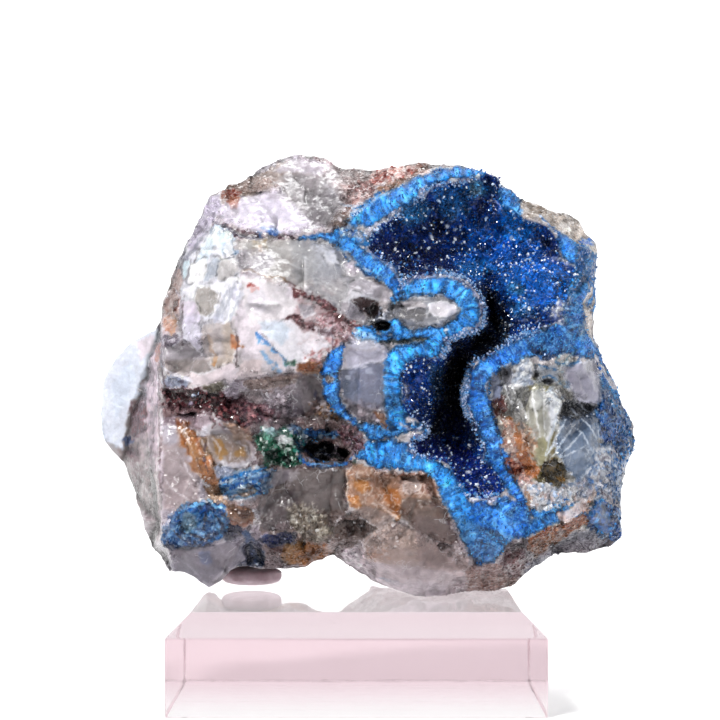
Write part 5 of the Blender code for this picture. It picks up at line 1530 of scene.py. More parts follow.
# painted glints: two pale bluish spots in the dark red streak
fine("e", (196, 216, 236), (194, 395, 4.4, 1.8), 0.95, 1.2, 0.5)
fine("e", (206, 208, 236), (190, 403, 3.4, 2), 0.95, 1.2, 0.5)
fine("e", (30, 40, 60), (196, 397.5, 3, 1.3), 0.8, 1.2, 0.5)
fine("p", (48, 42, 46), [(207, 390), (218, 389), (219, 397), (209, 397)], 0.9)
fine("p", (110, 104, 92), [(200, 386), (222, 382), (228, 388), (220, 392), (204, 391)], 0.9)
fine("p", (152, 134, 132), [(164, 408), (200, 409), (205, 414), (180, 415), (164, 418)])
fine("p", (216, 208, 218), [(162, 420), (180, 416), (177, 424), (172, 433), (164, 433)])
fine("p", (186, 179, 184), [(180, 412), (200, 414), (208, 420), (196, 424), (182, 420)], 0.85)
fine("p", (184, 108, 54), [(176, 420), (186, 424), (196, 434), (201, 445), (200, 458), (192, 457), (184, 444), (176, 432)], 0.95, 2)
fine("p", (134, 72, 36), [(186, 438), (194, 444), (200, 458), (192, 456)], 0.7, 3)
# painted glints: pale lines along the orange cleft
for pts in ([(181, 423, 1.2), (188, 430, 1.8), (195, 437, 1.2)], [(178, 430, 1), (184, 436, 1.5), (190, 440, 1)], [(176, 420, 1), (180, 418, 1.6)]):
    fine("l", (248, 222, 198), pts, 0.95, 1, 0.4)
fine("p", (150, 76, 36), [(190, 448), (199, 450), (201, 462), (192, 462)], 0.85)
fine("p", (226, 217, 229), [(195, 419), (203, 416), (211, 421), (210, 428), (204, 436), (198, 437), (195, 428)], 1, 1.2, 0.5)
fine("l", (120, 70, 76), [(212, 418, 2), (214, 426, 2), (206, 436, 2)], 0.7)
fine("p", (152, 126, 102), [(200, 441), (212, 432), (222, 442), (216, 456), (204, 458)], 0.9)
fine("p", (134, 98, 72), [(222, 442), (246, 441), (246, 460), (228, 464)], 0.9)
fine("e", (192, 132, 50), (218, 451, 4.4, 6), 0.9, 2.4)
fine("e", (206, 150, 46), (239.5, 454, 4.6, 3.2), 0.95, 2)
fine("p", (94, 84, 96), [(222, 427), (238, 426), (248, 438), (242, 446), (228, 440)], 0.9)
fine("l", (160, 120, 128), [(220, 424, 1.2), (226, 434, 1.6), (232, 442, 1.2)], 0.8, 1)
fine("p", (166, 156, 162), [(246, 446), (254, 440), (262, 450), (256, 462), (248, 461)], 0.9, 1.2)
GREEN = [(20, 70, 60), (40, 140, 112), (150, 190, 184), (10, 30, 32), (90, 150, 146), (24, 100, 90)]
grains("p", GREEN, [(257, 432), (268, 424), (290, 422), (304, 426), (304, 440), (298, 460), (286, 465), (268, 465), (258, 448)], 3.2, 0.97, seed=26)
fine("e", (228, 228, 228), (284, 437, 7, 3.6), 0.95, 1.4, 0.8)
fine("e", (134, 184, 228), (298, 431, 7, 3.4), 0.9, 1.6)
fine("e", (30, 128, 150), (274, 428, 7, 3.2), 0.8, 1.6)
# near-black grains over the pits: painted shade inside the openings
grains("p", [(14, 24, 28), (8, 10, 14), (40, 60, 60), (20, 60, 60)], [(300, 440), (326, 438), (350, 444), (352, 460), (330, 464), (302, 462)], 3.4, 0.9, seed=27)
grains("l", [(40, 120, 190), (110, 170, 216), (20, 70, 140)], [(300, 432, 3), (316, 434, 5), (332, 436, 3)], 2.8, 0.9, seed=28)
grains("l", [(30, 110, 180), (100, 160, 210), (16, 60, 120), (150, 150, 160)], [(306, 462, 3), (322, 465, 5), (338, 462, 5), (352, 458, 4)], 2.8, 0.9, seed=29)
grains("p", [(112, 72, 84), (150, 110, 116), (70, 40, 52), (190, 160, 164)], [(332, 424), (356, 426), (362, 440), (352, 448), (336, 440)], 3.0, 0.9, seed=30)
grains("p", [(206, 196, 200), (130, 110, 106), (90, 76, 72), (170, 130, 90)], [(308, 402), (330, 402), (338, 420), (316, 424)], 3.0, 0.85, seed=31)
# lower left
fine("p", (180, 172, 181), [(164, 464), (184, 460), (206, 484), (212, 492), (204, 500), (186, 500), (164, 520)], 0.85, 2)
fine("p", (208, 198, 208), [(162, 494), (178, 496), (176, 510), (168, 524), (161, 530)], 0.9)
fine("l", (150, 140, 152), [(182, 474, 1), (186, 486, 1.4), (180, 498, 1)], 0.6, 1)
fine("p", (166, 116, 80), [(182, 461), (200, 462), (214, 470), (221, 480), (214, 490), (204, 478), (192, 468)], 0.9)
fine("l", (196, 150, 100), [(186, 463, 1.2), (198, 468, 2), (208, 478, 1.6)], 0.8, 1.4)
fine("p", (166, 172, 192), [(214, 467), (228, 465), (240, 474), (232, 480), (216, 478)], 0.9)
AZ = [(10, 62, 132), (32, 112, 182), (122, 182, 222), (6, 36, 92), (60, 140, 200)]
grains("p", AZ, [(219, 482), (240, 478), (256, 472), (268, 468), (278, 472), (276, 484), (266, 492), (256, 497), (240, 491), (222, 494)], 3.2, 0.97, seed=32, cover=0.9)
fine("p", (238, 242, 252), [(250, 479), (256, 470), (260, 472), (256, 480)], 0.95, 1.2, 0.4, cover=1.0)
fine("p", (178, 173, 185), [(268, 484), (276, 470), (292, 468), (290, 480), (276, 486)], 0.9, 1.2)
fine("l", (226, 220, 228), [(288, 470, 1), (292, 478, 1.6), (286, 492, 1)], 0.7, 1)
fine("p", (122, 96, 76), [(204, 487), (220, 484), (222, 493), (208, 496)], 0.85)
fine("p", (108, 82, 62), [(224, 494), (240, 490), (250, 494), (236, 503), (228, 502)], 0.85, cover=0.9)
fine("p", (132, 162, 188), [(232, 498), (256, 494), (260, 504), (240, 507)], 0.8, 3, cover=0.8)
fine("p", (184, 181, 189), [(250, 509), (262, 493), (272, 498), (263, 515), (254, 523)], 0.95, 1.2, 0.5, cover=0.8)
fine("p", (152, 90, 60), [(226, 509), (240, 506), (254, 514), (252, 524), (238, 523), (228, 519)], 0.95)
fine("p", (220, 190, 180), [(222, 508), (230, 504), (236, 507), (230, 511)], 0.9)
BLU = [(14, 76, 166), (62, 142, 222), (8, 42, 112), (112, 182, 226), (24, 98, 190), (5, 22, 72)]
grains("p", BLU, [(161, 541), (170, 526), (178, 514), (190, 502), (198, 507), (206, 513), (214, 503), (223, 507), (225, 520), (218, 532), (208, 543), (186, 548), (163, 546)], 3.6, 0.97, seed=33, cover=0.95)
fine("l", (5, 14, 44), [(164, 546, 2.4), (178, 547, 3.2), (196, 546, 3.6), (210, 544, 3)], 0.95, cover=1)
grains("p", [(152, 182, 188), (60, 110, 140), (206, 218, 218), (30, 70, 110)], [(182, 524), (196, 521), (202, 530), (196, 537), (186, 534)], 2.8, 0.9, seed=34, cover=1)
fine("p", (14, 20, 32), [(203, 512), (207, 510), (207, 519), (203, 524)], 0.85, cover=1)
fine("e", (70, 150, 226), (212, 524, 6, 5), 0.6, 4, cover=1)
fine("p", (14, 18, 44), [(220, 527), (230, 524), (242, 526), (240, 533), (224, 533)], 0.95)
fine("p", (86, 90, 106), [(220, 532), (240, 533), (242, 541), (232, 550), (222, 542)], 0.9)
fine("p", (152, 148, 158), [(166, 549), (206, 549), (222, 542), (240, 536), (244, 541), (222, 574), (210, 586), (186, 574), (172, 573)], 0.75, 2)
fine("p", (180, 176, 186), [(186, 562), (222, 556), (222, 572), (210, 584), (198, 580)], 0.7, 3)
fine("l", (214, 209, 221), [(172, 573, 1.2), (186, 573, 1.4), (200, 583, 1.6), (210, 585, 1.8), (220, 574, 1.4), (232, 556, 1.4), (244, 540, 1.2)], 0.9, 1)
fine("p", (132, 166, 208), [(197, 552), (208, 551), (214, 563), (208, 568), (202, 562)], 0.75, 3)
fine("p", (122, 108, 112), [(164, 549), (190, 549), (188, 557), (166, 557)], 0.85, 2)
fine("p", (52, 70, 96), [(244, 541), (256, 541), (266, 552), (263, 568), (232, 566), (238, 552)], 0.85, 2.4)
fine("l", (132, 162, 192), [(250, 544, 1.2), (254, 552, 1.6), (258, 564, 1.2)], 0.8, 1)
fine("p", (164, 153, 161), [(246, 529), (258, 524), (262, 538), (250, 541)], 0.9)
grains("p", [(12, 22, 48), (30, 40, 70), (60, 64, 84), (8, 12, 26)], [(260, 539), (276, 534), (298, 531), (296, 540), (268, 548)], 3.0, 0.9, seed=35)
fine("p", (90, 64, 64), [(266, 547), (286, 543), (286, 555), (270, 557)], 0.85, 2.4)
fine("p", (142, 106, 62), [(284, 544), (302, 540), (306, 560), (288, 566), (280, 556)], 0.8, 3)
fine("p", (104, 94, 99), [(264, 496), (296, 488), (300, 512), (290, 530), (262, 530)], 0.8, 3)
# right side: rims of pale crystals
LILAC = [(192, 192, 218), (142, 152, 192), (232, 230, 242), (84, 96, 146), (110, 160, 216)]
for n_, pts in enumerate((
        [(401, 287, 2), (410, 280, 3), (424, 276, 4), (442, 275, 3.4), (458, 279, 3.4), (470, 288, 3.6), (480, 300, 4.4), (484, 312, 4), (478, 323, 4.4), (468, 333, 5), (452, 339, 4.5), (444, 341, 4)],
        [(446, 340, 4), (449, 349, 3), (442, 356, 2.4), (430, 359, 2)],
        [(402, 376, 2), (406, 388, 3.4), (406, 398, 3), (402, 404, 2)],
        [(420, 434, 2.6), (412, 440, 4), (409, 448, 4.6), (413, 456, 3.4)],
        [(400, 424, 3), (414, 430, 3), (424, 426, 3)],
        [(484, 358, 2.4), (473, 362, 3), (470, 374, 2.6), (468, 386, 2.6), (467, 400, 2.4), (470, 412, 2), (476, 428, 1.6)],
        [(490, 354, 2), (504, 346, 2.4), (514, 340, 3), (524, 335, 4.4), (538, 331, 4)],
        [(466, 498, 3), (474, 500, 5.4), (486, 499, 3), (496, 500, 5)],
        [(430, 188, 2.4), (444, 183, 2.6), (458, 180, 4.4), (470, 181, 3.6)],
        [(418, 196, 3), (424, 192, 7), (430, 189, 3)])):
    grains("l", LILAC[:5 if n_ in (5, 6) else 4], pts, 2.6, 0.92, 1.6, 1.2, 40 + n_, 0.9)
for q in ((424, 194, 3.2, 4), (443, 184, 5, 1.8), (452, 180, 5, 2), (478, 177, 3, 3), (446, 330, 3, 2), (468, 329, 4, 2), (476, 499, 4, 1.6), (500, 240, 1.4, 1.4), (447, 226, 2, 2), (512, 238, 2, 1.6), (524, 260, 1.6, 1.6), (529, 260, 1.8, 1.6), (468, 472, 3, 1.8), (460, 226, 1.8, 1.6), (431, 238, 1.8, 2), (454, 230, 1.6, 1.6), (504, 246, 1.6, 1.4), (426, 267, 1.6, 1.6), (441, 269, 1.6, 1.6), (446, 271, 1.8, 1.4)):
    fine("e", (240, 242, 252), q, 0.9, 1.2, 0.5, cover=0.9)
grains("p", [(236, 236, 244), (150, 160, 196), (96, 116, 170), (206, 204, 220)], [(548, 308), (556, 302), (565, 302), (563, 314), (562, 323), (552, 318)], 3.0, 0.95, seed=60, cover=0.9)
for pts in ([(544, 312, 1), (552, 304, 1.5)], [(520, 322, 1), (534, 318, 1.2)], [(552, 258, 1.2), (566, 262, 2), (578, 268, 1.6)], [(526, 310, 1), (532, 318, 1)]):
    grains("l", [(220, 222, 240), (150, 160, 200)], pts, 2.4, 0.9, 1.2, 0.8, 61, 0.8)
# tongue and its pale heart
fine("p", (166, 166, 172), [(392, 303), (402, 300), (430, 296), (452, 300), (462, 308), (456, 318), (436, 322), (410, 328), (398, 320)], 0.9, 1.6, 0.8, cover=0.9)
fine("p", (124, 122, 124), [(402, 308), (420, 309), (430, 316), (414, 320), (400, 318)], 0.85, 2)
fine("p", (206, 200, 204), [(400, 301), (420, 301), (426, 306), (408, 309)], 0.9, 1.2)
fine("p", (226, 222, 228), [(427, 305), (440, 302), (452, 305), (458, 311), (446, 317), (434, 316)], 1, 1.2, 0.5, cover=1)
fine("l", (244, 242, 246), [(428, 304, 1.4), (440, 301.5, 1.6), (452, 304, 1.4), (458, 310, 1.2)], 0.9, 1)
fine("l", (150, 170, 200), [(404, 296, 1.6), (424, 293, 2), (444, 295, 1.6)], 0.7, 1)
# clear island
fine("p", (150, 156, 176), [(485, 386), (494, 372), (503, 380), (500, 398), (488, 401)], 0.95, 1.2)
# painted highlight on the clear crystal
fine("e", (248, 248, 252), (491, 394, 2.6, 4), 1, 1.2, 0.5)
fine("p", (172, 172, 180), [(500, 366), (512, 362), (514, 384), (504, 388)], 0.9, 1.4)
grains("p", [(228, 228, 232), (182, 187, 198), (152, 162, 184), (206, 208, 214)], [(514, 374), (526, 355), (534, 372), (533, 385), (518, 385)], 2.6, 0.95, seed=62)
fine("p", (164, 168, 178), [(534, 366), (558, 364), (560, 380), (546, 386), (536, 384)], 0.85, 2)
fine("p", (160, 160, 160), [(504, 387), (528, 385), (530, 408), (510, 412)], 0.85, 2)
fine("p", (176, 173, 152), [(528, 394), (540, 392), (548, 404), (554, 420), (551, 446), (546, 462), (540, 471), (534, 455), (528, 430), (524, 410)], 0.95, 1.6, 0.6)
fine("p", (196, 196, 186), [(532, 384), (546, 382), (546, 400), (536, 406)], 0.7, 4)
fine("p", (150, 146, 116), [(536, 440), (550, 436), (548, 458), (540, 468)], 0.7, 4)
grains("p", [(228, 232, 238), (184, 192, 204), (248, 248, 251), (206, 212, 220)], [(540, 393), (552, 388), (564, 398), (561, 412), (556, 434), (552, 430), (547, 414), (540, 403)], 2.8, 0.95, seed=63)
fine("p", (60, 62, 70), [(563, 400), (580, 399), (598, 404), (590, 416), (570, 425), (560, 419)], 0.95, 1.6)
for pts in ([(564, 404, 1), (572, 410, 1.6), (580, 417, 1)], [(575, 401, 1), (584, 408, 1.4), (590, 412, 1)], [(568, 418, 1), (580, 414, 1.3), (592, 410, 1)]):
    fine("l", (176, 182, 194), pts, 0.85, 1, 0.4)
fine("p", (192, 191, 204), [(566, 370), (576, 362), (594, 359), (600, 380), (602, 402), (596, 406), (580, 402), (570, 386)], 1, 1.2, 0.5, cover=0.9)
fine("p", (182, 174, 188), [(580, 364), (594, 362), (594, 384), (584, 386)], 0.7, 3)
fine("l", (232, 232, 240), [(568, 372, 1), (576, 388, 1.4), (582, 401, 1.6), (596, 405, 1.6)], 0.85, 1)
grains("p", [(222, 225, 234), (180, 184, 198)], [(586, 386), (600, 384), (602, 404), (590, 400)], 2.8, 0.8, seed=64)
fine("p", (132, 150, 180), [(556, 440), (570, 424), (596, 423), (600, 440), (594, 470), (580, 482), (566, 470), (560, 455)], 0.9, 2, cover=0.7)
fine("p", (108, 126, 158), [(574, 446), (592, 446), (590, 470), (578, 476)], 0.6, 4)
for pts in ([(552, 447, 3), (560, 438, 5), (572, 430, 3)], [(556, 451, 2), (566, 446, 3.4), (576, 441, 1.6)], [(576, 428, 1), (588, 432, 2), (594, 440, 1)], [(584, 452, 1), (588, 462, 1.6)]):
    grains("l", [(228, 230, 238), (190, 198, 214), (246, 246, 250)], pts, 2.6, 0.9, 1.2, 0.8, 65)
fine("l", (92, 62, 50), [(493, 403, 3), (500, 411, 4.4), (506, 423, 4), (512, 434, 3)], 0.9, 1.6)
fine("l", (30, 24, 40), [(489, 404, 1.4), (494, 420, 2), (498, 436, 1.6), (503, 456, 1.6), (510, 474, 2), (518, 486, 2)], 0.8, 1.2, cover=0.8)
grains("p", [(236, 217, 207), (202, 172, 162), (250, 240, 236), (170, 130, 118)], [(501, 418), (512, 420), (518, 440), (522, 456), (512, 462), (504, 450)], 2.8, 0.95, seed=66)
fine("l", (208, 122, 52), [(516, 434, 4), (521, 442, 7), (524, 452, 7), (528, 462, 7), (535, 471, 9)], 0.95, 1.6)
grains("p", [(238, 228, 218), (214, 190, 172), (196, 150, 120)], [(524, 424), (536, 428), (538, 450), (530, 452), (526, 440)], 2.8, 0.85, seed=67)
grains("p", [(150, 62, 42), (200, 112, 82), (226, 172, 152), (108, 40, 34)], [(507, 458), (522, 458), (529, 470), (520, 479), (510, 471)], 2.8, 0.95, seed=68)
grains("p", [(92, 76, 40), (60, 50, 30), (120, 96, 46), (40, 34, 26)], [(540, 465), (552, 458), (563, 464), (567, 478), (558, 487), (546, 483)], 3.0, 0.95, seed=69)
fine("e", (184, 140, 56), (562, 478, 4, 3), 0.85, 2)
CRUMB = [(236, 233, 238), (200, 206, 217), (168, 186, 212), (222, 202, 197), (246, 246, 250)]
grains("p", CRUMB, [(516, 479), (536, 482), (560, 485), (580, 476), (588, 492), (570, 505), (548, 511), (530, 509), (527, 492)], 3.0, 0.95, seed=70)
fine("l", (182, 150, 124), [(525, 486, 3), (528, 498, 4.4), (530, 510, 3)], 0.9, 1.4)
grains("p", [(222, 196, 190), (196, 160, 150), (240, 226, 222)], [(512, 474), (530, 474), (536, 484), (520, 488)], 2.8, 0.9, seed=71)
grains("p", [(150, 165, 192), (202, 207, 217), (110, 132, 168), (176, 170, 182)], [(574, 468), (590, 470), (592, 494), (578, 498)], 2.8, 0.9, seed=72)
grains("p", [(150, 166, 192), (192, 197, 210), (88, 132, 184), (122, 114, 130), (214, 214, 222)], [(590, 440), (606, 444), (617, 456), (617, 490), (598, 500), (588, 482)], 2.8, 0.9, seed=73, cover=0.8)
grains("p", [(16, 78, 136), (64, 126, 178), (10, 46, 94), (30, 100, 160), (110, 150, 190)], [(600, 384), (610, 388), (622, 402), (620, 440), (604, 444), (598, 420)], 2.8, 0.9, seed=74, cover=0.9)
fine("p", (82, 58, 44), [(618, 440), (624, 438), (624, 452), (619, 453)], 0.9, 1.4, cover=1)
grains("p", [(226, 196, 190), (200, 142, 112), (240, 226, 223), (214, 160, 120)], [(558, 512), (574, 504), (590, 500), (592, 514), (580, 522), (562, 521)], 2.8, 0.95, seed=75, cover=0.8)
grains("p", [(192, 106, 36), (122, 56, 20), (216, 142, 60), (72, 30, 16), (170, 84, 28)], [(531, 537), (546, 527), (560, 524), (584, 515), (588, 523), (570, 531), (560, 539), (545, 549), (536, 556), (529, 548)], 3.0, 1.0, seed=76, cover=1)
fine("p", (152, 154, 164), [(550, 547), (568, 534), (590, 529), (606, 535), (590, 547), (556, 553)], 0.95, 1.4, cover=0.9)
grains("p", [(20, 84, 160), (60, 130, 196), (12, 54, 114), (100, 150, 196)], [(588, 508), (606, 502), (620, 514), (620, 534), (604, 534), (586, 522)], 3.0, 0.9, seed=77, cover=0.8)
fine("p", (122, 132, 152), [(519, 580), (535, 561), (556, 549), (559, 558), (532, 576)], 0.95, 1.2, cover=0.9)
fine("l", (206, 210, 220), [(521, 580, 1), (536, 563, 1.4), (556, 550, 1)], 0.8, 1)
fine("p", (88, 56, 60), [(500, 562), (520, 545), (527, 556), (523, 577), (508, 581)], 0.95, 1.6, cover=0.9)
fine("p", (30, 22, 34), [(508, 546), (520, 541), (528, 548), (522, 554), (512, 552)], 0.85, 2, cover=0.8)
fine("p", (152, 128, 122), [(462, 567), (500, 567), (520, 579), (508, 589), (470, 593)], 0.85, 2)
fine("p", (166, 153, 143), [(523, 202), (548, 206), (560, 213), (567, 222), (560, 232), (544, 222), (530, 215)], 0.95, 1.6, cover=0.9)
fine("p", (204, 194, 187), [(555, 214), (580, 219), (585, 232), (576, 241), (562, 233), (552, 223)], 0.95, 1.4, cover=0.9)
fine("p", (226, 220, 216), [(558, 222), (570, 222), (570, 232), (562, 232)], 0.7, 2)
fine("l", (58, 118, 184), [(540, 216, 2), (556, 232, 2.6), (572, 241, 2.4), (580, 250, 2)], 0.8, 1.6)
fine("p", (190, 182, 175), [(579, 246), (596, 242), (599, 254), (588, 263), (580, 256)], 0.95, 1.4, cover=0.8)
fine("l", (40, 110, 190), [(578, 240, 2), (584, 243, 3.4), (591, 246, 2)], 0.95, 1.2, cover=0)
fine("p", (200, 190, 186), [(585, 288), (596, 290), (597, 344), (590, 336), (582, 316)], 0.95, 1.4, cover=1)
fine("l", (150, 126, 114), [(590, 292, 1.4), (592, 304, 3), (590, 312, 1.4)], 0.8, 1.4)
grains("p", [(20, 88, 166), (70, 140, 200), (12, 60, 120), (120, 170, 200)], [(566, 298), (582, 300), (584, 340), (570, 342), (562, 324)], 3.0, 0.7, seed=78)
for pts in ([(556, 362, 1), (562, 352, 1.8), (568, 342, 1)], [(564, 366, 1), (570, 356, 2), (580, 348, 1.4)], [(570, 342, 1), (576, 350, 1.4)], [(548, 356, 1), (556, 350, 1.6)]):
    fine("l", (146, 178, 190), pts, 0.85, 1, 0.5, cover=0.7)
grains("p", [(10, 50, 110), (24, 90, 160), (6, 34, 80)], [(534, 344), (556, 340), (562, 352), (548, 362), (534, 354)], 3.0, 0.7, seed=79)
# lower middle
fine("p", (188, 156, 132), [(344, 473), (353, 463), (366, 466), (373, 470), (370, 490), (372, 500), (360, 511), (350, 508), (345, 492)], 0.95, 1.4)
fine("p", (196, 170, 154), [(346, 474), (354, 466), (368, 470), (368, 478), (350, 479)], 0.9, 1.6)
fine("p", (208, 142, 74), [(348, 480), (370, 480), (370, 487), (352, 487)], 0.9, 2)
fine("p", (202, 128, 46), [(349, 497), (361, 496), (360, 508), (352, 507)], 0.95, 2)
fine("p", (202, 176, 164), [(346, 487), (366, 487), (368, 496), (350, 497)], 0.85, 2)
grains("p", [(152, 112, 97), (202, 178, 168), (122, 86, 76), (226, 206, 197), (176, 146, 134)], [(372, 468), (396, 474), (428, 474), (437, 484), (441, 499), (420, 490), (404, 495), (390, 484), (376, 483)], 3.2, 0.92, seed=80)
fine("p", (192, 122, 52), [(380, 489), (398, 486), (402, 498), (388, 503)], 0.9, 3)
fine("p", (198, 122, 50), [(384, 504), (392, 503), (402, 513), (398, 521), (388, 512)], 0.9, 2.4)
fine("p", (176, 156, 150), [(358, 512), (372, 504), (388, 508), (396, 520), (380, 524), (364, 520)], 0.9, 1.6)
for pts in ([(366, 484, 1), (374, 490, 2), (380, 497, 1)], [(380, 497, 1), (372, 503, 2), (362, 508, 1.4)], [(372, 481, 1), (380, 486, 2), (390, 493, 1)], [(360, 480, 1), (352, 478, 1.4), (347, 474, 1)], [(398, 519, 1), (390, 511, 1.6), (384, 505, 1)], [(358, 513, 1), (370, 520, 1.6), (382, 524, 1.2), (378, 534, 1)], [(440, 500, 1), (430, 497, 1.6), (420, 490, 1)]):
    fine("l", (232, 214, 204), pts, 0.9, 1, 0.5)
fine("p", (192, 180, 184), [(402, 482), (416, 477), (421, 486), (409, 497), (402, 491)], 0.95, 1.2)
fine("p", (132, 113, 103), [(400, 498), (420, 492), (440, 501), (452, 530), (458, 545), (436, 541), (410, 526), (398, 514)], 0.92, 2)
fine("p", (150, 128, 114), [(404, 502), (424, 500), (430, 516), (412, 520)], 0.6, 5)
fine("p", (96, 66, 62), [(438, 502), (444, 505), (458, 540), (452, 544), (442, 520)], 0.8, 2)
# painted shade in the notch below the chunk, with a near-black spot at its heart
fine("p", (112, 97, 93), [(354, 514), (378, 526), (374, 535), (362, 540), (350, 548), (338, 545), (330, 530), (344, 514)], 0.92, 2)
fine("e", (48, 38, 42), (362, 526, 3, 2.4), 0.8, 2)
fine("p", (176, 160, 155), [(362, 541), (384, 521), (410, 525), (440, 543), (462, 548), (470, 566), (462, 572), (400, 566), (366, 560)], 0.92, 1.8)
fine("p", (160, 140, 130), [(400, 536), (430, 544), (450, 560), (440, 570), (410, 560)], 0.6, 6)
fine("p", (198, 190, 197), [(364, 560), (400, 566), (440, 571), (466, 577), (462, 593), (430, 598), (400, 591), (376, 577)], 0.9, 3)
grains("p", [(192, 124, 84), (216, 172, 148), (172, 142, 128), (200, 186, 182)], [(364, 548), (388, 545), (390, 559), (370, 561)], 3.0, 0.7, seed=81)
fine("l", (226, 219, 226), [(337, 556, 2), (350, 562, 5), (366, 573, 5), (384, 583, 4), (400, 589, 3)], 0.9, 1.4)
grains("e", [(232, 226, 232), (206, 196, 204), (248, 244, 248)], (349, 556, 10, 6), 3.0, 0.9, seed=82)
fine("l", (232, 224, 228), [(409, 532, 1), (418, 533, 2), (428, 538, 1)], 0.9, 1)
for pts in ([(441, 545, 1), (450, 544, 2), (460, 547, 1)], [(446, 552, 1.2), (453, 548, 2), (461, 553, 2), (464, 561, 1.6), (456, 563, 1.6), (448, 559, 1.6), (446, 552, 1.2)], [(451, 555, 1), (456, 557, 1.6)]):
    fine("l", (226, 218, 222), pts, 0.95, 1, 0.5)
fine("l", (168, 182, 200), [(380, 578, 1.6), (392, 582, 3.4), (404, 584, 2)], 0.8, 1.6)
for q in ((437, 590, 1.6, 1.2), (441, 582, 1.4, 1.2), (423, 594, 2.4, 1.4), (408, 578, 1.2, 1)):
    fine("e", (120, 104, 108), q, 0.8, 1.2)
grains("p", [(90, 76, 62), (162, 152, 142), (122, 102, 87), (202, 197, 188), (110, 96, 92)], [(288, 504), (318, 510), (334, 530), (330, 545), (310, 541), (290, 526)], 3.0, 0.85, seed=83)
fine("p", (142, 86, 36), [(298, 556), (306, 546), (318, 545), (331, 553), (318, 562), (304, 567)], 0.92, 2.4)
fine("p", (112, 100, 96), [(300, 468), (344, 470), (344, 510), (330, 514), (300, 504)], 0.7, 3)
grains("p", [(150, 138, 136), (112, 98, 94), (176, 168, 168)], [(304, 478), (330, 476), (330, 494), (306, 492)], 4.0, 0.5, seed=84)
# more of the right: teal films, the fan of clear crystals, rust
TEAL = [(20, 84, 150), (44, 116, 184), (14, 60, 112), (90, 150, 200), (30, 100, 168), (10, 44, 90)]
grains("p", TEAL, [(601, 366), (612, 378), (625, 400), (634, 428), (638, 456), (630, 472), (619, 462), (613, 446), (600, 438), (590, 424), (596, 404), (602, 388)], 3.4, 0.9, seed=90)
grains("p", TEAL, [(560, 505), (588, 512), (604, 500), (622, 508), (622, 540), (600, 538), (584, 522), (566, 518)], 3.4, 0.9, seed=91)
grains("p", TEAL, [(612, 456), (626, 462), (624, 512), (614, 510), (609, 484)], 3.4, 0.55, seed=92)
for pts in ([(606, 372, 1), (614, 392, 1.6), (618, 416, 1)], [(612, 384, 1), (624, 410, 1.8), (630, 436, 1)], [(598, 412, 1), (608, 424, 1.6), (618, 440, 1)], [(622, 430, 1), (630, 448, 1.6), (630, 464, 1)]):
    fine("l", (96, 160, 216), pts, 0.75, 1, 0.6)
for pts in ([(618, 388, 1), (628, 412, 2), (632, 440, 1)], [(602, 392, 1), (606, 408, 2), (614, 424, 1)]):
    fine("l", (8, 40, 84), pts, 0.7, 1.2, 0.6)
fine("p", (108, 126, 150), [(560, 420), (576, 424), (592, 414), (599, 424), (598, 444), (590, 470), (578, 480), (564, 468), (556, 452)], 0.8, 2)
fine("p", (78, 92, 114), [(562, 416), (576, 420), (594, 410), (598, 420), (584, 432), (566, 434)], 0.8, 2)
fine("p", (148, 162, 184), [(562, 440), (582, 436), (584, 456), (566, 462)], 0.7, 3)
fine("p", (238, 240, 246), [(553, 396), (562, 400), (561, 412), (552, 424), (547, 440), (545, 424), (548, 408)], 0.95, 1.2)
for pts in ([(560, 408, 1.4), (552, 430, 2.4), (546, 456, 1)], [(566, 420, 1.2), (556, 438, 2.4), (548, 456, 1)], [(574, 426, 1.2), (562, 442, 2.2), (552, 456, 1)], [(582, 432, 1), (570, 446, 2), (558, 456, 1)], [(588, 444, 1), (574, 452, 1.6), (562, 458, 1)], [(580, 416, 1), (590, 428, 1.4), (598, 440, 1)], [(572, 424, 1), (584, 436, 1.2), (592, 452, 1)]):
    fine("l", (222, 228, 238), pts, 0.85, 1, 0.5)
fine("p", (186, 184, 178), [(526, 396), (538, 392), (546, 404), (551, 420), (548, 436), (536, 440), (528, 424)], 0.75, 2)
fine("p", (206, 206, 204), [(530, 392), (542, 386), (548, 396), (540, 410), (530, 408)], 0.8, 2)
for pts in ([(534, 372, 1), (532, 392, 2), (536, 416, 1.6), (541, 440, 1)], [(546, 386, 1), (544, 410, 1.6), (545, 436, 1)], [(512, 386, 1), (520, 402, 1.6), (526, 420, 1)], [(500, 378, 1), (508, 392, 1.8), (512, 410, 1)], [(519, 388, 1), (526, 372, 1.6), (530, 356, 1)]):
    fine("l", (236, 236, 238), pts, 0.8, 1, 0.5)
for pts in ([(534, 384, 1), (528, 396, 1.8), (524, 412, 1)], [(506, 384, 1), (512, 400, 2), (518, 414, 1)], [(556, 384, 1), (562, 392, 1.8), (566, 400, 1)]):
    fine("l", (92, 90, 94), pts, 0.7, 1.2, 0.5)
fine("p", (206, 206, 220), [(564, 370), (576, 362), (594, 359), (601, 380), (602, 400), (596, 405), (580, 401), (570, 386)], 0.85, 1.2, 0.5, cover=0.95)
fine("p", (186, 182, 200), [(566, 372), (578, 374), (584, 398), (572, 386)], 0.6, 2)
fine("p", (230, 230, 240), [(588, 362), (596, 362), (600, 382), (592, 380)], 0.7, 2)
fine("p", (236, 238, 244), [(511, 382), (517, 366), (526, 354), (531, 362), (533, 374), (529, 386), (519, 388)], 0.75, 1.4)
grains("p", [(228, 230, 238), (188, 196, 208), (250, 250, 252), (150, 160, 180)], [(513, 382), (518, 366), (526, 355), (532, 366), (531, 384), (520, 388)], 2.6, 0.8, seed=93)
fine("p", (146, 70, 18), [(531, 540), (545, 529), (560, 525), (584, 513), (590, 521), (572, 532), (560, 540), (545, 550), (536, 557), (529, 549)], 1.0, 1.6, cover=1)
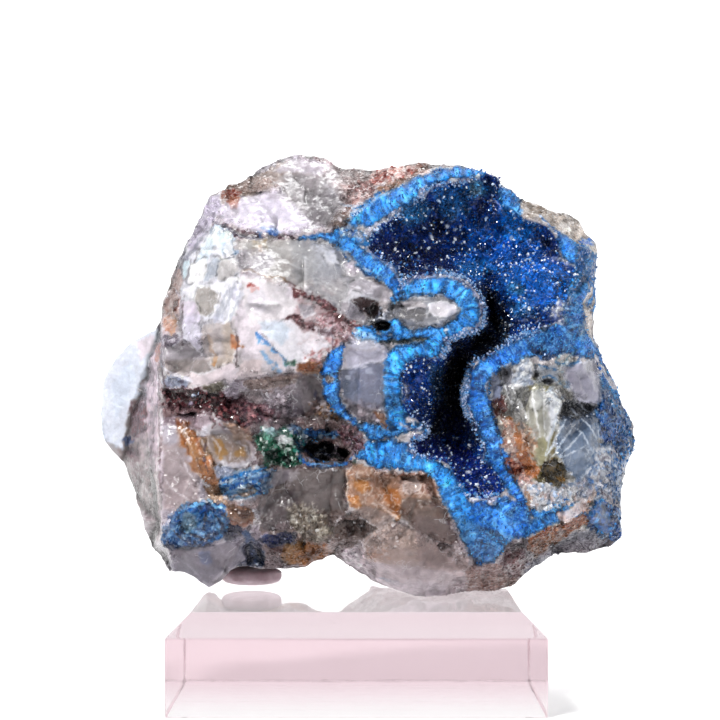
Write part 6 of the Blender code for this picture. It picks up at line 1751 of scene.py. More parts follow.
grains("p", [(196, 108, 30), (120, 56, 16), (224, 146, 60), (66, 28, 12), (176, 88, 24), (206, 122, 40)], [(531, 540), (545, 529), (560, 525), (584, 513), (590, 521), (572, 532), (560, 540), (545, 550), (536, 557), (529, 549)], 2.8, 0.9, seed=94, cover=1)
fine("p", (232, 214, 212), [(556, 514), (572, 508), (584, 498), (590, 506), (582, 514), (566, 522)], 0.85, 1.4, cover=0.9)
fine("p", (104, 70, 70), [(505, 560), (516, 546), (525, 549), (526, 560), (520, 577), (508, 580)], 0.9, 1.6, cover=0.9)
fine("p", (150, 112, 108), [(508, 566), (516, 556), (520, 566), (514, 576)], 0.7, 2)
fine("p", (214, 120, 44), [(514, 436), (522, 434), (528, 448), (530, 466), (536, 474), (526, 474), (518, 456)], 0.7, 2)
# greens and pits again, broken and irregular
fine("p", (118, 102, 102), [(250, 424), (276, 418), (300, 417), (330, 420), (352, 420), (356, 440), (352, 468), (330, 470), (300, 470), (262, 470), (250, 452)], 1.0, 2)
fine("p", (84, 70, 76), [(252, 430), (262, 428), (262, 440), (254, 444)], 0.8, 2)
GREEN = [(30, 104, 80), (112, 166, 148), (212, 224, 218), (12, 62, 46), (52, 130, 104), (22, 84, 64)]
grains("p", GREEN, [(254, 437), (261, 431), (264, 426), (274, 429), (282, 424), (292, 426), (301, 432), (304, 441), (297, 447), (296, 455), (301, 463), (289, 468), (277, 465), (266, 468), (264, 456), (258, 449)], 3.4, 1.0, seed=95, cover=1)
fine("p", (150, 196, 198), [(264, 430), (272, 426), (281, 431), (276, 435), (268, 434)], 0.85, 1.4, cover=1)
fine("p", (226, 226, 228), [(275, 437), (284, 434), (291, 439), (287, 444), (278, 443)], 0.95, 1.4, cover=1)
fine("p", (8, 44, 34), [(262, 454), (270, 449), (278, 452), (275, 460), (267, 461)], 0.8, 1.6, cover=1)
fine("p", (6, 30, 26), [(280, 456), (288, 453), (293, 460), (287, 465)], 0.8, 1.6, cover=1)
grains("l", [(64, 116, 168), (128, 170, 206), (28, 58, 106), (186, 200, 214)], [(290, 428, 6), (303, 434, 9), (320, 436, 8), (336, 434, 8), (348, 432, 5)], 3.2, 0.95, seed=96, cover=1)
grains("p", [(20, 60, 74), (10, 30, 44), (60, 130, 130), (30, 80, 110)], [(294, 440), (304, 437), (312, 440), (306, 448), (300, 456), (296, 450)], 3.0, 0.9, seed=97, cover=1)
# the pits near-black again: painted shade inside the openings
fine("p", (7, 8, 12), [(304, 448), (311, 441), (318, 444), (324, 440), (332, 444), (337, 450), (345, 448), (351, 455), (344, 461), (334, 459), (322, 463), (312, 459)], 1.0, 1.8, 1.4, cover=1)
fine("l", (90, 120, 150), [(312, 444, 1), (320, 449, 1.8), (330, 450, 1.2)], 0.6, 1)
fine("l", (40, 104, 172), [(300, 459, 2), (309, 465, 3.4), (322, 467, 3), (335, 466, 3.2), (347, 463, 2.4), (352, 458, 1.4)], 0.95, 1.4, cover=0)
fine("l", (142, 184, 220), [(306, 463, 1), (318, 466, 1.2), (330, 466, 1)], 0.7, 1)
grains("p", [(110, 70, 78), (70, 34, 46), (164, 132, 138), (90, 54, 62)], [(337, 431), (350, 425), (362, 433), (366, 448), (356, 458), (350, 450), (344, 442)], 3.0, 0.95, seed=98, cover=1)
grains("p", [(206, 190, 196), (150, 136, 140), (226, 216, 222)], [(268, 396), (281, 391), (286, 400), (280, 414), (270, 410)], 3.0, 0.8, seed=99)
for pts in ([(296, 384, 1), (290, 392, 1.8), (282, 396, 2), (276, 404, 1.4)], [(262, 398, 1), (272, 402, 1.8), (284, 404, 1)], [(280, 404, 1), (276, 414, 1.6), (270, 420, 1)]):
    fine("l", (206, 196, 202), pts, 0.8, 1, 0.5)
# lower left
fine("p", (196, 190, 198), [(163, 420), (174, 418), (180, 440), (192, 470), (200, 492), (182, 500), (164, 506)], 0.7, 3)
fine("p", (182, 118, 62), [(177, 421), (187, 424), (196, 440), (204, 462), (210, 478), (202, 478), (192, 462), (182, 444)], 0.75, 3, 1.6)
fine("p", (206, 170, 134), [(186, 440), (196, 446), (200, 462), (190, 460)], 0.6, 3)
grains("l", [(222, 212, 214), (196, 170, 150), (240, 234, 238)], [(184, 430, 2), (190, 448, 3), (200, 468, 2)], 2.6, 0.7, seed=100)
fine("p", (186, 180, 186), [(208, 430), (226, 428), (246, 436), (256, 450), (252, 462), (236, 468), (216, 464), (208, 448)], 0.75, 2)
fine("p", (200, 146, 62), [(213, 438), (222, 440), (226, 452), (221, 460), (214, 452)], 0.8, 2.4, 1.6)
fine("p", (196, 148, 76), [(234, 449), (244, 448), (245, 456), (236, 457)], 0.8, 2.4, 1.6)
fine("p", (158, 132, 112), [(224, 424), (250, 428), (254, 440), (236, 440)], 0.6, 3)
fine("p", (226, 224, 230), [(196, 416), (206, 414), (213, 424), (207, 436), (198, 436)], 0.8, 1.6)
fine("p", (146, 118, 102), [(226, 504), (240, 506), (254, 512), (256, 520), (240, 522), (226, 517)], 0.95, 1.6, 1.4)
fine("p", (92, 66, 58), [(234, 509), (246, 511), (253, 517), (242, 519)], 0.8, 2)
fine("p", (176, 160, 160), [(224, 500), (244, 499), (262, 494), (268, 504), (258, 510), (240, 505), (228, 505)], 0.85, 1.6)
for pts in ([(262, 500, 1), (256, 510, 1.8), (260, 522, 1)], [(284, 470, 1), (276, 484, 1.6), (268, 500, 1)], [(300, 466, 1), (290, 478, 1.4), (284, 490, 1)]):
    fine("l", (216, 212, 218), pts, 0.8, 1, 0.5)
NE = [(60, 124, 186), (30, 88, 150), (120, 170, 208), (206, 216, 226), (18, 56, 108), (92, 148, 196)]
grains("p", NE, [(218, 486), (226, 478), (242, 472), (256, 470), (268, 474), (272, 482), (260, 490), (246, 492), (232, 500), (222, 496)], 3.2, 0.75, seed=101, cover=0.6)
fine("p", (158, 128, 104), [(236, 492), (252, 486), (260, 490), (246, 498)], 0.7, 2, cover=0.8)
for pts in ([(222, 484, 1), (234, 480, 2), (246, 474, 1.4), (258, 472, 1)], [(226, 494, 1), (240, 488, 1.8), (256, 484, 1)], [(246, 470, 1), (254, 478, 1.6), (262, 488, 1)]):
    fine("l", (220, 226, 234), pts, 0.8, 1, 0.6, cover=0.8)
fine("p", (104, 96, 98), [(264, 470), (300, 468), (340, 470), (344, 508), (306, 512), (262, 530), (258, 510)], 0.55, 4)
fine("p", (134, 124, 124), [(300, 472), (340, 474), (342, 500), (310, 504)], 0.5, 6)
grains("p", [(150, 140, 128), (104, 92, 80), (196, 192, 184), (84, 72, 62), (130, 116, 102)], [(284, 508), (302, 504), (322, 512), (332, 530), (328, 544), (306, 540), (292, 528)], 3.0, 0.6, seed=102)
fine("p", (34, 46, 92), [(262, 538), (276, 532), (292, 534), (296, 541), (284, 545), (266, 547)], 0.85, 2, 1.6)
fine("p", (44, 84, 132), [(240, 530), (252, 534), (258, 548), (264, 566), (254, 562), (246, 546)], 0.85, 1.6, 1.2)
fine("p", (16, 20, 34), [(250, 541), (262, 546), (266, 562), (258, 556)], 0.7, 2)
fine("p", (164, 116, 64), [(286, 560), (300, 546), (320, 543), (334, 552), (322, 560), (302, 566)], 0.7, 3, 1.6)
fine("p", (96, 62, 34), [(300, 556), (312, 548), (322, 550), (312, 560)], 0.7, 3)
fine("p", (172, 172, 180), [(166, 552), (196, 548), (232, 542), (244, 556), (226, 578), (212, 592), (196, 580), (172, 570)], 0.7, 2)
for pts in ([(236, 546, 1), (228, 562, 1.8), (216, 580, 1.4)], [(176, 556, 1), (188, 566, 1.6), (206, 584, 1)], [(214, 590, 1), (230, 572, 1.6), (246, 556, 1)]):
    fine("l", (224, 226, 234), pts, 0.8, 1, 0.5)
fine("p", (110, 140, 190), [(198, 552), (210, 552), (212, 562), (202, 566)], 0.6, 2)
# the lower-left crust: rounded lumps, pale lines and deep gaps
grains("p", [(30, 104, 184), (58, 136, 206), (14, 62, 128), (96, 164, 222), (20, 84, 160)], [(162, 530), (170, 518), (182, 508), (200, 504), (216, 500), (224, 512), (222, 530), (206, 544), (184, 546), (164, 544)], 6.0, 0.6, seed=103, cover=0.35)
for pts in ([(172, 520, 1), (184, 512, 2), (196, 510, 1)], [(168, 536, 1), (182, 528, 2.2), (196, 532, 1.4)], [(200, 516, 1), (212, 510, 2), (220, 514, 1)], [(196, 540, 1), (210, 532, 2), (218, 522, 1)]):
    fine("l", (122, 182, 228), pts, 0.75, 1, 0.8)
for pts in ([(176, 532, 1), (190, 520, 2.4), (204, 522, 1.4)], [(206, 504, 1), (208, 520, 2), (214, 534, 1)], [(166, 542, 1), (184, 540, 2), (204, 542, 1)]):
    fine("l", (8, 30, 70), pts, 0.75, 1.2, 0.8)
# dark red corner by the nose, and the chunk of amber grains
fine("p", (100, 84, 84), [(352, 300), (360, 297), (370, 298), (380, 304), (379, 312), (371, 319), (364, 314), (358, 307)], 1.0, 1.4, 0.7, cover=1)
fine("p", (44, 36, 38), [(364, 308), (374, 304), (380, 307), (378, 314), (371, 319)], 0.9, 1.6, cover=1)
fine("l", (214, 206, 208), [(353, 300, 1), (361, 310, 1.6), (370, 320, 1.2)], 0.8, 1)
fine("p", (178, 146, 126), [(346, 470), (372, 468), (398, 484), (402, 500), (390, 512), (368, 508), (350, 506)], 0.50, 4)
for pts in ([(350, 480, 1), (360, 488, 1.8), (368, 500, 1)], [(374, 486, 1), (386, 494, 1.8), (398, 500, 1)], [(348, 500, 1), (358, 498, 1.6), (370, 506, 1)]):
    fine("l", (232, 214, 202), pts, 0.8, 1, 0.6)


def lace(colour, pts, cell, width=1.0, opacity=0.8, seed=1):
    """A net of fine pale lines between grains."""
    si, sj = window(pts, 8)
    sd = poly_sd(pts, DU_[si, sj], DV_[si, sj]) + 2.0 * EDGE[si, sj]
    val, d1, d2 = cells2(cell, 950 + seed, 0.95, U[si, sj] + 1.6 * TINY_U[si, sj] + FINE_U[si, sj],
                         V[si, sj] + 1.6 * TINY_V[si, sj] + FINE_V[si, sj])
    w = (smooth(-1, 1, sd) * smooth(width, width * 0.2, d2 - d1) * opacity
         * smooth(-0.5, 0.1, LIPS[si, sj] + 0.8 * (val[..., 2] - 0.3)))[..., None]
    PAINT[si, sj] = PAINT[si, sj] * (1 - w) + np.array(colour, np.float32) * w


# amber chunk
fine("p", (172, 140, 122), [(352, 465), (368, 467), (380, 474), (404, 476), (430, 476), (438, 492), (430, 500), (404, 498), (392, 512), (376, 524), (360, 511), (351, 508), (346, 496), (347, 484), (346, 474)], 0.82, 2)
fine("p", (196, 130, 62), [(352, 478), (364, 480), (372, 488), (366, 494), (354, 490)], 0.8, 3, 1.8)
fine("p", (200, 124, 44), [(348, 496), (357, 496), (360, 505), (352, 508)], 0.9, 2, 1.6)
fine("p", (188, 118, 58), [(382, 488), (398, 488), (402, 500), (394, 512), (386, 504)], 0.75, 3, 1.8)
fine("p", (150, 118, 108), [(398, 480), (420, 478), (434, 484), (436, 496), (416, 494), (402, 492)], 0.8, 3, 1.8)
fine("p", (186, 172, 168), [(402, 482), (416, 477), (421, 486), (409, 497), (402, 491)], 0.8, 1.4)
lace((236, 222, 214), [(348, 468), (372, 466), (404, 476), (434, 478), (440, 498), (410, 496), (396, 510), (376, 520), (354, 508), (346, 490)], 7.5, 1.2, 0.75, 1)
lace((226, 208, 200), [(372, 470), (404, 476), (434, 478), (440, 498), (410, 494), (390, 496), (376, 488)], 4.6, 1.1, 0.6, 2)
fine("l", (226, 214, 208), [(353, 465, 1), (346, 474, 1.6), (347, 484, 1.2), (346, 496, 1.6), (351, 509, 1.4), (360, 511, 1.2), (376, 525, 1)], 0.85, 1, 0.5)
fine("l", (222, 208, 202), [(372, 503, 1), (384, 508, 1.6), (396, 518, 1.2)], 0.8, 1, 0.5)
fine("p", (150, 134, 130), [(352, 512), (366, 506), (382, 512), (392, 520), (384, 530), (372, 524), (362, 518)], 0.8, 1.6)
lace((214, 204, 200), [(354, 511), (368, 506), (384, 512), (392, 522), (376, 526)], 5.5, 1.0, 0.6, 3)
fine("p", (124, 106, 100), [(402, 500), (438, 500), (454, 532), (456, 542), (436, 540), (412, 526), (400, 516)], 0.8, 3)
for pts in ([(412, 502, 1), (416, 514, 1.6), (424, 526, 1)], [(428, 500, 1), (434, 516, 1.6), (442, 532, 1)]):
    fine("l", (150, 130, 124), pts, 0.6, 1.4)
# the pale mass: rose above running into bluish white below, white lip at its left
fine("p", (176, 158, 152), [(364, 560), (368, 538), (388, 522), (414, 528), (440, 545), (466, 556), (470, 570), (430, 568), (396, 566)], 0.7, 7)
fine("p", (184, 172, 174), [(372, 568), (410, 562), (450, 566), (470, 576), (460, 594), (430, 600), (396, 590)], 0.6, 10)
fine("p", (200, 194, 202), [(388, 584), (420, 580), (448, 586), (440, 600), (410, 598)], 0.6, 5)
lace((224, 216, 218), [(362, 548), (378, 528), (400, 526), (404, 540), (384, 560), (368, 564)], 7, 1.0, 0.55, 4)
lace((226, 220, 226), [(376, 566), (420, 574), (456, 580), (456, 596), (420, 600), (388, 590)], 9, 1.0, 0.45, 5)
lace((232, 224, 226), [(442, 546), (454, 542), (466, 550), (466, 562), (452, 566), (444, 558)], 4.6, 1.4, 0.8, 6)
fine("l", (236, 230, 234), [(336, 553, 1.4), (348, 556, 3), (360, 566, 3), (376, 577, 2.4), (392, 588, 1.6)], 0.85, 1.2)
fine("l", (206, 196, 196), [(366, 558, 1), (364, 546, 1.4), (372, 536, 1.2), (384, 524, 1.4), (394, 520, 1)], 0.8, 1)
# crumbly patch in the smoky face, and the small nets elsewhere
lace((206, 200, 190), [(284, 506), (304, 500), (324, 510), (334, 532), (322, 546), (300, 540)], 4.4, 1.1, 0.65, 7)
lace((236, 234, 240), [(516, 480), (560, 486), (588, 480), (590, 500), (560, 512), (530, 510)], 5, 1.2, 0.7, 8)
lace((228, 232, 240), [(586, 444), (606, 446), (616, 460), (616, 492), (596, 500), (586, 480)], 5.5, 1.1, 0.7, 9)
lace((236, 226, 228), [(262, 392), (286, 388), (284, 412), (268, 420)], 5, 1.1, 0.7, 10)
lace((232, 226, 232), [(300, 308), (352, 326), (362, 336), (340, 352), (312, 362), (300, 340)], 6, 1.0, 0.6, 11)
lace((240, 236, 240), [(300, 246), (350, 258), (384, 284), (352, 292), (318, 280)], 9, 0.9, 0.5, 12)
lace((244, 242, 246), [(184, 252), (206, 228), (234, 244), (244, 276), (234, 322), (184, 322)], 10, 1.0, 0.5, 13)
lace((226, 200, 198), [(348, 184), (378, 186), (376, 198), (350, 198)], 4.4, 1.0, 0.6, 14)
lace((240, 226, 224), [(372, 172), (412, 166), (410, 180), (378, 188)], 4.4, 1.0, 0.6, 15)
lace((196, 206, 226), [(344, 432), (366, 432), (368, 452), (350, 458)], 4.4, 1.0, 0.5, 16)
lace((160, 204, 232), [(164, 530), (184, 508), (214, 502), (222, 530), (196, 544), (166, 544)], 6.0, 1.0, 0.6, 17)
lace((196, 206, 222), [(340, 372), (384, 366), (382, 400), (346, 400)], 12, 0.8, 0.35, 18)
# the grey nose: one clean plane with a tan spot
fine("p", (194, 191, 190), [(242, 242), (276, 242), (308, 246), (322, 262), (306, 282), (280, 276), (258, 270), (246, 260)], 0.72, 4)
fine("p", (178, 173, 172), [(268, 258), (300, 258), (310, 272), (296, 282), (276, 274)], 0.5, 6)
fine("p", (204, 168, 130), [(257, 244), (262, 245), (263, 254), (259, 252)], 0.7, 1.6)
fine("p", (184, 182, 186), [(318, 262), (340, 266), (352, 280), (346, 296), (326, 290)], 0.6, 5)
for pts in ([(262, 252, 1), (284, 262, 1.6), (306, 270, 1)], [(276, 246, 1), (300, 254, 1.4), (322, 266, 1)], [(300, 284, 1), (320, 282, 1.4), (344, 298, 1)], [(306, 274, 1), (330, 284, 1.6), (352, 298, 1)]):
    fine("l", (214, 212, 214), pts, 0.7, 1, 0.5)
# softer stains
fine("e", (214, 176, 150), (234.5, 342, 5, 6), 0.55, 3)
fine("e", (206, 172, 156), (168, 322, 6, 7), 0.5, 3)
fine("p", (206, 196, 190), [(206, 332), (222, 330), (224, 360), (212, 362)], 0.45, 3)
# cap: soft grey over white
fine("p", (178, 170, 172), [(286, 182), (306, 176), (326, 184), (330, 204), (312, 212), (294, 200)], 0.7, 6)
fine("p", (150, 142, 146), [(308, 204), (328, 200), (336, 212), (326, 224), (310, 218)], 0.6, 6)
fine("p", (190, 176, 172), [(248, 184), (272, 172), (292, 168), (298, 178), (280, 188), (256, 194)], 0.6, 6)
fine("p", (206, 198, 206), [(300, 160), (326, 162), (340, 174), (330, 184), (308, 178)], 0.6, 4)
# the cap's clear grey heart, its brown shoulder and pale lower edge
fine("p", (164, 159, 163), [(282, 176), (304, 170), (328, 176), (344, 192), (342, 210), (328, 226), (308, 224), (296, 206), (284, 194)], 0.85, 14)
fine("p", (138, 133, 138), [(306, 194), (330, 188), (342, 206), (330, 224), (310, 218)], 0.7, 12)
fine("p", (172, 156, 152), [(226, 190), (246, 180), (270, 172), (282, 174), (274, 186), (250, 194)], 0.8, 4)
fine("p", (204, 198, 208), [(272, 172), (290, 158), (312, 158), (330, 166), (320, 174), (296, 172)], 0.8, 3)
fine("p", (228, 222, 236), [(214, 212), (240, 200), (272, 198), (296, 208), (312, 222), (300, 234), (258, 232), (222, 222)], 0.55, 5)
for pts in ([(250, 196, 1), (262, 200, 1.8), (276, 202, 1)], [(270, 180, 1), (284, 186, 1.6), (292, 194, 1)], [(300, 226, 1), (312, 228, 1.8), (324, 226, 1)], [(286, 168, 1), (292, 176, 1.8), (290, 184, 1)], [(322, 182, 1), (332, 190, 1.6), (340, 200, 1)]):
    fine("l", (226, 224, 232), pts, 0.45, 1, 0.5)
fine("p", (172, 156, 156), [(163, 444), (180, 442), (198, 478), (200, 506), (180, 512), (163, 510)], 0.6, 4)
fine("p", (190, 184, 194), [(164, 418), (176, 420), (182, 440), (168, 446)], 0.6, 3)
fine("p", (176, 132, 92), [(180, 424), (188, 428), (198, 448), (206, 472), (200, 474), (190, 456), (182, 438)], 0.5, 2.4, 1.8)
for pts in ([(178, 426, 1), (184, 436, 1.8), (192, 446, 1)], [(184, 430, 1), (190, 442, 1.6), (193, 456, 1)], [(188, 448, 1), (196, 460, 1.8), (204, 474, 1)], [(194, 440, 1), (200, 452, 1.4), (206, 462, 1)]):
    fine("l", (228, 220, 222), pts, 0.85, 1.2, 0.8)
for pts in ([(181, 436, 1), (187, 446, 1.6), (190, 460, 1)], [(192, 452, 1), (200, 466, 1.6), (208, 484, 1)]):
    fine("l", (122, 70, 36), pts, 0.8, 1.2, 0.8)
fine("p", (150, 132, 118), [(208, 436), (226, 434), (248, 442), (250, 458), (232, 462), (212, 458)], 0.5, 4)
for pts in ([(212, 438, 1), (220, 448, 1.6), (218, 458, 1)], [(226, 436, 1), (232, 446, 1.6), (230, 460, 1)], [(238, 442, 1), (246, 448, 1.6), (250, 456, 1)]):
    fine("l", (206, 200, 206), pts, 0.75, 1.2, 0.8)
for pts in ([(170, 424, 1), (182, 430, 1.4), (196, 424, 1)], [(176, 450, 1), (188, 470, 1.8), (200, 488, 1)], [(164, 480, 1), (176, 492, 1.6), (190, 500, 1)], [(202, 436, 1), (206, 454, 1.6), (212, 466, 1)]):
    fine("l", (228, 222, 228), pts, 0.7, 1, 0.5)
for pts in ([(208, 414, 1), (222, 420, 2), (240, 424, 1.4), (254, 424, 1)], [(207, 440, 1), (203, 456, 1.8), (208, 470, 1)], [(244, 470, 1), (256, 462, 1.6), (260, 448, 1)]):
    fine("l", (92, 72, 80), pts, 0.7, 1.2, 0.7)
# dark joints between blocks
for pts in ([(262, 468, 1), (300, 467, 2), (344, 468, 1.6)], [(160, 408, 1), (184, 410, 2.2), (206, 414, 1.4)], [(236, 380, 1), (262, 378, 2), (300, 373, 1.6)], [(345, 470, 1), (344, 490, 1.8), (347, 510, 1.4)], [(262, 470, 1), (250, 492, 1.8), (262, 516, 1.4)], [(340, 512, 1), (352, 540, 1.8), (338, 556, 1.4)], [(196, 506, 1), (224, 500, 1.8), (240, 494, 1)], [(236, 366, 1), (238, 340, 1.6), (232, 322, 1)], [(183, 346, 1), (181, 320, 1.4), (184, 300, 1)], [(440, 500, 1), (450, 526, 2.4), (462, 548, 1.6)], [(386, 534, 1), (400, 522, 1.8), (412, 530, 1)]):
    fine("l", (82, 66, 70), pts, 0.62, 1.4, 0.9)
fine("p", (134, 62, 16), [(531, 540), (545, 529), (560, 525), (584, 513), (590, 521), (572, 532), (560, 540), (545, 550), (536, 557), (529, 549)], 0.45, 1.6, cover=1)
# the blue rim goes on round the shoulder at the right
fine("p", (40, 118, 178), [(574, 242), (584, 246), (597, 262), (598, 284), (588, 284), (578, 298), (570, 300), (566, 292), (574, 276), (577, 262)], 0.92, 2.4)
fine("p", (24, 80, 140), [(586, 262), (597, 268), (597, 280), (588, 280)], 0.6, 3)
for pts in ([(576, 252, 1), (586, 262, 1.6), (592, 272, 1)], [(570, 296, 1), (580, 286, 1.8), (592, 280, 1)], [(572, 284, 1), (582, 274, 1.4), (586, 266, 1)]):
    fine("l", (120, 184, 226), pts, 0.7, 1, 0.5)
# the crust low at the left: pale core, dark gaps, brighter crests
grains("p", [(40, 132, 208), (22, 84, 150), (120, 182, 224), (10, 38, 84), (70, 148, 204), (30, 104, 176)], [(162, 538), (172, 524), (184, 508), (200, 504), (220, 504), (228, 514), (226, 528), (212, 540), (190, 547), (166, 548)], 4.2, 0.62, 2.4, 3.0, seed=21, cover=0.75)
fine("p", (138, 174, 184), [(182, 516), (190, 512), (197, 518), (196, 528), (188, 532), (182, 526)], 0.7, 2, 1.8, cover=0.8)
for pts in ([(204, 506, 1), (206, 518, 3), (203, 530, 1)], [(190, 534, 1), (204, 539, 2.2), (214, 538, 1)], [(172, 528, 1), (180, 538, 2.2), (192, 545, 1)], [(160, 547, 1), (186, 550, 2.4), (214, 545, 1)], [(180, 512, 1), (178, 522, 1.8), (184, 534, 1)], [(214, 516, 1), (222, 524, 2), (220, 534, 1)]):
    fine("l", (10, 20, 46), pts, 0.85, 1.2, 0.9, cover=0.85)
for pts in ([(184, 508, 1), (194, 506, 2), (204, 503, 1)], [(208, 500, 1), (216, 506, 2.4), (226, 508, 1)], [(170, 532, 1), (176, 526, 1.6), (182, 530, 1)], [(196, 532, 1), (204, 534, 1.8), (212, 530, 1)], [(208, 518, 1), (214, 522, 1.8), (212, 530, 1)]):
    fine("l", (150, 206, 242), pts, 0.85, 1.2, 0.8, cover=0.85)
# the streaked crust above it
for pts, k in (([(220, 480, 1), (240, 475, 4), (266, 468, 1)], (58, 132, 190)), ([(222, 488, 1), (246, 482, 3), (270, 474, 1)], (34, 96, 156)), ([(226, 474, 1), (246, 470, 2), (262, 466, 1)], (150, 176, 200)), ([(230, 484, 1), (250, 478, 2), (268, 472, 1)], (128, 160, 190)), ([(218, 486, 1), (232, 492, 3), (252, 490, 1)], (120, 150, 178))):
    fine("l", k, pts, 0.8, 1.4, 1.0, cover=0.8)
# veins across the small dark hole
for pts, k in (([(305, 441, 1), (314, 447, 1.8), (319, 457, 1)], (120, 112, 122)), ([(330, 441, 1), (324, 450, 1.8), (331, 460, 1)], (98, 84, 92)), ([(338, 443, 1), (334, 452, 1.6), (343, 458, 1)], (140, 128, 138)), ([(312, 454, 1), (322, 452, 1.4), (330, 455, 1)], (70, 84, 116)), ([(318, 440, 1), (326, 444, 2.2), (338, 441, 1)], (92, 66, 66)), ([(306, 450, 1), (312, 456, 1.6), (320, 461, 1)], (60, 96, 150))):
    fine("l", k, pts, 0.9, 1.0, 0.6)
# flakes over the rust beside the fan, and the blue around the island's top
for pts in ([(508, 428, 1), (513, 440, 2.4), (516, 452, 1)], [(520, 424, 1), (524, 438, 2.2), (522, 450, 1)], [(526, 446, 1), (531, 458, 2.2), (534, 470, 1)], [(512, 456, 1), (520, 462, 2), (524, 474, 1)]):
    fine("l", (226, 214, 212), pts, 0.85, 1.2, 0.8)
fine("p", (150, 118, 100), [(506, 424), (520, 420), (534, 446), (538, 470), (526, 478), (512, 462)], 0.28, 4)
for pts in ([(510, 360, 1), (522, 357, 3), (534, 356, 1)], [(536, 364, 1), (548, 368, 3.4), (560, 372, 1)], [(556, 362, 1), (570, 366, 3), (580, 360, 1)], [(540, 378, 1), (550, 376, 2.4), (558, 380, 1)]):
    fine("l", (36, 104, 160), pts, 0.75, 2, 1.0)
fine("p", (150, 142, 150), [(222, 376), (262, 380), (300, 376), (302, 396), (262, 404), (224, 398)], 0.30, 6)
# milky depth in the smoky part, cooler grey above it
fine("p", (176, 168, 178), [(222, 368), (262, 372), (306, 370), (310, 396), (300, 420), (276, 440), (250, 432), (226, 404)], 0.30, 7)
fine("p", (196, 198, 222), [(160, 314), (222, 316), (224, 358), (160, 360)], 0.26, 6)
fine("p", (172, 176, 202), [(346, 350), (388, 350), (387, 398), (376, 408), (350, 404)], 0.34, 4)
fine("p", (168, 172, 182), [(290, 240), (340, 238), (352, 262), (330, 284), (296, 280)], 0.32, 8)
fine("p", (12, 78, 132), [(576, 246), (586, 250), (598, 264), (598, 284), (588, 284), (580, 294), (572, 292), (576, 276)], 0.60, 3)
fine("p", (12, 62, 108), [(602, 366), (612, 384), (624, 410), (632, 440), (624, 446), (612, 424), (604, 398), (598, 378)], 0.62, 3)
for pts in ([(604, 372, 1), (612, 392, 1.8), (620, 414, 1)], [(608, 396, 1), (616, 412, 1.6), (626, 436, 1)]):
    fine("l", (84, 148, 190), pts, 0.7, 1.2, 0.9)
# last balance of light and dark between the blocks
fine("p", (134, 130, 144), [(564, 366), (592, 360), (600, 386), (602, 402), (576, 400), (562, 378)], 0.45, 3)
fine("p", (14, 84, 150), [(502, 346), (520, 335), (548, 328), (574, 334), (584, 350), (560, 354), (536, 350), (512, 356)], 0.45, 5)
# painted shade: the lowest parts at the right and at the left darker
fine("p", (84, 80, 92), [(520, 540), (600, 528), (612, 548), (560, 558), (520, 562)], 0.40, 6)
fine("p", (108, 100, 112), [(158, 548), (262, 540), (262, 566), (214, 586), (168, 576)], 0.36, 6)
fine("p", (96, 60, 70), [(164, 398), (206, 404), (216, 420), (200, 430), (164, 424)], 0.36, 4)
fine("p", (222, 224, 238), [(348, 335), (362, 331), (378, 337), (380, 347), (362, 350), (348, 346)], 0.55, 3)
fine("p", (172, 160, 168), [(262, 404), (296, 402), (300, 430), (276, 438), (258, 424)], 0.26, 6)
# greyer and darker low left, low right and behind the island: painted shade towards the bottom
fine("p", (150, 142, 152), [(104, 514), (160, 510), (214, 516), (262, 524), (262, 560), (210, 570), (150, 562), (110, 548)], 0.34, 8)
fine("p", (120, 106, 112), [(412, 516), (470, 520), (540, 548), (600, 536), (600, 570), (500, 576), (420, 566)], 0.36, 8)
fine("p", (178, 172, 184), [(236, 252), (262, 246), (276, 262), (262, 278), (240, 276)], 0.5, 5)
# whiter ground far left, behind
fine("p", (236, 240, 251), [(98, 384), (114, 354), (144, 332), (158, 330), (154, 350), (142, 374), (130, 404), (122, 448), (108, 444), (98, 410)], 0.9, 3)
fine("p", (224, 232, 246), [(112, 384), (130, 362), (136, 376), (124, 404), (114, 420)], 0.6, 5)
fine("p", (240, 224, 230), [(136, 342), (154, 334), (154, 350), (140, 360)], 0.6, 4)
# the quartz is a little deeper and stronger in tone than its strokes
wq = (1 - np.maximum(wb[..., 0], wn[..., 0]) * (1 - COVER))[..., None]
PAINT = np.clip(PAINT, 2, 250)
PAINT = PAINT * (1 - wq) + 255 * (PAINT / 255) ** 1.32 * wq
warm = np.clip((PAINT[..., 0] - PAINT[..., 2] - 60) / 90, 0, 1) * wq[..., 0]
luma = (PAINT @ np.array([0.30, 0.59, 0.11], np.float32))[..., None]
PAINT += (luma * np.array([1.14, 0.98, 0.84]) - PAINT) * (0.36 * warm)[..., None]
PAINT = np.clip(PAINT, 2, 250).astype(np.float32)

# =============================================================================
# Colour and zones at the points of the surface
# =============================================================================


def linear(c):
    c = np.clip(np.asarray(c, float) / 255.0, 0, 1)
    return np.where(c <= 0.04045, c / 12.92, ((c + 0.055) / 1.055) ** 2.4)


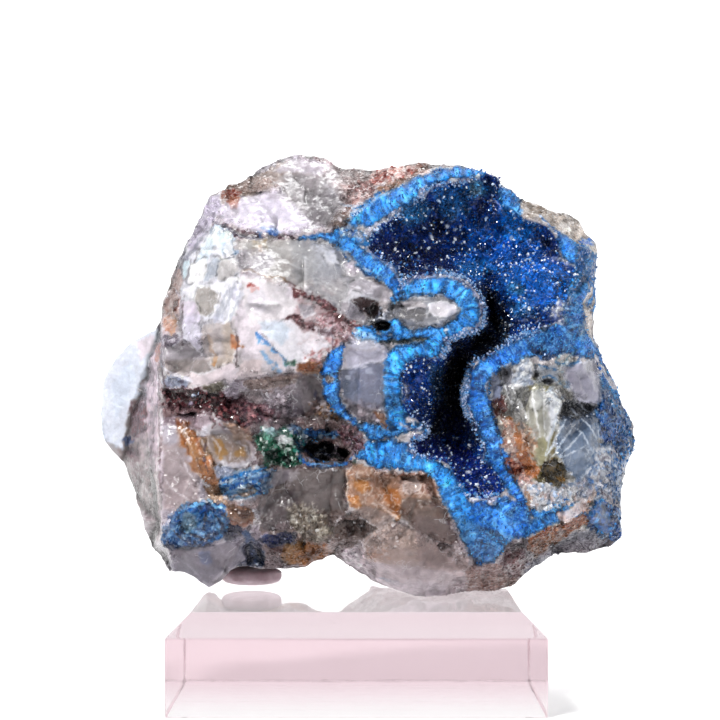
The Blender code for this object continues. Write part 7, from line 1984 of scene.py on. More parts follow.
def noise3(X, cell, seed, octaves=3, gain=0.55):
    """Smooth noise at points X (mm); cell in mm."""
    rng = np.random.default_rng(seed)
    out = np.zeros(len(X))
    amp, tot = 1.0, 0.0
    for _ in range(octaves):
        g = (X + 60.0) / cell + rng.random(3)
        i = np.floor(g).astype(int)
        f = g - i
        f = f * f * (3 - 2 * f)
        m = 64
        lat = rng.uniform(-1, 1, (m, m, m))
        i %= m
        j = (i + 1) % m
        acc = 0
        for a in (0, 1):
            for b in (0, 1):
                for c in (0, 1):
                    w = ((f[:, 0] if a else 1 - f[:, 0]) * (f[:, 1] if b else 1 - f[:, 1])
                         * (f[:, 2] if c else 1 - f[:, 2]))
                    acc = acc + w * lat[(j if a else i)[:, 0], (j if b else i)[:, 1],
                                        (j if c else i)[:, 2]]
        out += amp * acc
        tot += amp * 0.55
        amp *= gain
        cell *= 0.5
    return out / tot


DEPTH = py - sample(ZF, pu, pv)
# where the front slopes steeply back on the right flank, the pattern drifts as it
# goes back, so it doesn't run in straight streaks
drift = smooth(0.72, 0.93, np.sqrt(np.clip(1 - VN[:, 1] ** 2, 0, 1))) * smooth(-7.5, -2.5, py)
drift = drift * smooth(570, 600, pu) * smooth(236, 266, pv)
qu = pu + drift * (16 * noise3(P, 2.4, 221, 3) + 16 * (390 - pu) / 260)
qv = pv + drift * (16 * noise3(P, 2.4, 222, 3) + 16 * (360 - pv) / 220)
sd_b = sample(SD_B, qu, qv)
sd_n = sample(SD_N, qu, qv)
sd_p = sample(SD_P, qu, qv)

# front paint, running over the edge for a little way
colour = sample(PAINT, qu, qv)

# sides and back: milky and smoky quartz with iron stain and a few blue films
a = noise3(P, 9.0, 201, 4)
b = noise3(P, 6.0, 202, 4)
c = noise3(P, 3.2, 203, 4)
d = noise3(P, 12.0, 204, 3)
rear = np.zeros_like(P) + np.array([178, 173, 172])


def tint(rear, rgb, w):
    w = np.clip(w, 0, 1)[:, None]
    return rear * (1 - w) + np.array(rgb) * w


rear = tint(rear, (222, 218, 226), smooth(0.05, 0.55, a) * 0.9)
rear = tint(rear, (140, 126, 124), smooth(0.10, 0.60, -a) * 0.85)
grit = noise3(P, 0.9, 205, 3)
rear = tint(rear, (178, 134, 104), smooth(0.25, 0.95, b + 0.35 * c + 0.25 * grit) * 0.75)
rear = tint(rear, (120, 88, 84), smooth(0.40, 1.0, -b + 0.35 * c + 0.3 * grit) * 0.8)
rear = tint(rear, (206, 184, 176), smooth(0.25, 0.6, c) * 0.5)
rear = tint(rear, (96, 60, 66), smooth(0.10, 0.02, np.abs(d + 0.25 * c)) * 0.35)
blue_film = smooth(0.52, 0.80, 0.6 * d + 0.6 * c + 0.016 * (P[:, 0] - 4) - 0.03 * np.abs(P[:, 2] - 30))
# painted light: the sides and back lighter where they face up, darker where they face down
lean = VN @ np.array([0.25, 0.35, 0.90])
rear = rear * (0.95 + 0.13 * lean + 0.05 * grit)[:, None]
# painted shade: the underside, just above the block, darker, and redder near x = -4.5 mm
under = smooth(10.6, 9.9, P[:, 2])
rear = tint(rear, (92, 62, 64), under * 0.85)
rear = tint(rear, (92, 50, 62), under * smooth(3.0, 1.0, np.abs(P[:, 0] + 4.5 + 1.5 * c)) * 0.85)
run = np.clip(smooth(0.9, 3.0, DEPTH + 0.5 * c), 0, 1)
colour = colour * (1 - run[:, None]) + rear * run[:, None]

w_blue = np.maximum(smooth(-0.9, 1.3, sd_b), 0.92 * smooth(-0.6, 1.2, sd_n))
w_blue = w_blue * (1 - smooth(0.8, 3.0, DEPTH + 0.6 * c)) * (1 - sample(COVER, qu, qv))
w_blue = np.maximum(w_blue, run * blue_film * 0.9)
inner = smooth(-0.5, 1.0, sd_p) * (1 - w_blue) * (1 - smooth(0.8, 2.4, DEPTH)) * (1 - sample(COVER, qu, qv))
w_navy = inner

# which points go where: 0 quartz front left, 1 quartz front right, 2 bands, 3 lining, 4, 5 back
half_u = 300.0
KIND = np.where(pu < half_u, 0, 1)
KIND = np.where((w_blue > 0.5) & (run < 0.5), 2, KIND)
KIND = np.where((w_navy > 0.5) & (run < 0.5), 3, KIND)
KIND = np.where((DEPTH > 1.4) & (run >= 0.5), np.where(pu < 360, 4, 5), KIND)
qk = np.median(KIND[quads], axis=1).astype(int)

fib = np.stack([sample(ALONG, pu, pv), sample(ACROSS, pu, pv), sd_b], 1)
# where one stroke's run meets the next, take the nearer value rather than a mean
ni = np.clip(np.round((pu - R0U) / RS).astype(int), 0, NU - 1)
nj = np.clip(np.round((pv - R0V) / RS).astype(int), 0, NV - 1)
fib[:, 0] = ALONG[ni, nj]
far = sd_b < -6
fib[far, 0] = (P[far, 0] + P[far, 2]) * 10
fib[far, 1] = (P[far, 1]) * 10

paint = np.concatenate([linear(colour), np.ones((len(P), 1))], 1)
zone = np.stack([w_blue, w_navy, ROUGH[ni, nj], run], 1)


def mesh_object(name, verts, faces, sizes=None, colours=None, zones=None, fibres=None,
                normals=None, smooth_shade=True):
    """A mesh from arrays, positions in mm."""
    me = bpy.data.meshes.new(name)
    faces = np.asarray(faces)
    if sizes is None:
        sizes = np.full(len(faces), faces.shape[1])
        loops = faces.reshape(-1)
    else:
        loops = faces
    me.vertices.add(len(verts))
    me.vertices.foreach_set("co", (np.asarray(verts) * MM).astype(np.float32).reshape(-1))
    me.loops.add(len(loops))
    me.loops.foreach_set("vertex_index", loops.astype(np.int32))
    me.polygons.add(len(sizes))
    start = np.concatenate([[0], np.cumsum(sizes)[:-1]]).astype(np.int32)
    me.polygons.foreach_set("loop_start", start)
    me.update(calc_edges=True)
    me.validate(clean_customdata=False)
    for key, arr in (("paint", colours), ("zone", zones)):
        if arr is not None:
            at = me.attributes.new(key, "FLOAT_COLOR", "POINT")
            at.data.foreach_set("color", np.asarray(arr, np.float32).reshape(-1))
    if fibres is not None:
        at = me.attributes.new("fibre", "FLOAT_VECTOR", "POINT")
        at.data.foreach_set("vector", np.asarray(fibres, np.float32).reshape(-1))
    me.polygons.foreach_set("use_smooth", np.full(len(me.polygons), smooth_shade))
    if normals is not None:
        me.normals_split_custom_set_from_vertices([tuple(n) for n in normals])
    ob = bpy.data.objects.new(name, me)
    bpy.context.scene.collection.objects.link(ob)
    return ob


# =============================================================================
# Materials
# =============================================================================


class Nodes:
    def __init__(self, name):
        self.mat = bpy.data.materials.new(name)
        self.mat.use_nodes = True
        self.t = self.mat.node_tree
        self.t.nodes.clear()
        self.out = self.t.nodes.new("ShaderNodeOutputMaterial")
        self.bsdf = self.t.nodes.new("ShaderNodeBsdfPrincipled")
        self.t.links.new(self.bsdf.outputs[0], self.out.inputs["Surface"])

    def put(self, socket, value):
        if isinstance(value, bpy.types.NodeSocket):
            self.t.links.new(value, socket)
        else:
            socket.default_value = value

    def node(self, kind, **inputs):
        n = self.t.nodes.new(kind)
        for k, v in inputs.items():
            if k.startswith("_"):
                setattr(n, k[1:], v)
            else:
                self.put(n.inputs[int(k[1:]) if k[0] == "i" and k[1:].isdigit() else k.replace("_", " ")], v)
        return n

    def math(self, op, a, b=0.0, c=None, clamp=False):
        n = self.t.nodes.new("ShaderNodeMath")
        n.operation = op
        n.use_clamp = clamp
        self.put(n.inputs[0], a)
        self.put(n.inputs[1], b)
        if c is not None:
            self.put(n.inputs[2], c)
        return n.outputs[0]

    def remap(self, v, a, b, c=0.0, d=1.0):
        n = self.t.nodes.new("ShaderNodeMapRange")
        n.interpolation_type = "SMOOTHSTEP"
        for k, x in enumerate((v, a, b, c, d)):
            self.put(n.inputs[k], x)
        return n.outputs[0]

    def mix(self, w, a, b, mode="MIX"):
        n = self.t.nodes.new("ShaderNodeMix")
        n.data_type = "RGBA"
        n.blend_type = mode
        self.put(n.inputs[0], w)
        self.put(n.inputs[6], a)
        self.put(n.inputs[7], b)
        return n.outputs[2]

    def ramp(self, v, stops, mode="LINEAR"):
        n = self.t.nodes.new("ShaderNodeValToRGB")
        n.color_ramp.interpolation = mode
        e = n.color_ramp.elements
        while len(e) < len(stops):
            e.new(0.5)
        for k, (p, c) in enumerate(stops):
            e[k].position = p
            e[k].color = (*[float(x) for x in linear(c)], 1.0)
        self.put(n.inputs[0], v)
        return n.outputs[0]

    def attr(self, name, out="Color"):
        n = self.t.nodes.new("ShaderNodeAttribute")
        n.attribute_name = name
        return n.outputs[out]

    def noise(self, vec, scale, detail=4.0, rough=0.55, distortion=0.0):
        n = self.t.nodes.new("ShaderNodeTexNoise")
        self.put(n.inputs["Vector"], vec)
        n.inputs["Scale"].default_value = scale
        n.inputs["Detail"].default_value = detail
        n.inputs["Roughness"].default_value = rough
        n.inputs["Distortion"].default_value = distortion
        return n.outputs[0]

    def voronoi(self, vec, scale, feature="F1", out="Distance", rand=1.0):
        n = self.t.nodes.new("ShaderNodeTexVoronoi")
        n.feature = feature
        self.put(n.inputs["Vector"], vec)
        n.inputs["Scale"].default_value = scale
        n.inputs["Randomness"].default_value = rand
        return n.outputs[out]

    def bump(self, height, strength, distance, normal=None):
        n = self.t.nodes.new("ShaderNodeBump")
        n.inputs["Strength"].default_value = strength
        n.inputs["Distance"].default_value = distance
        self.put(n.inputs["Height"], height)
        if normal is not None:
            self.put(n.inputs["Normal"], normal)
        return n.outputs[0]


def stone_material(name):
    m = Nodes(name)
    co = m.t.nodes.new("ShaderNodeTexCoord").outputs["Object"]
    paint = m.attr("paint")
    z = m.node("ShaderNodeSeparateColor", i0=m.attr("zone"))
    blue, navy, rough = z.outputs[0], z.outputs[1], z.outputs[2]
    f = m.node("ShaderNodeSeparateXYZ", i0=m.attr("fibre", "Vector"))
    along, across, sd = f.outputs[0], f.outputs[1], f.outputs[2]

    # quartz: the paint, mottled, with thin pale and dark fractures
    n_big = m.noise(co, 420, 6, 0.6, 0.3)
    n_mid = m.noise(co, 1500, 5, 0.62, 0.2)
    n_fine = m.noise(co, 5200, 3, 0.6)
    warp = m.t.nodes.new("ShaderNodeTexNoise")
    m.put(warp.inputs["Vector"], co)
    warp.inputs["Scale"].default_value = 900
    n_col = warp.outputs["Color"]
    crack = m.voronoi(m.node("ShaderNodeVectorMath", _operation="MULTIPLY_ADD", i0=n_col,
                              i1=(0.0012, 0.0012, 0.0012), i2=co).outputs[0], 560, "DISTANCE_TO_EDGE")
    shade = m.math("ADD", m.remap(n_big, 0.32, 0.68, 0.97, 1.05), m.remap(n_mid, 0.3, 0.7, -0.05, 0.04))
    shade = m.math("ADD", shade, m.remap(n_fine, 0.3, 0.7, -0.04, 0.04))
    q = m.mix(1.0, paint, m.node("ShaderNodeCombineColor", i0=shade, i1=shade, i2=shade).outputs[0], "MULTIPLY")
    pale = m.math("MULTIPLY", m.remap(n_mid, 0.62, 0.70), 0.16)
    q = m.mix(pale, q, (0.78, 0.77, 0.80, 1))
    line = m.math("MULTIPLY", m.remap(crack, 0.035, 0.0), m.remap(n_big, 0.50, 0.62, 0.0, 0.34))
    q = m.mix(line, q, (0.80, 0.79, 0.82, 1))

    # azure: fibres standing across the band, clotted light and dark
    fv = m.node("ShaderNodeCombineXYZ", i0=m.math("MULTIPLY", along, 0.36),
                i1=m.math("MULTIPLY", across, 0.055), i2=m.math("MULTIPLY", sd, 0.05)).outputs[0]
    fibre = m.noise(fv, 1.0, 4, 0.6, 0.35)
    clot = m.noise(co, 1250, 5, 0.6, 0.2)
    speck = m.noise(co, 3600, 3, 0.6)
    tone = m.math("ADD", m.math("MULTIPLY", fibre, 1.45), m.math("MULTIPLY", clot, 0.40))
    tone = m.math("ADD", m.math("SUBTRACT", tone, 0.58), m.math("MULTIPLY", speck, 0.42))
    # lighter towards the band's middle, deeper along its edges
    tone = m.math("ADD", tone, m.remap(sd, -0.5, 5.0, -0.12, 0.05))
    cv = m.node("ShaderNodeVectorMath", _operation="MULTIPLY_ADD", i0=n_col,
                i1=(0.0009, 0.0009, 0.0009), i2=co).outputs[0]
    vein = m.remap(m.voronoi(cv, 2300, "DISTANCE_TO_EDGE"), 0.11, 0.01)
    cell = m.node("ShaderNodeSeparateColor", i0=m.voronoi(cv, 2300, "F1", "Color")).outputs[0]
    tone = m.math("ADD", tone, m.math("MULTIPLY", m.math("SUBTRACT", cell, 0.5), 0.20))
    k = m.remap(tone, 0.20, 0.88, 0.34, 1.62)
    azure = m.mix(1.0, paint, m.node("ShaderNodeCombineColor", i0=k, i1=k, i2=k).outputs[0], "MULTIPLY")
    azure = m.mix(m.math("MULTIPLY", m.remap(tone, 0.62, 0.86), 0.45), azure, (0.17, 0.50, 0.86, 1))
    azure = m.mix(m.math("MULTIPLY", vein, m.remap(clot, 0.44, 0.60, 0.0, 0.60)), azure, (0.16, 0.48, 0.84, 1))

    # navy: granular, sparkling
    grain = m.voronoi(co, 4200, "F1", "Color")
    gsep = m.node("ShaderNodeSeparateColor", i0=grain).outputs[0]
    nn = m.math("ADD", m.math("MULTIPLY", gsep, 0.45), m.math("MULTIPLY", m.noise(co, 900, 5, 0.6), 0.65))
    k = m.remap(nn, 0.30, 0.80, 0.45, 1.9)
    dark = m.mix(1.0, paint, m.node("ShaderNodeCombineColor", i0=k, i1=k, i2=k).outputs[0], "MULTIPLY")

    base = m.mix(navy, q, dark)
    base = m.mix(blue, base, azure)
    m.put(m.bsdf.inputs["Base Color"], base)

    r = m.remap(n_mid, 0.3, 0.7, 0.16, 0.34)
    r = m.math("MULTIPLY", r, m.remap(rough, 0.3, 1.2, 0.82, 1.15))
    r = m.math("ADD", r, m.math("MULTIPLY", blue, 0.38), clamp=True)
    m.put(m.bsdf.inputs["Roughness"], r)
    m.bsdf.inputs["IOR"].default_value = 1.54
    m.put(m.bsdf.inputs["Subsurface Weight"],
          m.math("MULTIPLY", 0.18, m.math("SUBTRACT", 1.0, m.math("MAXIMUM", blue, navy)), clamp=True))
    m.bsdf.inputs["Subsurface Radius"].default_value = (1.0, 0.92, 0.9)
    m.bsdf.inputs["Subsurface Scale"].default_value = 0.0007

    def tilted(scale):
        v = m.t.nodes.new("ShaderNodeTexVoronoi")
        m.put(v.inputs["Vector"], wco)
        v.inputs["Scale"].default_value = scale
        arm = m.node("ShaderNodeVectorMath", _operation="SUBTRACT", i0=wco, i1=v.outputs["Position"]).outputs[0]
        lean = m.node("ShaderNodeVectorMath", _operation="SUBTRACT", i0=v.outputs["Color"],
                      i1=(0.5, 0.5, 0.5)).outputs[0]
        return m.node("ShaderNodeVectorMath", _operation="DOT_PRODUCT", i0=arm, i1=lean).outputs["Value"]

    wco = m.node("ShaderNodeVectorMath", _operation="MULTIPLY_ADD", i0=n_col,
                 i1=(0.0003, 0.0003, 0.0003), i2=co).outputs[0]
    planes = m.math("ADD", tilted(1050), m.math("MULTIPLY", tilted(2400), 0.9))
    planes = m.math("MULTIPLY", planes, m.math("MULTIPLY", m.math("SUBTRACT", 1.0, blue), m.remap(rough, 0.2, 0.8, 0.35, 1.0)))
    facet_n = m.bump(planes, 0.75, 1.0)
    h = m.math("ADD", m.math("MULTIPLY", n_mid, 0.34), m.math("MULTIPLY", n_fine, 0.10))
    h = m.math("ADD", h, m.math("MULTIPLY", m.remap(crack, 0.0, 0.06), 0.10))
    h = m.math("ADD", m.math("MULTIPLY", h, m.math("SUBTRACT", 1.0, blue)),
               m.math("MULTIPLY", m.math("ADD", m.math("ADD", m.math("MULTIPLY", fibre, 1.3), speck), m.math("MULTIPLY", cell, 0.6)), blue))
    m.put(m.bsdf.inputs["Normal"], m.bump(h, 0.5, 0.0002, facet_n))
    return m.mat


def crystal_material(name, rough, weight, glow=0.0):
    m = Nodes(name)
    co = m.t.nodes.new("ShaderNodeTexCoord").outputs["Object"]
    n = m.noise(co, 2600, 4, 0.6)
    shade = m.remap(n, 0.3, 0.7, 0.72, 1.25)
    c = m.mix(1.0, m.attr("paint"), m.node("ShaderNodeCombineColor", i0=shade, i1=shade, i2=shade).outputs[0],
              "MULTIPLY")
    m.put(m.bsdf.inputs["Base Color"], c)
    m.put(m.bsdf.inputs["Roughness"], m.remap(m.noise(co, 900, 3), 0.3, 0.7, rough, rough + 0.18))
    m.bsdf.inputs["IOR"].default_value = 1.55
    m.bsdf.inputs["Coat Weight"].default_value = weight
    m.bsdf.inputs["Coat Roughness"].default_value = 0.06
    m.put(m.bsdf.inputs["Normal"], m.bump(m.noise(co, 6000, 3), 0.25, 0.00008))
    # painted glints: the palest crystals glow a little, though they are no lamp
    bright = m.node("ShaderNodeSeparateColor", i0=m.attr("paint")).outputs[0]
    m.put(m.bsdf.inputs["Emission Color"], c)
    m.put(m.bsdf.inputs["Emission Strength"], m.remap(bright, 0.35, 0.80, 0.0, glow))
    return m.mat


STONE = stone_material("stone_painted_quartz")
DRUSE = crystal_material("druse_crystals", 0.10, 0.5, 0.30)
FIBRES = crystal_material("azure_fibres", 0.42, 0.0)
CHIPS = crystal_material("quartz_shards", 0.14, 0.25)

# =============================================================================
# The stone's pieces
# =============================================================================
PIECES = ["quartz_front_left", "quartz_front_right", "shattuckite_bands", "druse_lining",
          "quartz_back_left", "quartz_back_right"]
parts = []
for k, name in enumerate(PIECES):
    q = quads[qk == k]
    used, inv = np.unique(q, return_inverse=True)
    q = inv.reshape(q.shape)
    # a quad whose points were gathered into one is a triangle
    rows, sizes = [], []
    dup = (q == np.roll(q, -1, axis=1))
    tri = dup.any(1)
    quad4 = q[~tri]
    tri3 = []
    for row, dd in zip(q[tri], dup[tri]):
        tri3.append([x for x, y in zip(row, dd) if not y])
    tri3 = np.array([t for t in tri3 if len(t) == 3], int).reshape(-1, 3)
    loops = np.concatenate([quad4.reshape(-1), tri3.reshape(-1)])
    sizes = np.concatenate([np.full(len(quad4), 4), np.full(len(tri3), 3)])
    print(name, "triangles", 2 * len(quad4) + len(tri3))
    ob = mesh_object(name, P[used], loops, sizes, paint[used], zone[used], fib[used], VN[used])
    ob.data.materials.append(STONE)
    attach(ob, "root")
    parts.append(ob)
for ob in parts:
    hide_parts("specimen")

# =============================================================================
# Crystals over the lining, and fibres over the bands
# =============================================================================


def frames(n):
    """Two axes square to each normal."""
    ref = np.where(np.abs(n[:, 2:3]) < 0.9, np.array([[0, 0, 1.0]]), np.array([[1.0, 0, 0]]))
    a = np.cross(n, ref)
    a /= np.linalg.norm(a, axis=1, keepdims=True)
    return a, np.cross(n, a)


def hex_crystals(name, at, axis, radius, height, tip, spin, colours, mat):
    """Six-sided prisms with pyramid ends."""
    n = len(at)
    a, b = frames(axis)
    ang = spin[:, None] + np.arange(6)[None] * math.pi / 3
    ringv = (np.cos(ang)[..., None] * a[:, None] + np.sin(ang)[..., None] * b[:, None]) * radius[:, None, None]
    low = at[:, None] + ringv - axis[:, None] * (0.5 * radius)[:, None, None]
    top = at[:, None] + ringv * 0.94 + axis[:, None] * (height - tip)[:, None, None]
    apex = at[:, None] + axis[:, None] * height[:, None, None]
    verts = np.concatenate([low, top, apex], 1).reshape(-1, 3)
    side = np.array([[k, (k + 1) % 6, 6 + (k + 1) % 6, 6 + k] for k in range(6)])
    cap = np.array([[6 + k, 6 + (k + 1) % 6, 12] for k in range(6)])
    off = (np.arange(n) * 13)[:, None, None]
    q = (side[None] + off).reshape(-1, 4)
    t = (cap[None] + off).reshape(-1, 3)
    loops = np.concatenate([q.reshape(-1), t.reshape(-1)])
    sizes = np.concatenate([np.full(len(q), 4), np.full(len(t), 3)])
    c = np.repeat(linear(colours), 13, axis=0)
    ob = mesh_object(name, verts, loops, sizes, np.concatenate([c, np.ones((len(c), 1))], 1),
                     smooth_shade=False)
    ob.data.materials.append(mat)
    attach(ob, "root")
    return ob


rng = np.random.default_rng(77)
area = np.linalg.norm(face_normals(P, quads), axis=1) * 0.5
cen = P[quads].mean(1)
cn = VN[quads].mean(1)
cn /= np.maximum(np.linalg.norm(cn, axis=1, keepdims=True), 1e-9)
q_navy = w_navy[quads].mean(1)
q_sdp = sd_p[quads].mean(1)
q_u, q_v = pu[quads].mean(1), pv[quads].mean(1)
q_depth = DEPTH[quads].mean(1)
q_blue = w_blue[quads].mean(1)


def scatter(weight, n):
    p = weight / weight.sum()
    return rng.choice(len(p), n, p=p)


N1 = 10500
pick = scatter(area * (q_navy > 0.35) * (q_depth < 0.8) * (q_sdp > 0.5), N1)
at = cen[pick] + rng.normal(0, 0.05, (N1, 3))
ax = cn[pick] + rng.normal(0, 0.34, (N1, 3))
ax /= np.linalg.norm(ax, axis=1, keepdims=True)
rad = rng.uniform(0.05, 0.13, N1) * (1 + 0.6 * (rng.random(N1) > 0.95))
hgt = rad * rng.uniform(1.3, 2.6, N1)
u_, v_ = q_u[pick], q_v[pick]
kind = rng.random(N1)
depth_dark = smooth(-7.5, -1.0, at[:, 1])
light = 0.5 + 0.5 * noise3(at, 3.0, 301, 3)
own = sample(PAINT, u_, v_)
col = own * (0.55 + 0.75 * light[:, None]) * (0.8 + 0.4 * rng.random((N1, 1)))
col = np.where((kind > 0.76)[:, None], own * 1.05 + np.array([7, 36, 52]), col)
col = np.where((kind > 0.91)[:, None], own * 0.8 + np.array([46, 96, 130]), col)
# painted glints: a few crystals near-white, more where the paint is bluer, standing in for sparkle
lit = 0.989 - 0.052 * smooth(30, 100, own[:, 2])
shine = rng.random((N1, 1)) ** 0.6
col = np.clip(np.where((kind > lit)[:, None], np.array([130, 176, 226]) * (1 - shine)
                       + np.array([240, 244, 252]) * shine, col), 2, 252)
big = kind > lit
rad[big] = rng.uniform(0.06, 0.145, int(big.sum()))
hgt[big] = rad[big] * 2.4
away = smooth(-0.45, -0.15, cn[pick][:, 1])
rad *= 1 - 0.45 * away
hgt *= 1 - 0.55 * away
# painted shade: crystals darker down in the crevice
crevice = np.clip(smooth(300, 345, v_) * smooth(475, 400, v_) * smooth(-5.5, -1.5, at[:, 1]), 0, 1)
col = col * (1 - 0.45 * crevice[:, None])
hex_crystals("druse_crystals", at, ax, rad, hgt, rad * 0.9, rng.uniform(0, 6.28, N1), col, DRUSE)

# pale crystals in a line along the pocket's rim
N2 = 1700
rim = np.exp(-((q_sdp - 0.6) / 2.0) ** 2) * (0.25 + np.clip(q_blue + q_navy, 0, 1))
spots = [(374, 227, 9, 2.5), (422, 192, 9, 2.0), (458, 180, 16, 1.2), (460, 332, 18, 2.0),
         (467, 400, 18, 1.4), (411, 447, 8, 1.6), (420, 435, 8, 1.6), (485, 497, 16, 1.4),
         (524, 335, 16, 1.6), (452, 280, 14, 1.0), (404, 285, 8, 1.2), (392, 213, 10, 1.0)]
more = np.full(len(rim), 0.12)
for (a0, b0, r0, k0) in spots:
    more += k0 * np.exp(-(((q_u - a0) ** 2 + (q_v - b0) ** 2) / r0 ** 2))
pick = scatter(area * rim * more * (q_depth < 0.8), N2)
at = cen[pick] + rng.normal(0, 0.06, (N2, 3))
ax = cn[pick] + rng.normal(0, 0.4, (N2, 3))
ax /= np.linalg.norm(ax, axis=1, keepdims=True)
rad = rng.uniform(0.05, 0.13, N2)
hgt = rad * rng.uniform(1.5, 3.2, N2)
g = rng.random((N2, 1))
col = np.array([70, 138, 204]) * (1 - g) + np.array([210, 216, 238]) * g
hex_crystals("rim_crystals", at, ax, rad, hgt, rad * 0.9, rng.uniform(0, 6.28, N2), col, DRUSE)

# short azure fibres bristling from the bands
N3 = 2600
pick = scatter(area * (q_blue > 0.6) * (q_depth < 0.8), N3)
at = cen[pick] + rng.normal(0, 0.05, (N3, 3))
ax = cn[pick] + rng.normal(0, 0.45, (N3, 3))
ax /= np.linalg.norm(ax, axis=1, keepdims=True)
rad = rng.uniform(0.035, 0.085, N3)
hgt = rng.uniform(0.12, 0.34, N3) * (1 - 0.6 * smooth(-0.5, -0.15, cn[pick][:, 1]))
g = rng.random((N3, 1)) ** 1.3
col = np.array([6, 84, 160]) * (1 - g) + np.array([92, 180, 234]) * g
hex_crystals("azure_fibres", at, ax, rad, hgt, hgt * 0.5, rng.uniform(0, 6.28, N3), col, FIBRES)

# angular shards standing in the broken quartz, in the colour of the place
N4 = 9000
q_rough = ROUGH[np.clip(((q_u - R0U) / RS).astype(int), 0, NU - 1), np.clip(((q_v - R0V) / RS).astype(int), 0, NV - 1)]
pick = scatter(area * (q_blue < 0.2) * (q_navy < 0.2) * (q_depth < 0.8) * smooth(0.45, 1.0, q_rough) * smooth(-0.25, -0.5, cn[:, 1]), N4)
ax = cn[pick] + rng.normal(0, 0.30, (N4, 3))
ax /= np.linalg.norm(ax, axis=1, keepdims=True)
rad = rng.uniform(0.10, 0.20, N4) + 0.16 * rng.random(N4) ** 4
high = rad * rng.uniform(0.25, 0.75, N4)
at = cen[pick] - ax * (high * 0.45)[:, None]
fa, fb = frames(ax)
ang = np.sort(rng.uniform(0, 2 * math.pi, (N4, 5)) * 0.35 + np.arange(5)[None] * 2 * math.pi / 5 * 1.0, axis=1)
far_ = rng.uniform(0.65, 1.25, (N4, 5)) * rad[:, None]
low = at[:, None] + (np.cos(ang) * far_)[..., None] * fa[:, None] + (np.sin(ang) * far_)[..., None] * fb[:, None]
slant = rng.normal(0, 0.25, (N4, 1, 3)) * high[:, None, None]
top = at[:, None] + (low - at[:, None]) * 0.62 + ax[:, None] * high[:, None, None] + slant
verts = np.concatenate([low - ax[:, None] * 0.05, top], 1).reshape(-1, 3)
side = np.array([[k, (k + 1) % 5, 5 + (k + 1) % 5, 5 + k] for k in range(5)])
cap = np.array([[5, 6, 7, 8, 9]])
off = (np.arange(N4) * 10)[:, None, None]
loops = np.concatenate([(side[None] + off).reshape(-1), (cap[None] + off).reshape(-1)])
sizes = np.concatenate([np.full(N4 * 5, 4), np.full(N4, 5)])
own = sample(PAINT, q_u[pick], q_v[pick])
kind = rng.random((N4, 1))
col = own * rng.uniform(0.92, 1.14, (N4, 1))
pale_ = 0.97 - 0.10 * smooth(110, 200, own.mean(1, keepdims=True))
col = np.where(kind > pale_, own * 0.5 + np.array([238, 238, 244]) * 0.5, col)
col = np.where(kind < 0.06, own * 0.84, col)
c = np.repeat(linear(np.clip(col, 4, 250)), 10, axis=0)
ob = mesh_object("quartz_shards", verts, loops, sizes, np.concatenate([c, np.ones((len(c), 1))], 1),
                 smooth_shade=False)
ob.data.materials.append(CHIPS)
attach(ob, "root")

# =============================================================================
# The clear block and the dab of putty
# =============================================================================


def clear_material(name):
    m = Nodes(name)
    co = m.t.nodes.new("ShaderNodeTexCoord").outputs["Object"]
    n = m.noise(co, 160, 4, 0.5)
    m.put(m.bsdf.inputs["Base Color"], m.mix(m.remap(n, 0.3, 0.7), (0.975, 0.965, 0.965, 1), (0.99, 0.985, 0.985, 1)))
    m.bsdf.inputs["Transmission Weight"].default_value = 1.0
    m.bsdf.inputs["IOR"].default_value = 1.49
    m.put(m.bsdf.inputs["Roughness"], m.remap(m.noise(co, 90, 5), 0.35, 0.75, 0.0, 0.05))
    vol = m.t.nodes.new("ShaderNodeVolumeAbsorption")
    vol.inputs["Color"].default_value = (0.84, 0.76, 0.785, 1)
    vol.inputs["Density"].default_value = 85.0
    m.t.links.new(vol.outputs[0], m.out.inputs["Volume"])
    scratch = m.noise(m.node("ShaderNodeMapping", i0=co, Scale=(1.0, 1.0, 9.0)).outputs[0], 260, 6, 0.65)
    m.put(m.bsdf.inputs["Normal"], m.bump(scratch, 0.02, 0.0003))
    return m.mat


def putty_material(name):
    m = Nodes(name)
    co = m.t.nodes.new("ShaderNodeTexCoord").outputs["Object"]
    n = m.noise(co, 500, 5, 0.6)
    m.put(m.bsdf.inputs["Base Color"], m.ramp(n, [(0.3, (160, 138, 146)), (0.55, (196, 178, 186)), (0.75, (222, 210, 216))]))
    m.put(m.bsdf.inputs["Roughness"], m.remap(n, 0.3, 0.7, 0.28, 0.5))
    m.bsdf.inputs["Subsurface Weight"].default_value = 0.6
    m.bsdf.inputs["Subsurface Radius"].default_value = (1.2, 0.9, 0.9)
    m.bsdf.inputs["Subsurface Scale"].default_value = 0.0015
    m.put(m.bsdf.inputs["Normal"], m.bump(m.noise(co, 1400, 4), 0.3, 0.0003))
    return m.mat


W, H, BV = 35.4 / 2, 9.5, 2.2
bm = bmesh.new()
low = [bm.verts.new((x * W, y * W, 0.0)) for x, y in ((-1, -1), (1, -1), (1, 1), (-1, 1))]
mid = [bm.verts.new((x * W, y * W, H - BV)) for x, y in ((-1, -1), (1, -1), (1, 1), (-1, 1))]
top = [bm.verts.new((x * (W - BV), y * (W - BV), H)) for x, y in ((-1, -1), (1, -1), (1, 1), (-1, 1))]
bm.faces.new(low[::-1])
bm.faces.new(top)
for k in range(4):
    j = (k + 1) % 4
    bm.faces.new((low[k], low[j], mid[j], mid[k]))
    bm.faces.new((mid[k], mid[j], top[j], top[k]))
bmesh.ops.bevel(bm, geom=bm.edges[:], offset=0.16, segments=3, profile=0.6, affect="EDGES")
bmesh.ops.recalc_face_normals(bm, faces=bm.faces[:])
for v in bm.verts:
    v.co *= MM
me = bpy.data.meshes.new("clear_block")
bm.to_mesh(me)
bm.free()
block = bpy.data.objects.new("clear_block", me)
bpy.context.scene.collection.objects.link(block)
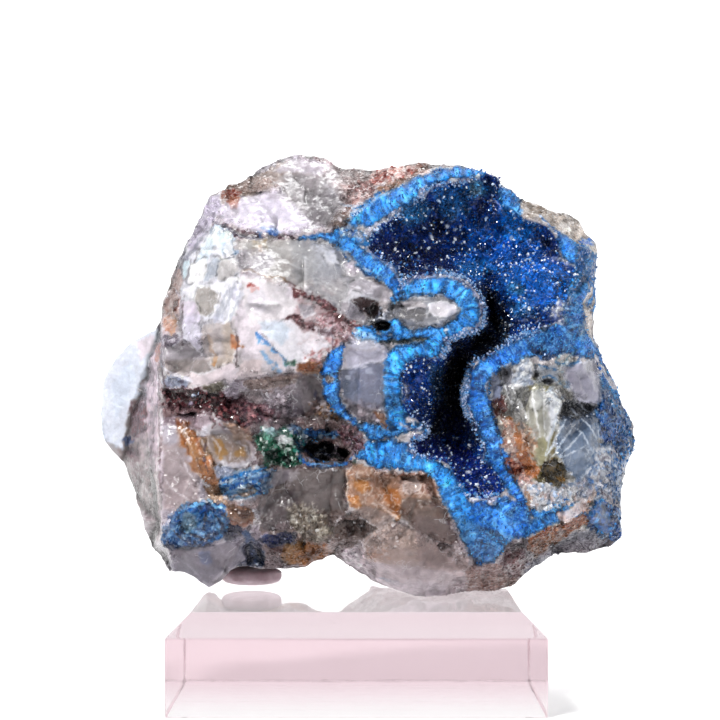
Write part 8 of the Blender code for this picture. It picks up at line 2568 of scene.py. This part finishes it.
me.materials.append(clear_material("clear_acrylic"))
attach(block, "root")
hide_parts("display_block")

bm = bmesh.new()
bmesh.ops.create_icosphere(bm, subdivisions=5, radius=1.0)
cz, hz = 10.8, 1.0
X = np.array([v.co[:] for v in bm.verts])
lump = noise3(X * 4.0, 2.6, 401, 3)
for v, k in zip(bm.verts, lump):
    s = 1.0 + 0.045 * k
    z = math.copysign(abs(v.co.z) ** 0.7, v.co.z)
    v.co = Vector((-10.8 + 3.15 * v.co.x * s, 6.2 + 2.75 * v.co.y * s, cz + 0.98 * z)) * MM
me = bpy.data.meshes.new("putty_dab")
bm.to_mesh(me)
bm.free()
me.polygons.foreach_set("use_smooth", [True] * len(me.polygons))
putty = bpy.data.objects.new("putty_dab", me)
bpy.context.scene.collection.objects.link(putty)
me.materials.append(putty_material("mounting_putty"))
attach(putty, "root")
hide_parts("mounting_putty")

# =============================================================================
# Pale sweep, soft studio light
# =============================================================================
m = Nodes("pale_sweep")
co = m.t.nodes.new("ShaderNodeTexCoord").outputs["Object"]
n = m.noise(co, 3, 4, 0.5)
tone = m.mix(m.remap(n, 0.3, 0.7), (0.70, 0.70, 0.705, 1), (0.74, 0.74, 0.74, 1))
m.put(m.bsdf.inputs["Base Color"], tone)
m.put(m.bsdf.inputs["Emission Color"], tone)
yy = m.node("ShaderNodeSeparateXYZ", i0=co).outputs[1]
m.put(m.bsdf.inputs["Emission Strength"], m.remap(yy, -0.10, 0.05, 0.10, 0.95))
m.put(m.bsdf.inputs["Roughness"], m.remap(m.noise(co, 40, 3), 0.3, 0.7, 0.7, 0.85))
m.put(m.bsdf.inputs["Normal"], m.bump(m.noise(co, 220, 3), 0.03, 0.0004))
prof = [(-1.2, 0.0), (0.30, 0.0)]
for k in range(1, 13):
    t = k / 12 * math.pi / 2
    prof.append((0.30 + 0.25 * math.sin(t), 0.25 - 0.25 * math.cos(t)))
prof += [(0.55, 1.4)]
verts, faces = [], []
for y, z in prof:
    verts += [(-1.6, y, z), (1.6, y, z)]
for k in range(len(prof) - 1):
    faces.append((2 * k, 2 * k + 1, 2 * k + 3, 2 * k + 2))
me = bpy.data.meshes.new("pale_sweep")
me.from_pydata(verts, [], faces)
me.polygons.foreach_set("use_smooth", [True] * len(me.polygons))
sweep = bpy.data.objects.new("pale_sweep", me)
bpy.context.scene.collection.objects.link(sweep)
me.materials.append(m.mat)

world = bpy.data.worlds.new("studio")
bpy.context.scene.world = world
world.use_nodes = True
bg = world.node_tree.nodes["Background"]
bg.inputs[0].default_value = (0.93, 0.96, 1.0, 1)
bg.inputs[1].default_value = 0.16
# the backdrop beyond the sweep is seen pale, without adding light to the stone
seen = world.node_tree.nodes.new("ShaderNodeLightPath")
glow = world.node_tree.nodes.new("ShaderNodeMapRange")
glow.inputs[3].default_value = 0.16
glow.inputs[4].default_value = 0.92
world.node_tree.links.new(seen.outputs["Is Camera Ray"], glow.inputs[0])
world.node_tree.links.new(glow.outputs[0], bg.inputs[1])


def lamp(name, at, to, size, power, colour=(1, 1, 1)):
    ld = bpy.data.lights.new(name, "AREA")
    ld.shape = "DISK"
    ld.size = size
    ld.energy = power
    ld.color = colour
    ob = bpy.data.objects.new(name, ld)
    bpy.context.scene.collection.objects.link(ob)
    ob.location = at
    ob.rotation_euler = (Vector(to) - Vector(at)).to_track_quat("-Z", "Y").to_euler()
    return ob


lamp("key", (-0.22, -0.30, 0.52), (0, 0, 0.03), 0.12, 2.5, (1.0, 0.985, 0.96))
lamp("fill", (0.40, -0.30, 0.22), (0, 0, 0.03), 0.30, 0.35, (0.94, 0.97, 1.0))
lamp("rear", (0.05, 0.28, 0.45), (0, 0, 0.03), 0.25, 0.8, (1, 1, 1))
lamp("spark", (0.10, -0.45, 0.30), (0, 0, 0.03), 0.03, 0.45, (1, 1, 1))
lamp("spark_left", (-0.30, -0.40, 0.10), (0, 0, 0.03), 0.03, 0.25, (1, 1, 1))

scene = bpy.context.scene
scene.view_settings.view_transform = "Standard"
scene.view_settings.look = "None"
scene.view_settings.exposure = 0.0
scene.view_settings.gamma = 1.0

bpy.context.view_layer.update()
